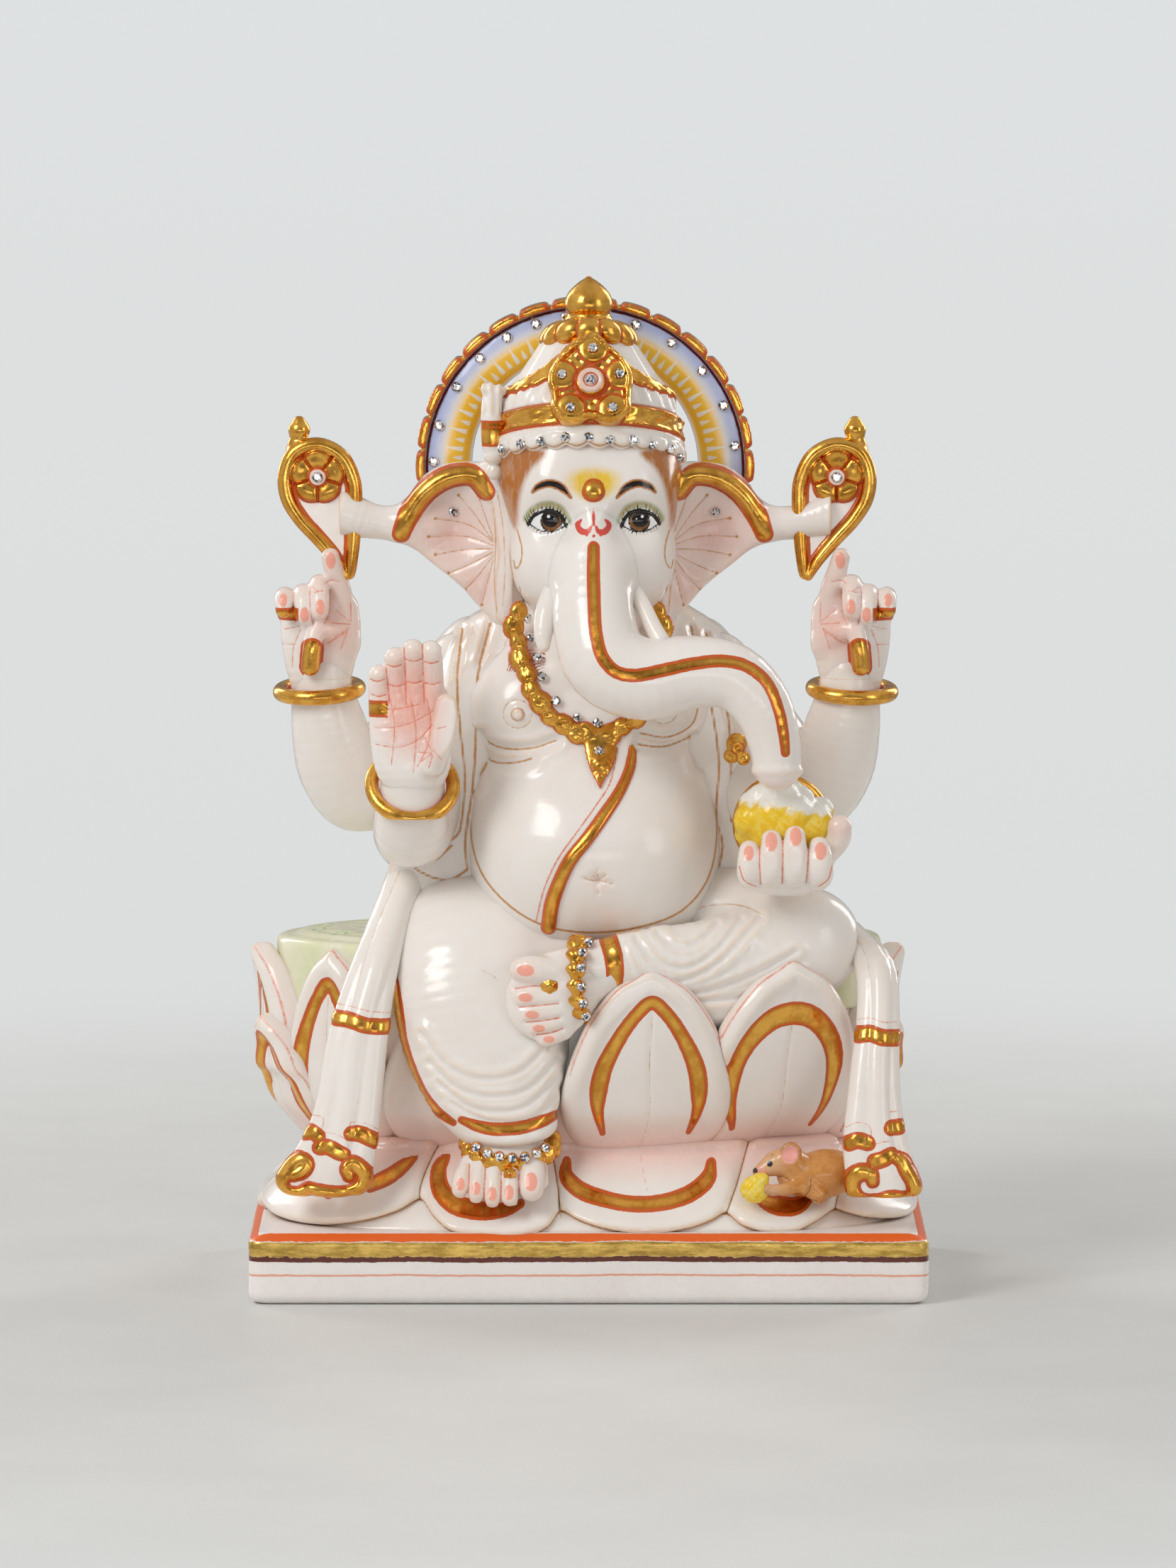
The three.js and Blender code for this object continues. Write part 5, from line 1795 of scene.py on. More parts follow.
sculpt("modak_sweets", ["modak_sweets"], sweets_field, sweets_look(), "sweet_paint", voxel=0.45)
armlet_bits = merge(
    0.8,
    ball((44.6, -24, 164.6), (3.2, 2.4, 3.4)),
    ball((43.2, -23, 161.0), (2.6, 2.2, 2.4)),
    ball((46.6, -25, 160.4), (2.2, 2.0, 2.2)),
    torus((45.0, -26.4, 163.6), 1.5, 0.7, (0, 1, 0)),
)
gold_piece("left_armlet", [], armlet_bits, voxel=0.35, box=([38, -30, 155], [52, -18, 171]))

# ---- torso, thread and necklace ----
TORSO_LEVELS = [
    (101, 30, 26, 2, -2), (108, 33.5, 31, 2, -5), (116, 36, 34.5, 2, -6.5), (126, 37.8, 36.5, 2, -8),
    (137, 38, 36.5, 2, -8), (148, 36.5, 33.5, 1.5, -6), (157, 34.5, 29.5, 1, -3.5),
    (165, 33.5, 26, 0.5, -2), (176, 34, 25, 0, -2), (186, 33, 24, 0, -2), (195, 29, 20, 0, -1),
    (203, 22, 17, 0, 1), (211, 16, 15, 0, 1),
]
CHEST_LINES = [
    [(-33.2, 166.4), (-27.2, 163.2), (-16.7, 163.4), (-9.6, 165.8)],
    [(-32.6, 162.0), (-29.1, 158.8), (-21.9, 159.0), (-17.0, 160.4)],
    [(15.6, 168.0), (24, 166.5), (31.3, 170.0), (33.4, 176.8)],
    [(15.0, 164.6), (22.7, 163.6), (31.0, 166.0)],
    [(30.4, 166.4), (32.0, 162), (33.4, 157.6)],
    [(-31.8, 167), (-33.6, 160), (-34.6, 152)],
]
BELLY_LINE = [
    (-30.5, 158), (-34.4, 150), (-35.4, 138.2), (-32.4, 126.6), (-24.5, 117.5), (-14, 111.4),
    (-0.9, 109.2), (14.8, 110.6), (28, 115.0), (35.6, 123.2), (38.6, 134.2), (38.0, 147.4),
    (34.0, 160.6),
]
NAVEL = (3.0, 125.6)
NIPPLES = [(-21.1, 173.8), (22.7, 175.2)]
chest_lines = any_of(*(stroke(line, 0.28, 4) for line in CHEST_LINES))
navel_lines = any_of(
    stroke([(-1.2, 126.4), (1.4, 125.6), (3.0, 125.5), (4.8, 125.4), (7.2, 124.6)], 0.16, 3),
    stroke([(2.9, 129.0), (3.0, 125.6), (3.1, 121.6)], 0.1, 3),
    stroke([(1.0, 127.6), (3.0, 126.0), (5.2, 127.2)], 0.08, 3),
)
torso_core = merge(
    6.0,
    stack(TORSO_LEVELS, 2.15),
    ball((-19.5, -11, 175), (16, 15.5, 13)),
    ball((20.5, -11, 176), (15, 15.5, 13)),
)


def torso_field(x, y, z):
    d = torso_core(x, y, z)
    fold = groove(chest_lines, 0.9, 1.5)(x, z) + 0.7 * bell(chest_lines(x, z) - 2.6, 1.6)
    fold = fold + groove(navel_lines, 0.5, 0.5)(x, z) - 1.6 * bell(np.hypot(x - NAVEL[0], z - NAVEL[1]), 1.5)
    for u, v in NIPPLES:
        r = np.hypot(x - u, z - v)
        fold = fold + 1.1 * (1 - step(r, 1.4, 2.2)) - 0.25 * bell(r - 4.2, 0.4)
    return d - np.where(y < -5, fold, 0)




def ring_line(u, v, radius, half):
    return lambda x, z: np.abs(np.hypot(x - u, z - v) - radius) - half


nipple_rings = [ring_line(*at, *ring) for at in NIPPLES for ring in ((4.3, 0.14), (1.9, 0.16))]
thin_thread = stroke(
    [(8.8, 163.6), (6.6, 154), (2.6, 148), (-2.6, 141.0), (-8.8, 132.4), (-13, 123.1), (-15.6, 112.2)],
    0.22,
)
marble_piece(
    "torso",
    ["torso"],
    torso_field,
    {
        "rosy": lambda x, y, z: 0.10 * bell(np.hypot(x - NAVEL[0], z - NAVEL[1]), 7),
        "tan": front(any_of(chest_lines, navel_lines, stroke(BELLY_LINE, 0.34), *nipple_rings), -4),
        "vein": front(thin_thread, -10),
    },
    voxel=0.5,
    box=(room("torso")[0] - 6, room("torso")[1] + 4),
)
THREAD = [
    (13.9, 169.0, 1.5), (12.7, 158.8, 1.6), (9.6, 151.9, 1.7), (5.2, 145.6, 1.9), (-0.2, 138.3, 2.0),
    (-5.4, 131.7, 2.1), (-8.8, 124.5, 2.2), (-10.9, 117.9, 2.3), (-11.9, 110.4, 2.3),
]
thread_line = stroke(THREAD)


def thread_field(x, y, z):
    proud = 1.3 * np.sqrt(np.clip(1 - (thread_line(x, z) / 2.4 + 1) ** 2, 0, 1)) + 0.2
    on = torso_core(x, y, z)
    return np.maximum(np.maximum(smax(thread_line(x, z) - 0.1, on - proud, 0.7), -on - 1.6), y + 8)


thread_marks = {"gold": lambda x, y, z: thread_line(x, z) + 0.75}
thread_look = painted_marble(thread_marks)
sculpt(
    "sacred_thread",
    ["sacred_thread"],
    thread_field,
    thread_look,
    "gold_leaf",
    thread_marks,
    voxel=0.4,
    grow=5,
)

CHAIN = [
    (-19.8, 206.4), (-22.0, 201.0), (-21.2, 195), (-18.8, 186), (-14.8, 177.6), (-8.4, 171.0),
    (-1.6, 168.0), (3.4, 167.2), (9.0, 169.0), (13.8, 172.2), (18.5, 178.5), (21.0, 186.5), (22.2, 195),
    (21.4, 203), (20.2, 207),
]
CHAIN_STONES = [
    (-18.3, 202), (-17.2, 196.3), (-15.3, 190.6), (-13.8, 185.1), (-9.6, 178.0), (-3.1, 173.0),
    (2.8, 171.3), (21.2, 205.0), (17.5, 185),
]
NECK = merge(
    6.0,
    torso_core,
    limb(
        [(-24, -12, 207, 9), (-20, -14, 190, 8), (0, -16, 180, 9), (20, -14, 190, 8), (24, -12, 207, 9)],
        reach=20,
    ),
)


def chain_links(points, size, spacing):
    """Leaves set nose to tail along a line on the chest: (x, z, along x, along z, half width)."""
    s = smooth([(p[0], p[1], 0) for p in points], 12)[:, :2]
    length = np.r_[0, np.cumsum(np.linalg.norm(np.diff(s, axis=0), axis=1))]
    links = []
    for k, at in enumerate(np.arange(spacing / 2, length[-1], spacing)):
        x, z = np.interp(at, length, s[:, 0]), np.interp(at, length, s[:, 1])
        x1, z1 = np.interp(at + 0.5, length, s[:, 0]), np.interp(at + 0.5, length, s[:, 1])
        t = np.array([x1 - x, z1 - z]) / max(math.hypot(x1 - x, z1 - z), 1e-9)
        links.append((x, z, *t, size * (1 + 0.12 * math.sin(2.4 * k)), 0.35 * (-1) ** k))
    return links


def chain_relief(links):
    """Height of the leaves over the chest."""

    def height(x, z):
        best = np.full(np.broadcast(x, z).shape, -1.0)
        for cx, cz, tx, tz, r, lean in links:
            u = (x - cx) * tx + (z - cz) * tz
            v = -(x - cx) * tz + (z - cz) * tx - lean
            q = (u / (1.15 * r)) ** 2 + (v / r) ** 2
            vein = 0.25 * bell(v, 0.35) + 0.2 * bell(np.abs(v) - 0.45 * u - 0.9, 0.3)
            best = np.maximum(best, 2.2 * np.sqrt(np.maximum(1 - q, 0)) - vein - (q > 1))
        return best

    return height


necklace_links = chain_links(CHAIN, 3.2, 4.8)
necklace_height = chain_relief(necklace_links)
PENDANT = [
    (-3.8, 170.6), (-1.6, 167.6), (-1.0, 163.4), (0.4, 158.4), (2.4, 154.6), (3.6, 152.6), (5.0, 155.0),
    (7.2, 158.2), (8.6, 162.6), (8.4, 167.2), (11.2, 170.6), (7.0, 171.6), (3.4, 170.2), (-0.4, 171.8),
]
pendant_edge = region(PENDANT)


def necklace_field(x, y, z):
    on = NECK(x, y, z)
    pendant = pendant_edge(x, z)
    lift = np.where(pendant < 0, 1.0 + 0.9 * np.sqrt(np.clip(-pendant / 2.6, 0, 1)), -1)
    lift = lift - 0.5 * bell(np.hypot(x - 3.4, z - 163.2), 1.9) * (pendant < 0)
    lobes = 0.4 * np.cos(1.9 * (z - 163.2)) * np.cos(1.6 * (x - 3.4)) * (pendant < -0.6) * (z < 161)
    lift = lift + lobes
    height = np.maximum(necklace_height(x, z), lift)
    flap = np.maximum(height, cord_height(x, z))
    return np.maximum(np.maximum((on - flap) * 0.75, -on - 1.2), y + 4)


chain_cord = stroke([(p[0], p[1]) for p in CHAIN], 1.5)


def cord_height(x, z):
    return np.where(chain_cord(x, z) < 0, 0.7, -1.0)


necklace_box = (room("necklace")[0] - [5, 10, 5], room("necklace")[1] + [5, 4, 3])
gold_piece("necklace", ["necklace"], necklace_field, NECK, voxel=0.42, box=necklace_box)
gems_on("necklace_stones", lambda x, y, z: NECK(x, y, z) - 0.4, CHAIN_STONES, 1.5)
gems_on("pendant_stone", necklace_field, [(3.4, 163.2)], 1.6)

# ---- shawl ----
SHAWL_SPAN = [
    (-52, -2, 136, 15, 13), (-49, 2, 150, 15, 13.5), (-44, 5, 168, 15.5, 13), (-35, 8, 184, 16, 13),
    (-20, 11, 194, 17, 13), (0, 13, 198, 17, 13), (20, 11, 194, 17, 13), (35, 8, 184, 16, 13),
    (44, 5, 168, 15.5, 13), (49, 2, 150, 15, 13.5), (52, 0, 140, 15, 13),
]
FRONT_FOLDS = [
    [(-29.5, 199), (-33.2, 184), (-33.8, 164), (-34.8, 150), (-37, 134), (-36.4, 125.5)],
    [
        (-37.9, 197), (-39.4, 183.5), (-38.5, 168.7), (-37.1, 154), (-37.9, 142), (-39.4, 136),
        (-46, 132.5), (-52, 131),
    ],
    [(-36.4, 125.5), (-42, 122.4), (-50, 124.6), (-54, 128)],
    [(-41, 133), (-47, 128.2), (-54, 130.2)],
    [(31, 198), (35, 184), (38, 170), (39.4, 157), (38.6, 141), (40.6, 133), (38.4, 122.6)],
    [(35.5, 196), (40.0, 182), (42.6, 168), (43, 154), (43.2, 140)],
]
front_folds = any_of(*(stroke(line, 0.34, 4) for line in FRONT_FOLDS))
LAP_RIGHT = [
    (-44, -4, 142, 9, 11), (-47, -11, 130, 10, 12), (-52, -18, 121, 9.5, 11), (-57, -24, 113, 8, 9),
    (-61, -28, 106, 6, 7),
]
# The cloth that closes the hollows between the arms and the belly.
HOLLOW_RIGHT = [
    (-35, -6, 188, 7), (-38, -11, 174, 7), (-40, -13.5, 158, 7.5), (-40.5, -15, 144, 8),
    (-41, -20, 132, 9), (-43, -23, 124, 8),
]
HOLLOW_LEFT = [
    (34.5, -4, 188, 7), (37.5, -8, 174, 7), (41, -11, 156, 7.5), (43, -12, 142, 8), (43, -14, 130, 8),
]
LAP_LEFT = [
    (42, 0, 146, 8, 10), (46, -4, 132, 9, 10), (54, -6, 121, 10, 9), (66, -8, 116, 9, 8),
    (76, -12, 111, 6, 6),
]
shawl_core = merge(
    6.0,
    limb(SHAWL_SPAN, side=(0, 1, 0), reach=18),
    ball((0, 17, 150), (46, 16, 50)),
    ball((0, 15, 118), (44, 15, 24)),
    limb(LAP_RIGHT, reach=16),
    limb(HOLLOW_RIGHT, reach=12),
    limb(HOLLOW_LEFT, reach=12),
    limb(LAP_LEFT, reach=16),
)

draped = cell(merge(7.0, shawl_core, torso_core), shawl_core, torso_core, 6.0)


def shawl_field(x, y, z):
    d = draped(x, y, z)
    folds = 0.45 * bell(front_folds(x, z) - 1.5, 1.4) + groove(front_folds, 0.7, 0.7)(x, z)
    fan = np.arctan2(x, 235 - z) * 26
    pleats = 0.9 * np.cos(fan * 0.95) + 0.45 * np.cos(fan * 2.1 + 0.06 * z)
    behind = pleats * step(y, 8, 20) * (1 - step(z, 185, 205))
    return d - np.where(y < 6, folds, 0) - behind


marble_piece(
    "shawl",
    ["shawl"],
    shawl_field,
    {
        "rosy": lambda x, y, z: 0.08 * step(y, 10, 30),
        "tan": lambda x, y, z: np.where(y < 4, front_folds(x, z) - 0.06, FAR),
    },
    voxel=0.75,
)

# ---- legs ----
RIGHT_LEG = [
    (-22, 4, 111, 20, 14), (-33, -14, 108.5, 24, 15), (-33.5, -25, 101, 25.6, 15),
    (-31.5, -32, 90, 27.2, 14.5), (-30.5, -36.5, 77, 25.4, 13.5), (-28.5, -40, 65, 21.2, 12),
    (-25.5, -42, 57, 17, 10.4), (-23.8, -43, 51.8, 13.8, 9.2),
]
RIGHT_FOLDS = [
    [(-50, 80), (-42, 70.5), (-32, 66.8), (-20, 69), (-9, 80)],
    [(-47.5, 71.5), (-40, 64.6), (-30, 61.6), (-18, 63.6), (-8.8, 72.4)],
    [(-44.5, 65.2), (-36, 58.8), (-27, 57.0), (-18, 58.8), (-9.4, 66.2)],
    [(-40.6, 59.4), (-32, 54.8), (-24, 53.8), (-16, 55.0), (-10, 60.0)],
]
SHIN_GOLD = [
    (-58.9, 98.2, 0.3), (-58.1, 92, 1.1), (-57.3, 84, 1.6), (-56.4, 77, 1.7), (-54.0, 69.5, 1.7),
    (-49.6, 60.9, 1.4), (-45.0, 56.4, 0.9), (-40.4, 53.4, 0.4),
]
CUFF_GOLD = [
    (-37.6, 54.4, 0.5), (-33, 52.8, 1.0), (-27.2, 52.0, 1.1), (-19.3, 52.6, 1.1), (-13, 54.2, 1.0),
    (-9.8, 55.2, 0.7),
]
THIGH_CREASE = [(-31.6, 98.6), (-28.6, 97.2), (-26.4, 95.4)]


def folded(base, folds, limit, height=1.0, width=1.7):
    """Cloth drawn into soft rolls along each line, with a crease under each roll."""
    lines = any_of(*(stroke(f, 0.2, 4) for f in folds))

    def field(x, y, z):
        roll = height * bell(lines(x, z) - 1.6, width) - 0.35 * bell(lines(x, z), 0.8)
        return base(x, y, z) - np.where(y < limit, roll, 0)

    return field


right_leg_core = merge(
    3.0,
    limb(RIGHT_LEG, reach=20),
    torus((-23.6, -43, 52.2), 12.6, 1.7, (0, -0.3, 1), 0.8),
    ball((-9, -23, 101), (15, 14, 9)),
)
marble_piece(
    "right_leg",
    ["right_leg"],
    folded(right_leg_core, RIGHT_FOLDS, -20, 0.9, 1.9),
    {
        "tan": front(
            any_of(stroke(THIGH_CREASE, 0.1), stroke([(-57.9, 119), (-58.4, 112), (-59.6, 104)], 0.12)),
            -20,
        ),
        "gold": front(any_of(stroke(SHIN_GOLD), stroke(CUFF_GOLD)), -8),
    },
    voxel=0.55,
    grow=5,
)
LEFT_THIGH = [
    (16, 4, 111, 19, 17), (34, -6, 111.5, 18, 16.6), (52, -15, 108.5, 16.5, 15.8),
    (65, -22, 105, 15.5, 15.8),
]
LEFT_SHIN = [
    (66.5, -21, 103.6, 14.5, 14.6), (52, -29, 101.4, 13.5, 13.6), (36, -35.5, 100.4, 11.5, 12.4),
    (21, -40, 100.6, 9.6, 10.2), (10, -43.5, 100.6, 8.2, 8.6), (3, -45.5, 100.2, 7.4, 7.8),
]
LEFT_FOLDS = [
    [(9.8, 107.6), (13.5, 100), (22, 95.4), (36, 99), (52, 113.6)],
    [(14.6, 108.6), (20.0, 102.4), (29, 99.6), (38, 104.4), (46, 113)],
    [(21, 109.8), (27, 106), (33, 107), (39, 112)],
    [(22, 90.8), (36, 92.6), (50, 97.6), (62, 103.6)],
    [(28, 88.8), (46, 90.6), (64, 97.2)],
]
LAP_LINE = [(-8.8, 109.8), (2, 109.4), (14.8, 110.6), (26.7, 113.8), (34, 114.8)]
LAP_CREASE = [(31, 114.6), (38, 116.2), (46, 116.4), (52.6, 114.4)]
ANKLE_BAND = [(5.6, 109.6, 1.9), (7.4, 104.5, 2.0), (8.0, 100.0, 1.9), (8.0, 95.6, 1.6), (7.6, 90.4, 1.1)]
left_leg_core = merge(
    5.0,
    limb(LEFT_THIGH, side=(0, 1, 0), reach=20),
    limb(LEFT_SHIN, side=(0, 1, 0), reach=20),
    ball((38, -31, 88), (16, 12, 10)),
    ball((6, -33, 85), (14, 11, 12)),
)
marble_piece(
    "left_leg",
    ["left_leg"],
    folded(left_leg_core, LEFT_FOLDS, -18, 0.8, 1.7),
    {
        "tan": front(any_of(stroke(LAP_LINE, 0.14), stroke(LAP_CREASE, 0.12)), 0),
        "gold": front(stroke(ANKLE_BAND), -38),
    },
    voxel=0.55,
    grow=5,
)

# ---- feet and anklets ----
RIGHT_SOLE = [(-24, -40, 49, 10.5, 9), (-24.6, -46, 42, 12.6, 7), (-25.4, -50, 37, 13.8, 5.4)]
RIGHT_TOES = [
    [(-35.6, -48, 40, 3.0), (-37.4, -52.6, 37.0, 3.0), (-38.0, -55.0, 34.2, 2.7)],
    [(-31.6, -49, 40, 3.0), (-33.0, -54.0, 36.4, 3.1), (-33.3, -56.4, 33.0, 2.8)],
    [(-27.2, -49.6, 40, 3.0), (-28.2, -54.8, 35.8, 3.1), (-28.5, -57.0, 31.8, 2.8)],
    [(-23.0, -49.6, 40, 3.0), (-23.2, -55.0, 36.0, 3.1), (-23.4, -57.2, 31.8, 2.9)],
    [(-17.0, -48.6, 41, 4.3), (-16.9, -54.0, 38.2, 4.2), (-16.9, -56.6, 34.6, 3.8)],
]
RIGHT_NAILS = [
    (-38.0, 36.0, 1.3, 1.9), (-33.3, 34.9, 1.35, 1.9), (-28.5, 33.4, 1.4, 2.1), (-23.5, 33.8, 1.4, 2.2),
    (-16.9, 37.0, 1.9, 2.7),
]
RIGHT_TOE_LINES = [
    [(-35.4, 41.2), (-35.6, 35.6), (-36.0, 31.4)], [(-30.5, 41.6), (-30.9, 35), (-31.0, 30.2)],
    [(-25.8, 41.8), (-25.9, 35), (-26.0, 29.6)], [(-20.6, 42), (-20.6, 35), (-20.4, 30.6)],
    [(-25.9, 31), (-24.6, 29.6), (-22.4, 29.4)],
]
LEFT_SOLE = [
    (5, -45, 99.6, 7.4, 8), (-3, -46.5, 96.5, 6.2, 10), (-9, -47.5, 92.5, 5.4, 12.2),
    (-12, -47.8, 90.2, 4.8, 12.6),
]
LEFT_TOES = [
    [(-9, -48.4, 98.4, 4.4), (-16.4, -50.4, 99.6, 4.3), (-19.8, -50.0, 99.6, 3.6)],
    [(-9, -49, 92.4, 2.9), (-17.4, -50.4, 91.8, 2.8), (-20.0, -50.0, 91.4, 2.5)],
    [(-8, -48.8, 87.4, 2.8), (-15.6, -50.2, 86.8, 2.7), (-18.4, -49.8, 86.2, 2.4)],
    [(-8, -48.4, 83.6, 2.6), (-13.4, -49.8, 82.6, 2.5), (-16.2, -49.4, 81.9, 2.3)],
    [(-7, -47.8, 80.6, 2.4), (-10.8, -49.2, 79.2, 2.4), (-13.0, -48.8, 78.4, 2.2)],
]
LEFT_NAILS_FOOT = [
    (-18.6, 99.8, 2.6, 1.8), (-18.6, 91.5, 2.2, 1.3), (-16.6, 86.3, 2.1, 1.25), (-14.6, 82.1, 1.9, 1.15),
    (-11.6, 78.8, 1.7, 1.1),
]
LEFT_TOE_LINES = [
    [(-9.6, 94.8), (-15, 95.0), (-21.6, 94.0)], [(-8.8, 89.8), (-14, 89.2), (-20.4, 88.6)],
    [(-8.4, 85.4), (-13, 84.6), (-18.4, 84.0)], [(-7.6, 82.0), (-11, 80.8), (-15.4, 80.2)],
]


TOE_BLEND = 1.0  # mm over which the toes run into the sole


def make_foot(name, sole, toes, nails, lines, toe_ring, limit):
    side = (1, 0, 0) if name == "right_foot" else (0, 1, 0)
    foot_core = with_fingers(limb(sole, side=side, reach=10), toes, TOE_BLEND, TOE_BLEND)
    line_marks = any_of(*(stroke(line, 0.2, 3) for line in lines))
    nail_marks = spots(nails, 0)

    def field(x, y, z):
        nail_step = 0.16 * (1 - step(nail_marks(x, z), -0.3, 0.2))
        relief = groove(line_marks, 0.5, 0.55)(x, z) - nail_step
        return foot_core(x, y, z) - np.where(y < limit, relief, 0)

    marks = {
        "rosy": lambda x, y, z: np.where(y < limit, 0.14 * bell(np.maximum(nail_marks(x, z), 0), 2.2), 0),
        "vein": front(line_marks, limit),
        "nail": front(nail_marks, limit),
    }
    marble_piece(name, [name], field, marks, voxel=0.42, grow=5)
    x, z, half = toe_ring
    at = toe_y(field, x, z)
    flower = merge(
        0.7,
        ball((x, at + 0.2, z), (half, 1.5, half)),
        ball((x, at - 0.7, z), (half * 0.5, 1.2, half * 0.5)),
    )

    def petals(u, y, w):
        angle = np.arctan2(u - x, w - z)
        return flower(u, y, w) - 0.10 * np.cos(6 * angle) * step(np.hypot(u - x, w - z), 0.6, 1.4)

    centre = np.array([x, at, z])
    gold_piece(f"{name}_toe_ring", [], petals, voxel=0.28, box=(centre - 5, centre + 5))


def toe_y(field, x, z):
    return float(surface_at(field, x, z)[0][1])


make_foot("right_foot", RIGHT_SOLE, RIGHT_TOES, RIGHT_NAILS, RIGHT_TOE_LINES, (-23.3, 39.0, 2.0), -44)
make_foot("left_foot", LEFT_SOLE, LEFT_TOES, LEFT_NAILS_FOOT, LEFT_TOE_LINES, (-11.4, 95.0, 2.8), -42)


def make_anklet(name, centre, radius, axis, squash, links, stones, stone_radius):
    """A chain of leaves round the ankle: a wire with lumps, and a stone on each leaf in front."""
    n = np.array(axis, float) / np.linalg.norm(axis)
    helper = np.array([0, 1.0, 0]) if abs(n[1]) < 0.9 else np.array([1.0, 0, 0])
    e1 = np.cross(n, helper)
    e1 /= np.linalg.norm(e1)
    e2 = np.cross(n, e1)

    def field(x, y, z):
        q = (x - centre[0], (y - centre[1]) / squash, z - centre[2])
        h = sum(n[i] * q[i] for i in range(3))
        a = sum(e1[i] * q[i] for i in range(3))
        b = sum(e2[i] * q[i] for i in range(3))
        r = np.sqrt(a * a + b * b)
        turn = np.arctan2(b, a) * links / 2
        lump = np.abs(np.cos(turn))
        tube = 1.2 + 0.95 * lump
        wave = 0.5 * np.sin(2 * turn)
        vein = 0.25 * bell(h - wave, 0.4) * lump
        return np.sqrt((r - radius) ** 2 + ((h - wave) / 1.25) ** 2) - tube + vein

    cups = [ball(
        surface_at(lambda *p: field(*p) - 1.2, *spot)[0] + [0, 1.0, 0],
        (1.6, 1.3, 1.6),
    ) for spot in stones]
    set_chain = merge(0.6, field, *cups)
    gold_piece(name, [name], set_chain, voxel=0.36, grow=4)
    gems_on(f"{name}_stones", set_chain, stones, stone_radius)


make_anklet(
    "right_anklet",
    (-23.3, -42.6, 46.0),
    13.5,
    (0, -0.35, 1),
    0.86,
    17,
    [(-33.4, 46.4), (-30.0, 45.0), (-26.4, 44.0), (-22.6, 43.7), (-18.8, 44.0), (-15.4, 44.8), (-12.8, 46.0)],
    1.4,
)
make_anklet(
    "left_anklet",
    (-2.2, -45.5, 96.2),
    11.6,
    (1, -0.12, 0.08),
    0.78,
    15,
    [(0.2, 108.0), (-1.6, 105.4), (-2.0, 101.0), (-2.0, 95.4), (-1.4, 90.2), (-0.6, 86.0)],
    1.4,
)

# ---- the ends of the shawl that hang over the lotus ----
RIGHT_PLEATS = [
    [
        (-54.0, -3, 129, 4.4, 4.0), (-63.8, -32, 105, 4.6, 4.2), (-70.2, -41, 88, 4.8, 4.2),
        (-73.4, -44.5, 76, 4.9, 4.2), (-76.4, -48, 60, 4.7, 4.0), (-79.6, -50, 50, 4.7, 3.8),
        (-83.2, -51, 41, 6.2, 3.6), (-86.2, -51.4, 35.2, 6.8, 3.4),
    ],
    [
        (-53.0, -6, 127, 4.2, 4.0), (-61.6, -35, 104, 4.4, 4.2), (-66.6, -43.5, 87, 4.6, 4.4),
        (-69.6, -46.5, 76, 4.8, 4.4), (-71.6, -50, 60, 4.8, 4.2), (-73.6, -52, 50, 5.0, 4.0),
        (-76.2, -53, 41, 6.4, 3.8), (-78.4, -53.4, 34.2, 6.6, 3.4),
    ],
    [
        (-51.5, -4, 126, 4.0, 4.0), (-59.8, -33, 103, 4.0, 4.2), (-63.2, -42, 86, 4.4, 4.4),
        (-64.6, -45.5, 76, 4.6, 4.4), (-66.2, -49, 60, 4.6, 4.2), (-67.4, -51, 50, 4.8, 4.0),
        (-69.2, -52, 42, 5.4, 3.8), (-70.6, -52.4, 36.0, 5.6, 3.4),
    ],
]
LEFT_PLEATS = [
    [
        (76.5, -12, 107, 4.0, 4.0), (84.0, -29, 99, 4.2, 4.0), (84.6, -38.5, 84, 4.2, 4.2),
        (83.2, -43, 72, 4.4, 4.2), (81.6, -47.5, 58, 4.4, 4.0), (81.0, -50.5, 48, 4.9, 3.8),
        (82.0, -52, 40, 5.4, 3.6), (83.0, -52.4, 34.4, 5.4, 3.2),
    ],
    [
        (78.0, -14, 107, 3.8, 4.0), (86.6, -31, 99, 3.8, 4.0), (87.6, -40, 84, 3.9, 4.2),
        (86.8, -44.5, 72, 4.0, 4.2), (86.6, -49, 58, 4.0, 4.0), (87.2, -51.6, 48, 4.4, 3.8),
        (88.8, -53, 40, 5.2, 3.6), (90.2, -53.2, 34.0, 5.6, 3.2),
    ],
    [
        (79.6, -12, 106, 3.4, 4.0), (88.8, -29, 98, 3.4, 3.8), (90.0, -38, 84, 3.4, 4.0),
        (89.8, -42.6, 72, 3.4, 4.0), (90.4, -47, 58, 3.4, 3.8), (91.6, -49.6, 48, 3.8, 3.6),
        (93.4, -51, 40, 4.6, 3.4), (95.2, -51.4, 34.6, 4.8, 3.0),
    ],
]
RIGHT_HEM = [
    (-88.0, 38.6, 1.6), (-85.2, 39.8, 1.9), (-83.9, 41.8, 1.7), (-85.8, 43.2, 1.8), (-88.6, 41.4, 2.0),
    (-91.2, 37.6, 2.0), (-92.0, 34.8, 2.0), (-89.8, 32.9, 2.0), (-86.1, 32.5, 1.9), (-83.2, 34.2, 1.7),
    (-80.4, 33.8, 1.7), (-75.5, 33.0, 1.8), (-70.4, 33.3, 1.9), (-67.2, 35.6, 2.0), (-66.4, 38.3, 2.1),
    (-68.2, 40.8, 2.0), (-70.2, 42.2, 1.7), (-72.0, 40.6, 1.4), (-71.2, 38.2, 1.3),
]
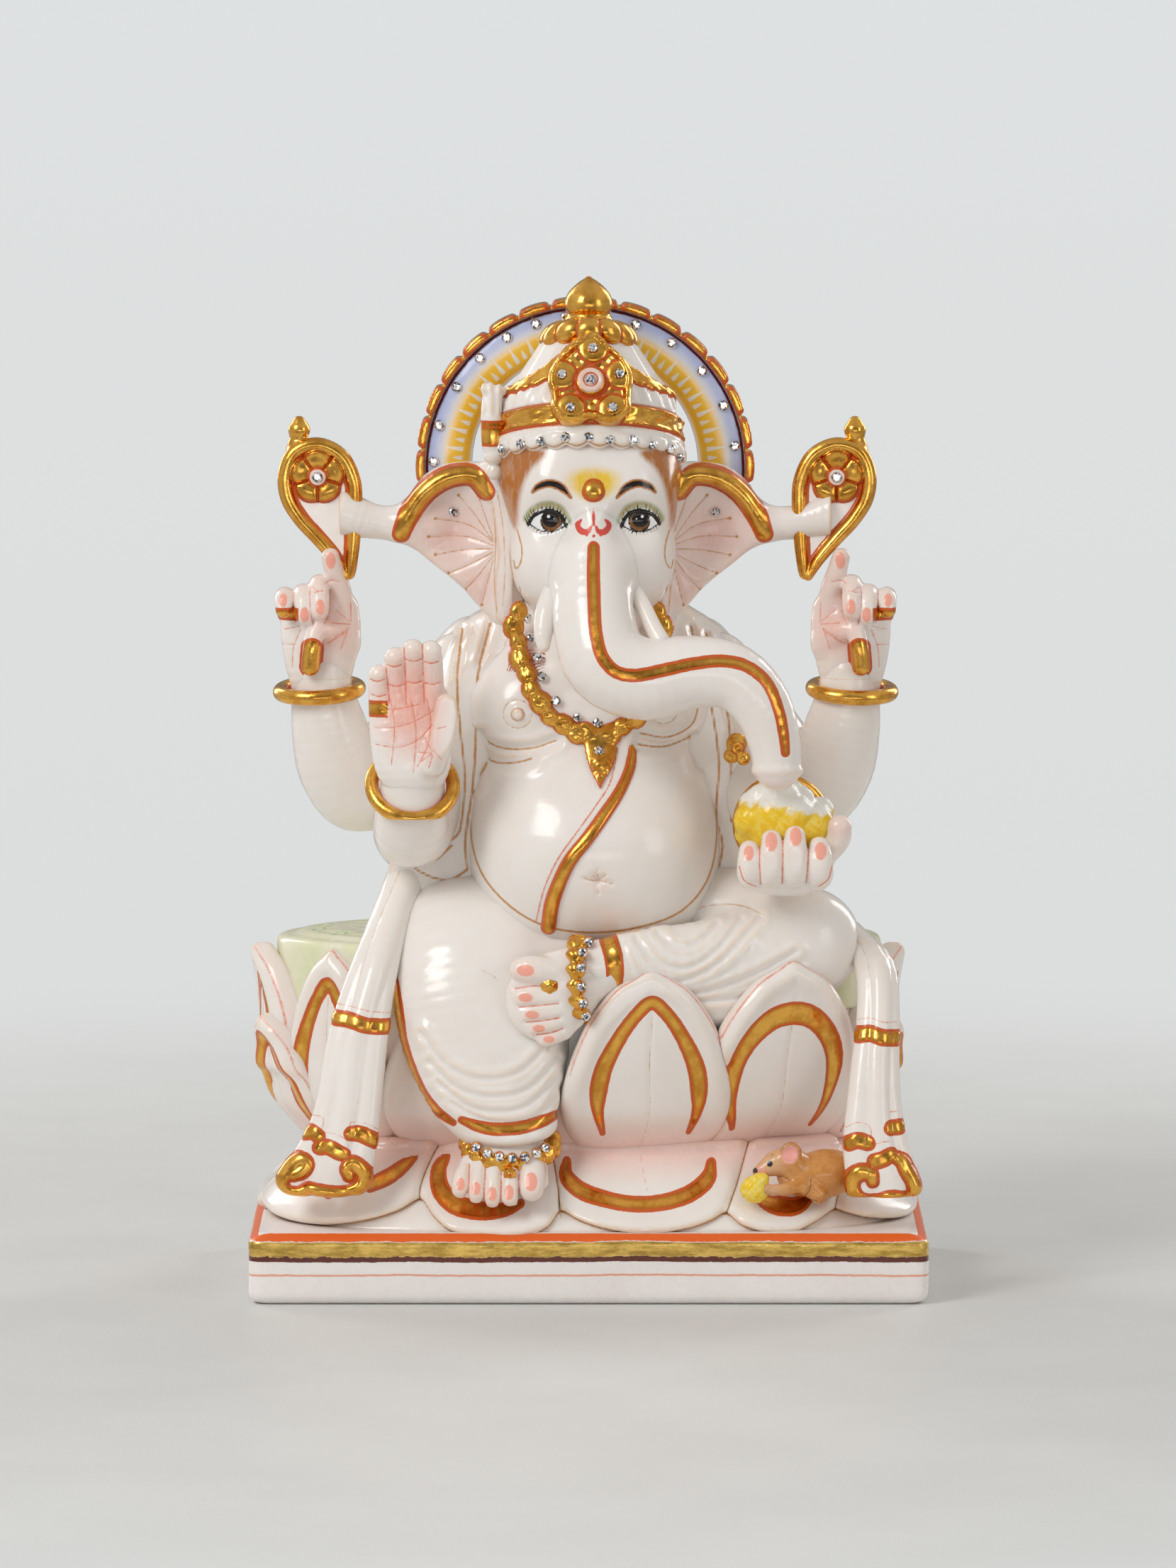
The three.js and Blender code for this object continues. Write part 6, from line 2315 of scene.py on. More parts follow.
LEFT_HEM = [
    (84.9, 36.6, 1.3), (84.2, 38.8, 1.8), (81.4, 39.4, 2.1), (78.9, 37.6, 2.2), (78.4, 34.6, 2.2),
    (80.0, 31.6, 2.1), (83.2, 30.2, 2.0), (86.6, 30.4, 1.9), (90.4, 31.7, 1.8), (93.7, 31.3, 1.8),
    (96.6, 31.2, 1.9), (97.8, 33.6, 1.9), (97.0, 36.6, 1.8), (95.2, 39.8, 1.8), (93.8, 42.6, 1.7),
    (92.4, 43.6, 1.4),
]
RIGHT_BANDS = [
    [(-75.6, 84.6, 1.6), (-70.4, 84.0, 1.6), (-66, 82.6, 1.6), (-59.4, 82.0, 1.6)],
    [(-84.6, 50.8, 1.5), (-82.4, 51.2, 1.6), (-80.4, 50.0, 1.4)],
    [(-80.2, 46.6, 1.4), (-77.6, 47.0, 1.6), (-74.6, 45.6, 1.6), (-72.8, 44.8, 1.4)],
    [(-70.6, 51.0, 1.5), (-67.8, 50.8, 1.7), (-63.0, 48.4, 1.6)],
]
RIGHT_LINES = [
    [(-76.4, 88.6), (-70.4, 88.0), (-64, 86.6), (-59.0, 86.0)],
    [(-82.8, 56.0), (-79.0, 55.4), (-80.0, 50.0)],
    [(-79.6, 50.8), (-76.6, 51.2), (-72.0, 49.0), (-71.6, 44.0)],
    [(-70.8, 54.4), (-66.4, 54.0), (-62.8, 52.0)], [(-70.8, 54.2), (-71.4, 49.6)],
]
LEFT_BANDS = [
    [(80.6, 79.2, 1.7), (84.4, 79.8, 1.7), (87.6, 78.8, 1.7), (92.6, 78.2, 1.7)],
    [(77.8, 47.8, 1.6), (80.4, 48.8, 1.7), (83.4, 48.0, 1.6)],
    [(85.6, 42.6, 1.7), (88.0, 43.4, 1.7), (90.2, 44.6, 1.6)],
    [(90.6, 52.4, 1.6), (93.0, 52.6, 1.6)],
]
LEFT_LINES = [
    [(80.8, 83.6), (84.6, 84.2), (88.0, 83.2), (92.4, 82.8)],
    [(77.0, 52.4), (80.4, 54.0), (84.0, 52.8), (84.4, 46.2)], [(84.8, 47.6), (87.4, 48.4), (89.8, 48.6)],
    [(90.0, 57.0), (93.0, 57.2)],
]


def make_tail(name, pleats, hem, bands, lines):
    strips = [limb(p, per=5, reach=8) for p in pleats]
    hem_line, band_line = stroke(hem), any_of(*(stroke(b) for b in bands))
    thin = any_of(*(stroke(line, 0.12) for line in lines))
    floor_z = min(p[-1][2] for p in pleats) - 2.4

    def field(x, y, z):
        d = np.minimum.reduce([strip(x, y, z) for strip in strips])
        d = smin(d, smin(strips[0](x, y, z), strips[2](x, y, z), 5.0) + 1.6, 1.5)
        edge = hem_line(x, z)
        proud = 1.5 * np.sqrt(np.clip(1 - (np.clip(edge, -2, 0.3) / 2.0 + 0.85) ** 2, 0, 1)) * (edge < 0.3)
        d = d - np.where(y < -40, proud, 0) - np.where(
            y < -25,
            0.3 * (1 - step(band_line(x, z), -0.4, 0.2)),
            0,
        )
        return smax(d, floor_z - z, 1.6)

    def pleat_seam(x, y, z):
        return np.abs(strips[0](x, y, z) - strips[1](x, y, z)) * 0.8 + np.where(z > 96, 0.0, FAR)

    marks = {
        "tan": pleat_seam,
        "vein": front(thin, -20),
        "gold": front(any_of(hem_line, band_line), -25),
    }
    low, high = room(name, grow=4)
    marble_piece(name, [name], field, marks, voxel=0.5, box=(low - [2, 2, 0], high + [2, 0, 3]))


make_tail("shawl_tail_right", RIGHT_PLEATS, RIGHT_HEM, RIGHT_BANDS, RIGHT_LINES)
make_tail("shawl_tail_left", LEFT_PLEATS, LEFT_HEM, LEFT_BANDS, LEFT_LINES)

# ---- lotus ----
bowl_low, bowl_high = room("lotus_bowl")
BOWL_X, BOWL_Y = (bowl_low[0] + bowl_high[0]) / 2, (bowl_low[1] + bowl_high[1]) / 2
BOWL_A, BOWL_B = (bowl_high[0] - bowl_low[0]) / 2, (bowl_high[1] - bowl_low[1]) / 2
BOWL_FOOT, BOWL_RIM = bowl_low[2], bowl_high[2]


def baked(distance, low, high, cell=0.3):
    """The same distance, looked up in a fine table so that large fields stay quick."""
    us, vs = np.arange(low[0], high[0] + cell, cell), np.arange(low[1], high[1] + cell, cell)
    table = distance(us[:, None], vs[None, :])

    def lookup(u, v):
        i = np.clip((u - low[0]) / cell, 0, len(us) - 1.001)
        j = np.clip((v - low[1]) / cell, 0, len(vs) - 1.001)
        i0, j0 = i.astype(int), j.astype(int)
        s, t = i - i0, j - j0
        near = table[i0, j0] * (1 - s) + table[i0 + 1, j0] * s
        far = table[i0, j0 + 1] * (1 - s) + table[i0 + 1, j0 + 1] * s
        return near * (1 - t) + far * t

    return lookup


def bowl_distance(x, y):
    """Distance outwards from the bowl's widest oval, in plan."""
    u, v = x - BOWL_X, y - BOWL_Y
    k0 = np.sqrt((u / BOWL_A) ** 2 + (v / BOWL_B) ** 2)
    k1 = np.sqrt((u / BOWL_A**2) ** 2 + (v / BOWL_B**2) ** 2)
    return k0 * (k0 - 1) / np.maximum(k1, 1e-6)


BOWL_PROFILE = [(38, -15), (42, -10), (47, -5.4), (54, -2.0), (62, -0.4), (74, 0), (86, -0.8), (97, -3.5)]


def profile(points, z):
    s = smooth([(p[0], p[1], 0) for p in points], 6)
    return np.interp(z, s[:, 0], s[:, 1])


def bowl_field(x, y, z):
    wall = (bowl_distance(x, y) - profile(BOWL_PROFILE, z)) * 0.92
    return smax(wall, np.maximum(BOWL_FOOT - 1.5 - z, z - BOWL_RIM), 1.2)


marble_piece(
    "lotus_bowl",
    ["lotus_bowl"],
    bowl_field,
    {
        "rosy": lambda x,
        y,
        z: 0.55 * (1 - step(z, 40, 60)),
        "tan": lambda x,
        y,
        z: np.abs(z - BOWL_FOOT) - 0.2,
    },
    voxel=0.9,
)

# A standing petal: outline and inner arch as (half width share, height share), from foot to tip.
PETAL_SIDE = [
    (0.62, 0.02), (0.86, 0.10), (1.0, 0.27), (0.94, 0.47), (0.80, 0.66), (0.67, 0.77), (0.43, 0.905),
    (0.20, 0.97), (0.0, 1.015),
]
ARCH_SIDE = [
    (0.50, 0.13, 0.05), (0.575, 0.25, 0.9), (0.585, 0.35, 1.8), (0.54, 0.48, 1.9), (0.39, 0.63, 1.5),
    (0.19, 0.765, 1.3), (0.0, 0.835, 1.4),
]
WIDE_ARCH = [
    (0.48, 0.14, 0.05), (0.58, 0.27, 0.9), (0.61, 0.40, 1.7), (0.57, 0.52, 2.0), (0.44, 0.63, 2.3),
    (0.23, 0.715, 2.6), (0.0, 0.74, 2.8),
]
# name, angle from -Y towards +X, half width, tip height, outward curl, hook of the tip, arch
PETALS = [
    ("front", 13.0, 26.0, 99.5, 12.0, 0, ARCH_SIDE),
    ("front_left", 40.5, 27.0, 101.0, 13.0, 0, WIDE_ARCH),
    ("front_right", -24, 24, 92, -1.0, 0, None),
    ("right_corner", -54, 18.5, 102, 1.5, 0, ARCH_SIDE),
    ("right_side", -84, 19, 101, 3.6, 5.5, ARCH_SIDE),
    ("right_back", -114, 24, 101, 4.2, 0, ARCH_SIDE),
    ("left_side", 84, 20, 101, 3.0, 5.5, ARCH_SIDE),
    ("left_back", 114, 24, 101, 3.6, 0, ARCH_SIDE),
    ("back_right", -156, 26, 99, 0.0, 0, ARCH_SIDE),
    ("back_left", 156, 26, 99, 0.0, 0, ARCH_SIDE),
    ("low_right", -74, 15, 81, 6.0, 5.0, ARCH_SIDE),
    ("low_left", 76, 15, 80, 5.5, 4.5, ARCH_SIDE),
]
petal_edges = {}


def make_petal(name, degrees, half, tip, curl, hook, arch):
    foot = BOWL_FOOT - 1.5
    span = tip - foot
    right = [(half * p[0], foot + span * p[1]) for p in PETAL_SIDE]
    outline = right + [(-u, v) for u, v in right[-2::-1]]
    low2, high2 = (-half - 9, foot - 5), (half + 9, tip + 6)
    edge_at = baked(region(outline), low2, high2)
    vein = [
        (0.3, foot + 0.82 * span),
        (-0.2, foot + 0.5 * span),
        (0.6, foot + 0.26 * span),
        (-1.2, foot + 0.04 * span),
    ]
    vein_at = baked(stroke(vein, 0.1), low2, high2)
    angle = math.radians(degrees)
    side = np.array([BOWL_A * math.cos(angle), BOWL_B * math.sin(angle)])
    side /= np.linalg.norm(side)
    spot = np.array([BOWL_X + BOWL_A * math.sin(angle), BOWL_Y - BOWL_B * math.cos(angle)])
    bend = [
        (38, -12.0),
        (42, -7.4),
        (47, -2.6),
        (54, 1.6 + 0.1 * curl),
        (62, 3.2 + 0.25 * curl),
        (min(74, tip - 16), 3.6 + 0.55 * curl),
        (min(86, tip - 9), 2.8 + 0.85 * curl),
        (tip - 5, 2.0 + curl + 0.3 * hook),
        (tip + 2, 1.0 + curl + hook),
    ]

    def flat(x, y):
        return (x - spot[0]) * side[0] + (y - spot[1]) * side[1]

    def facing(x, y):
        return (x - BOWL_X) * math.sin(angle) / BOWL_A - (y - BOWL_Y) * math.cos(angle) / BOWL_B > 0.2

    def edge_over(x, y, z):
        u = np.broadcast_to(flat(x, y) + 0 * z, np.broadcast(x, y, z).shape)
        return u, edge_at(u, np.broadcast_to(z + 0 * u, u.shape))

    petal_edges[name] = edge_over

    def field(x, y, z):
        u, edge = edge_over(x, y, z)
        zz = np.broadcast_to(z + 0 * u, u.shape)
        out = bowl_distance(x, y) - profile(bend, z)
        roll = 2.0 * bell(edge + 4.0, 3.2) * step(zz, foot + 0.16 * span, foot + 0.5 * span)
        dish = 0.9 * step(-edge, 6, 12) * bell(u, 0.6 * half)
        if arch:
            dish = dish - 0.35 * bell(vein_at(u, zz), 0.6)
        face = (out - roll - dish) * 0.9
        d = smax(smax(face, edge * 0.9, 3.0), -(out + (6.4 if hook else 4.8)), 2.4)
        if name == "front_left":
            d = smax(d, -petal_edges["front"](x, y, z)[1] - 1.2, 2.4)
        return np.where(facing(x, y) | (d > 2), d, 2.0)

    def on_face(lookup):
        def mark(x, y, z):
            u = flat(x, y)
            outside = bowl_distance(x, y) - profile(bend, z) > -2.6
            return np.where(outside & (np.abs(u) < half + 8), lookup(u, z), FAR)

        return mark

    marks = {"rosy": lambda x, y, z: petal_blush(z, edge_at(flat(x, y), z))}
    if arch:
        arch_right = [(half * p[0], foot + span * p[1], p[2]) for p in arch]
        arch_line = arch_right + [(-u, v, w) for u, v, w in arch_right[-2::-1]]
        marks["tan"] = on_face(vein_at)
        marks["vein"] = on_face(
            lambda u,
            v: np.where(v > foot + 0.45 * span, np.abs(edge_at(u, v) + 0.9) - 0.12, FAR),
        )
        marks["gold"] = on_face(baked(stroke(arch_line), low2, high2))
    if name == "front_left":
        marks["green"] = front(spots([(80.6, 90.0, 1.7, 1.2)], 0), 0)
    reach = half + 6
    low = np.array([spot[0] - abs(side[0]) * reach - 12, spot[1] - abs(side[1]) * reach - 12, foot - 2])
    high = np.array([spot[0] + abs(side[0]) * reach + 12, spot[1] + abs(side[1]) * reach + 12, tip + 4])
    low, high = np.maximum(low, CAD_LOW - 4), np.minimum(high, CAD_HIGH + 4)
    nodes = [] if name.startswith("low_") else [f"lotus_petal_{name}"]
    marble_piece(f"lotus_petal_{name}", nodes, field, marks, voxel=0.6, box=(low, high))


def petal_blush(z, edge):
    """Pink at a petal's foot and faintly along its lip."""
    lip = 0.16 * (1 - step(np.abs(edge + 0.5), 0, 1.6)) * (z > 70)
    return np.clip(0.6 * (1 - step(z, 40, 58)) + lip, 0, 0.7)


CAD_LOW, CAD_HIGH = (np.array(c) / MM for c in CAD_BOX)
for petal in PETALS:
    make_petal(*petal)

# ---- the seed pod inside the petals ----
pod_low, pod_high = room("seed_pod")
POD_RING = 1.9  # radius of the small green rings


def pod_field(x, y, z):
    inside = bowl_distance(x, y)
    top = pod_high[2] + 1.6 - 1.8 * step(inside, -9, -1) - 0.5 * bell(inside + 9, 2.0)
    top = top - 9 * (1 - step(np.abs(x), 34, 46)) * (y < 0)
    d = smax((inside - 1.6) * 0.95, z - top, 3.0)
    pit = spots(POD_RINGS, POD_RING)(x, y)
    return np.maximum(d + 0.35 * bell(pit, 0.5) * (z > top - 3), pod_low[2] - 14 - z)


POD_RINGS = [(
    BOWL_X + (BOWL_A - 11) * math.sin(a),
    BOWL_Y + (BOWL_B - 9) * math.cos(a),
) for a in np.arange(0, 6.2, 0.33)]


def pod_look():
    look = Look("pod_paint", **MARBLE)
    cloud = look.between(look.noise(14, 4, 0.6), 0.35, 0.7)
    color = look.mix(cloud, (0.74, 0.76, 0.48), (0.85, 0.82, 0.64))
    x, y = look.axis(0), look.axis(1)
    for a, b in POD_RINGS:
        dx, dy = look.math("SUBTRACT", x, a), look.math("SUBTRACT", y, b)
        r = look.hypot(dx, dy)
        ring = look.between(look.math("ABSOLUTE", look.math("SUBTRACT", r, POD_RING)), 0.75, 0.3)
        color = look.mix(look.math("MULTIPLY", ring, 0.8), color, (0.36, 0.62, 0.22))
    look.bump(look.noise(5.0, 4), 0.15)
    return look.finish(color, look.drift(0.16, 0.3, 4, 3))


sculpt(
    "seed_pod",
    ["seed_pod"],
    pod_field,
    pod_look(),
    "pod_paint",
    voxel=0.8,
    box=(pod_low - [18, 14, 18], pod_high + [18, 14, 3]),
)

# ---- the ground under the lotus ----
PLINTH_TOP = room("plinth")[1][2]
MOUND = [
    (PLINTH_TOP - 1.0, 94.5, 54.5, 0, 0),
    (PLINTH_TOP + 3, 94, 54, 0, 0),
    (PLINTH_TOP + 10, 88, 47.5, -1, 2),
    (PLINTH_TOP + 18, 80, 40, -2, 4),
    (PLINTH_TOP + 23.5, 74, 34.5, -2, 6),
]
mound_core = stack(MOUND, 3.2)
GROUND_EDGE = [
    (-104, 22.2), (-92, 20.6), (-79.7, 20.4), (-66, 22.6), (-57, 25.2), (-50.1, 28.1), (-46.5, 24.4),
    (-41.6, 20.6), (-32.4, 18.6), (-20, 18.4), (-12, 21.6), (-8.1, 25.4), (-3, 23.4), (4.3, 21.2),
    (17.5, 19.5), (30.6, 21.2), (37, 23.2), (41.1, 24.8), (46, 21.8), (53.4, 19.6), (62.1, 19.6),
    (68, 22.0), (73.9, 24.6), (78, 23.6), (83.1, 22.1), (96.2, 19.9), (104, 19.9),
]
# Crescents painted on the ground petals: (x, z, half width).
CRESCENTS = [
    [(-82, 33.0, 0.3), (-78, 30.6, 1.0)],
    [(-65.4, 33.0, 1.1), (-60.2, 35.2, 1.3), (-55.6, 38.0, 1.0), (-52.2, 40.6, 0.3)],
    [
        (-42.6, 40.6, 0.4), (-44.8, 37.2, 1.5), (-44.2, 32.6, 1.9), (-40.4, 29.0, 1.9),
        (-34.6, 27.4, 1.7), (-29.4, 27.0, 1.4), (-23.6, 27.6, 0.8), (-20.0, 29.0, 0.3),
    ],
    [
        (-6.4, 39.6, 0.5), (-6.6, 36.2, 1.3), (-2.6, 32.6, 1.5), (5.6, 30.0, 1.35), (14.6, 28.8, 1.25),
        (24.4, 29.6, 1.35), (31.6, 32.0, 1.5), (36.2, 35.6, 1.4), (37.0, 39.0, 0.7),
    ],
    [(49.6, 31.6, 0.5), (53.6, 29.0, 1.4), (58.4, 27.8, 1.7), (63.2, 28.0, 1.4), (67.4, 31.0, 0.6)],
]
crescent_marks = any_of(*(stroke(c) for c in CRESCENTS))
# The lines where one fallen petal ends and the next begins, from the top down.
SPLITS = [
    [(-42.5, 47), (-47.6, 39), (-50.4, 32), (-50.1, 27.4), (-50.1, 15)],
    [(-11.6, 45), (-9.6, 36), (-8.6, 30), (-8.1, 25.2), (-8.1, 15)],
    [(48.6, 45), (44.8, 34), (42.2, 28), (41.1, 24.8), (41.1, 15)],
    [(80.6, 45), (76.8, 34), (74.4, 28), (73.9, 24.6), (73.9, 15)],
]
VEINS = [[(15.4, 44.0), (16.4, 38), (17.6, 32.4)], [(-60.4, 45.2), (-58.0, 43.2), (-55.4, 42.6)]]
split_lines = any_of(*(stroke(line[:-1], 0.1) for line in SPLITS))
ground_veins = any_of(*(stroke(line, 0.08) for line in VEINS))
GROUND_SPLIT = -12.0  # the five fallen petals lie in front of this y
BACK_SCALLOP = 27.0  # mm between the lobes of the ground's edge behind


def curve_at(points, value, by=1):
    """The other coordinate of a smooth line at a value of one: x at a height, or the height at an x."""
    c = smooth([(*q[:2], 0) for q in points], 6)[:, :2]
    order = np.argsort(c[:, by])
    return np.interp(value, c[order, by], c[order, 1 - by])


def over_edge(x, y, z):
    """Height above the scalloped lower edge of the fallen petals, all the way round."""
    ahead = z - curve_at(GROUND_EDGE, x, by=0) - 1.1
    around = np.arctan2(x / 95, y / 55) * 75
    behind = z - 20.6 - 3.6 * (1 - np.abs(np.sin(np.pi * around / BACK_SCALLOP))) ** 2.0
    return np.where(y < GROUND_SPLIT, ahead, behind)


def ground_field(x, y, z):
    e = over_edge(x, y, z)
    lip = 4.6 * np.sqrt(np.clip(1 - (1 - np.clip(e, 0, 5.4) / 5.4) ** 2, 0, 1))
    dish = np.where(y < GROUND_SPLIT, 1.5 * step(-crescent_marks(x, z), -6.0, 0.2), 0)
    settle = 1.6 * step(e, 7, 16)
    seam = 1.0 * bell(np.maximum(split_lines(x, z), 0), 1.5) * (y < GROUND_SPLIT)
    return (mound_core(x, y, z) - lip + dish + settle + seam) * 0.85


def ground_marks():
    return {
        "rosy": lambda x, y, z: 0.55 * step(z, 32, 44),
        "tan": lambda x, y, z: np.minimum(
            np.abs(over_edge(x, y, z) - 0.1) - 0.34,
            np.where(y < -14, split_lines(x, z), FAR),
        ),
        "vein": front(ground_veins, -20),
        "gold": front(crescent_marks, -30),
    }


def make_ground(k):
    def field(x, y, z):
        d = np.maximum(ground_field(x, y, z), -(mound_core(x, y, z) + 4.0))
        d = np.maximum(d, -over_edge(x, y, z) - 0.1)
        d = np.maximum(d, y - GROUND_SPLIT)
        if k > 0:
            d = np.maximum(d, curve_at(SPLITS[k - 1], z) - x)
        if k < len(SPLITS):
            d = np.maximum(d, x - curve_at(SPLITS[k], z))
        return d

    name = f"ground_petal_{k + 1}"
    ends = [CAD_LOW[0] - 3, *(line[0][0] for line in SPLITS), CAD_HIGH[0] + 3]
    low = np.array([ends[k] - (9 if k else 0), CAD_LOW[1] - 3, PLINTH_TOP - 2])
    high = np.array([ends[k + 1] + (3 if k < len(SPLITS) else 0), -10, PLINTH_TOP + 29])
    marble_piece(name, [name], field, ground_marks(), voxel=0.55, box=(low, high))


for k in range(len(SPLITS) + 1):
    make_ground(k)


def mound_field(x, y, z):
    core = mound_core(x, y, z)
    behind = np.where(over_edge(x, y, z) > 0, ground_field(x, y, z), core)
    return smax(np.where(y < GROUND_SPLIT - 1, core + 0.3, behind), z - PLINTH_TOP - 23.5, 1.0)


mound_box = (CAD_LOW * [1, 1, 0] + [-3, -3, PLINTH_TOP - 2], CAD_HIGH * [1, 1, 0] + [3, 3, PLINTH_TOP + 27])
marble_piece("lotus_mound", ["lotus_mound"], mound_field, ground_marks(), voxel=0.8, box=mound_box)

# ---- mouse and its sweet ----
mouse_body = merge(
    2.6,
    ball((70.5, -43.5, 37.2), (10.5, 7.2, 7.4), (0, -10, 0)),
    ball((62.8, -46.0, 36.8), (6.2, 5.6, 5.6)),
    limb(
        [
            (60.5, -47.0, 41.4, 5.0, 4.6), (56.6, -48.0, 41.2, 4.0, 3.8), (52.6, -49.0, 39.4, 2.4),
            (50.6, -49.4, 38.6, 1.5),
        ],
        reach=8,
    ),
)
mouse_paw = merge(
    1.0,
    limb(
        [
            (64.5, -49.6, 35.4, 2.4), (58.8, -51.6, 33.6, 2.0), (54.4, -52.6, 33.6, 1.7),
            (52.0, -52.6, 34.4, 1.5),
        ],
        reach=6,
    ),
    limb([(66, -49.4, 34, 3.2), (69, -50, 31.6, 2.6)], reach=6),
)
mouse_ear = ball((60.6, -50.6, 44.4), (3.3, 1.3, 3.5), (0, 14, 0))
ear_hollow = ball((60.4, -52.6, 44.3), (2.4, 1.9, 2.6), (0, 14, 0))
mouse_lines = any_of(
    stroke([(53.0, 36.6), (55.4, 36.6), (58.0, 37.4), (60.2, 36.2)], 0.1),
    stroke([(66.6, 36.8), (66.2, 33.6), (64.8, 31.2), (68.6, 30.2)], 0.14),
    stroke([(52.2, 35.4), (51.4, 33.8), (52.4, 32.6)], 0.1),
    stroke([(53.4, 35.2), (52.8, 33.8), (53.4, 32.4)], 0.08),
    stroke([(55.4, 32.4), (58.8, 31.2)], 0.08),
    stroke([(54.6, 43.4), (55.4, 44.2)], 0.08),
)


def mouse_field(x, y, z):
    d = smin(mouse_body(x, y, z), mouse_paw(x, y, z), 1.1)
    d = smin(d, smax(mouse_ear(x, y, z), -ear_hollow(x, y, z), 0.6), 0.9)
    return d + np.where(y < -40, 0.22 * bell(np.maximum(mouse_lines(x, z), 0), 0.35), 0)


def mouse_look():
    look = Look("mouse_paint", Coat_Weight=0.4, Coat_Roughness=0.08)
    fur = look.between(look.noise(3.0, 5.0, 0.65, stretch=(1, 1, 1.8)), 0.3, 0.7)
    color = look.mix(fur, (0.56, 0.21, 0.035), (0.68, 0.31, 0.075))
    face = look.between(look.axis(0), 62.0, 55.0)
    color = look.mix(look.math("MULTIPLY", face, 0.6), color, (0.80, 0.50, 0.30))
    color = look.mix(look.mark("rosy"), color, (0.90, 0.40, 0.34))
    # Painted shade: dark brown laid into the mouse's creases and hollows.
    color = look.mix(look.math("MULTIPLY", look.creases(), 0.7), color, (0.20, 0.07, 0.02))
    color = look.mix(look.between(look.mark("black"), 0.14, -0.14), color, (0.012, 0.010, 0.010))
    look.bump(look.noise(1.6, 3, stretch=(1, 1, 2)), 0.05)
    return look.finish(color, look.drift(0.25, 0.42, 2, 3))


def mouse_rosy(x, y, z):
    """Pink inside the ear and round the snout."""
    snout = 1 - step(np.hypot(x - 51.2, z - 38.4), 1.0, 3.2)
    return np.clip(0.95 * (ear_hollow(x, y, z) < 0.4) + 0.8 * snout, 0, 1)


def mouse_eye_and_nose(x, z):
    return np.minimum(np.hypot(x - 54.3, (z - 41.4) * 0.9) - 0.85, np.hypot(x - 50.0, z - 39.2) - 0.75)


sculpt(
    "mouse",
    ["mouse"],
    mouse_field,
    mouse_look(),
    "mouse_paint",
    {
        "rosy": mouse_rosy,
        "black": front(any_of(mouse_lines, mouse_eye_and_nose), -44),
    },
    voxel=0.35,
    grow=5,
)
mouse_sweet_core = merge(
    0.8,
    ball((49.8, -51, 33.6), (4.4, 3.8, 4.2)),
    ball((51.6, -51.6, 36.6), (2.6, 2.4, 2.2)),
)


def mouse_sweet_field(x, y, z):
    return mouse_sweet_core(x, y, z) - 0.14 * np.sin(2.6 * x) * np.sin(2.4 * z + 1.1 * y)


def mouse_sweet_look():
    look = Look("mouse_sweet_paint", **MARBLE)
    patch = look.between(look.noise(2.2, 3, 0.6), 0.4, 0.65)
    color = look.mix(patch, (0.90, 0.60, 0.012), (0.88, 0.72, 0.16))
    look.bump(look.noise(1.2, 3), 0.14)
    return look.finish(color, look.drift(0.2, 0.36, 2, 3))


sculpt(
    "mouse_sweet",
    [],
    mouse_sweet_field,
    mouse_sweet_look(),
    "sweet_paint",
    voxel=0.3,
    box=([44, -57, 27], [57, -45, 41]),
)

# ---- plinth ----
plinth_low, plinth_high = room("plinth")
BEVEL = 2.3  # mm of sloping edge above the straight side


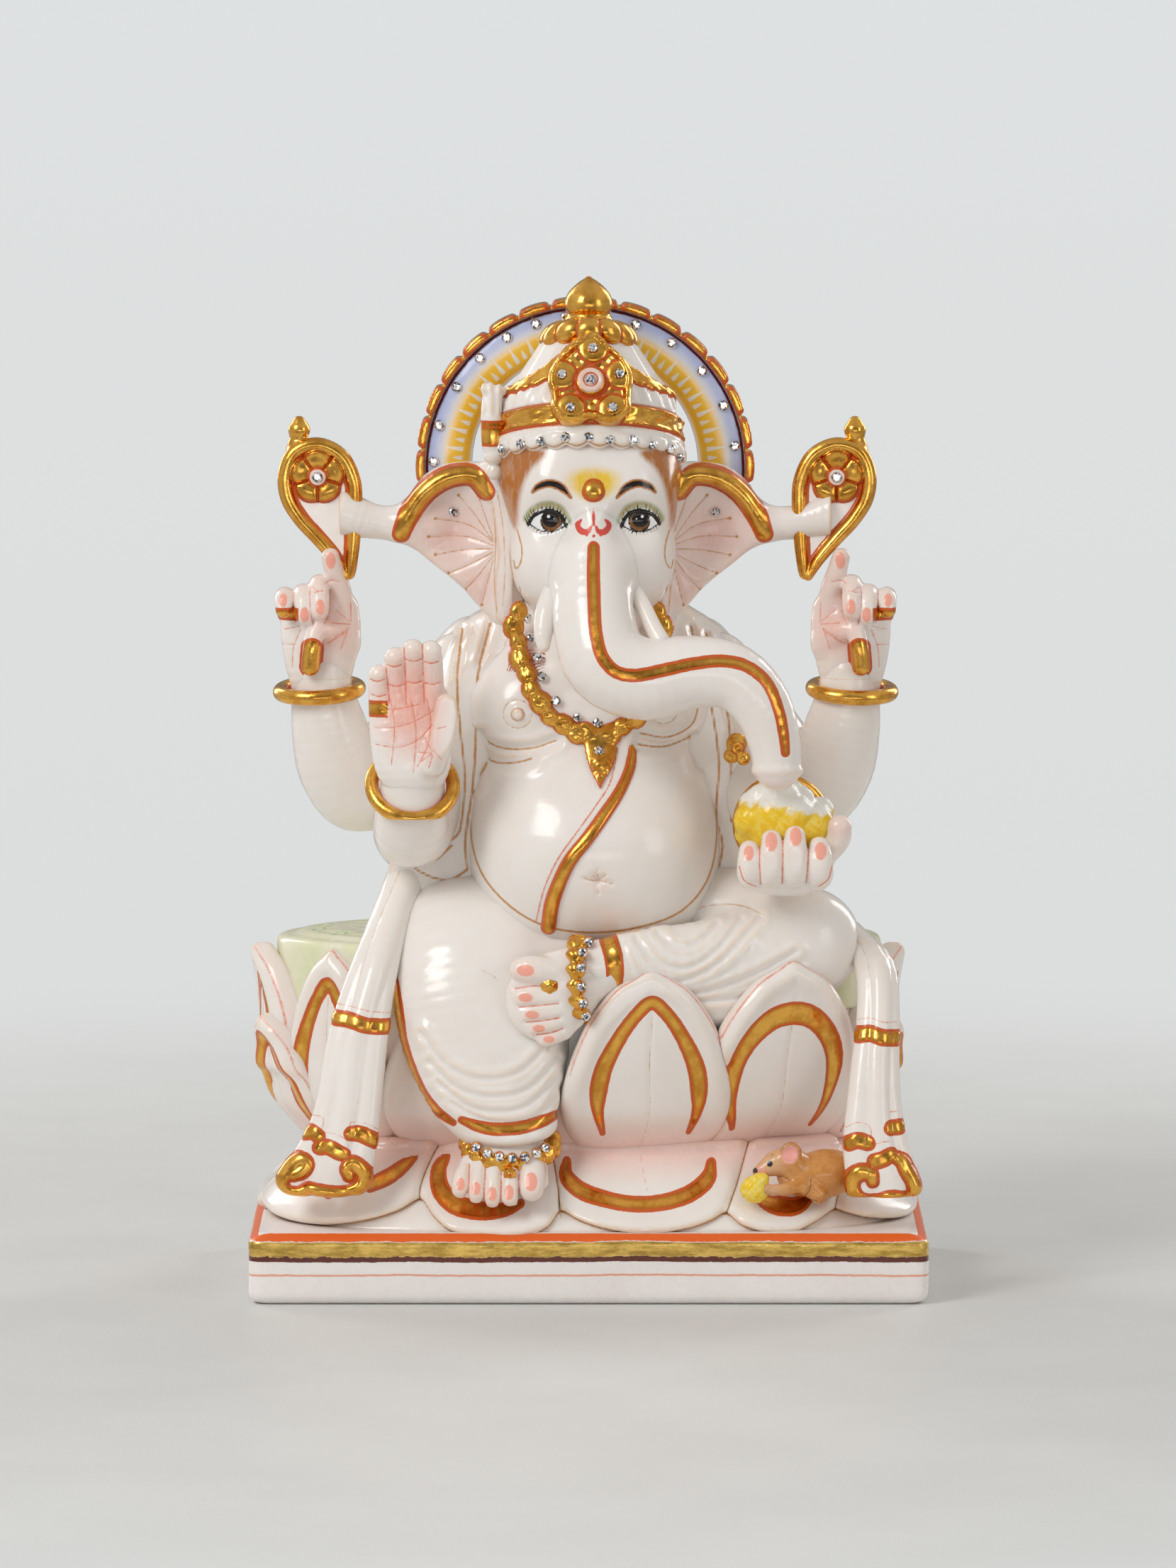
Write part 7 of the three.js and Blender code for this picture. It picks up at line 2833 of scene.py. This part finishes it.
def plinth_look():
    look = Look("plinth_marble", **MARBLE)
    cloud = look.between(look.noise(30, 4, 0.6), 0.35, 0.75)
    color = look.mix(cloud, (0.88, 0.83, 0.80), (0.83, 0.77, 0.74))
    grain = look.between(look.noise(0.9, 3.0, 0.7), 0.3, 0.8)
    color = look.mix(look.math("MULTIPLY", grain, 0.22), color, (0.90, 0.88, 0.87))
    z = look.axis(2)
    slow = look.jitter(1.1, 22, 3)
    quick = look.jitter(0.55, 2.2, 4, 0.65)
    depth = look.math("ADD", look.math("ADD", look.math("SUBTRACT", plinth_high[2], z), slow), quick)
    # How far a point is in from the nearest upright side, for the line on the top.
    inset_x = look.math("SUBTRACT", plinth_high[0], look.math("ABSOLUTE", look.axis(0)))
    inset_y = look.math("SUBTRACT", plinth_high[1], look.math("ABSOLUTE", look.axis(1)))
    inset = look.math("ADD", look.math("MINIMUM", inset_x, inset_y), quick)
    on_bevel = look.between(look.math("ADD", depth, quick), -0.05, -0.25)
    orange = look.math("MULTIPLY", on_bevel, look.between(inset, 3.3, 3.0))
    color = look.mix(orange, color, (0.80, 0.13, 0.012))
    upper = look.math("MULTIPLY", look.between(depth, -0.1, 0.1), look.between(depth, 6.1, 5.9))
    ragged = look.math("ADD", depth, look.math("MULTIPLY", quick, 2.4))
    gold = look.math("MULTIPLY", upper, look.between(ragged, 4.5, 4.3))
    brown = look.math("MULTIPLY", upper, look.math("SUBTRACT", 1.0, gold))
    color = look.mix(brown, color, (0.12, 0.025, 0.012))
    brushed = look.between(look.noise(2.4, 5, 0.7, stretch=(0.35, 0.35, 1.5)), 0.35, 0.65)
    leaf = look.mix(brushed, (0.42, 0.26, 0.05), (0.80, 0.54, 0.14))
    gold_face = look.math("MULTIPLY", gold, look.between(depth, -0.05, 0.15))
    color = look.mix(gold_face, color, leaf)
    thin = look.between(look.math("ABSOLUTE", look.math("SUBTRACT", depth, 10.0)), 0.42, 0.2)
    color = look.mix(look.math("MULTIPLY", thin, 0.75), color, (0.78, 0.24, 0.08))
    stone = look.blend(on_bevel, look.drift(0.2, 0.34, 3.5, 3), 0.42)
    rough = look.blend(gold_face, stone, look.drift(0.3, 0.5, 1.2, 4))
    return look.finish(color, rough, look.math("MULTIPLY", gold_face, 0.9))


def plinth_field(x, y, z):
    """A rounded block: its lower edges are softer than its upper ones."""
    cx, cy = (plinth_low[0] + plinth_high[0]) / 2, (plinth_low[1] + plinth_high[1]) / 2
    hx, hy = (plinth_high[0] - plinth_low[0]) / 2, (plinth_high[1] - plinth_low[1]) / 2
    wave = 0.25 * np.sin(x / 23.0) * np.sin(z / 7.0)
    qx, qy = np.abs(x - cx) - hx, np.abs(y - cy) - hy
    sides = smax(qx, qy, 4.5) + wave
    bevel = np.maximum((sides + (z - plinth_high[2]) * 1.3) * 0.61, z - plinth_high[2] - BEVEL)
    d = smax(sides, bevel, 0.8)
    return smax(d, plinth_low[2] - z, 4.0)


sculpt("plinth", ["plinth"], plinth_field, plinth_look(), "white_marble", voxel=0.7, grow=3.2)
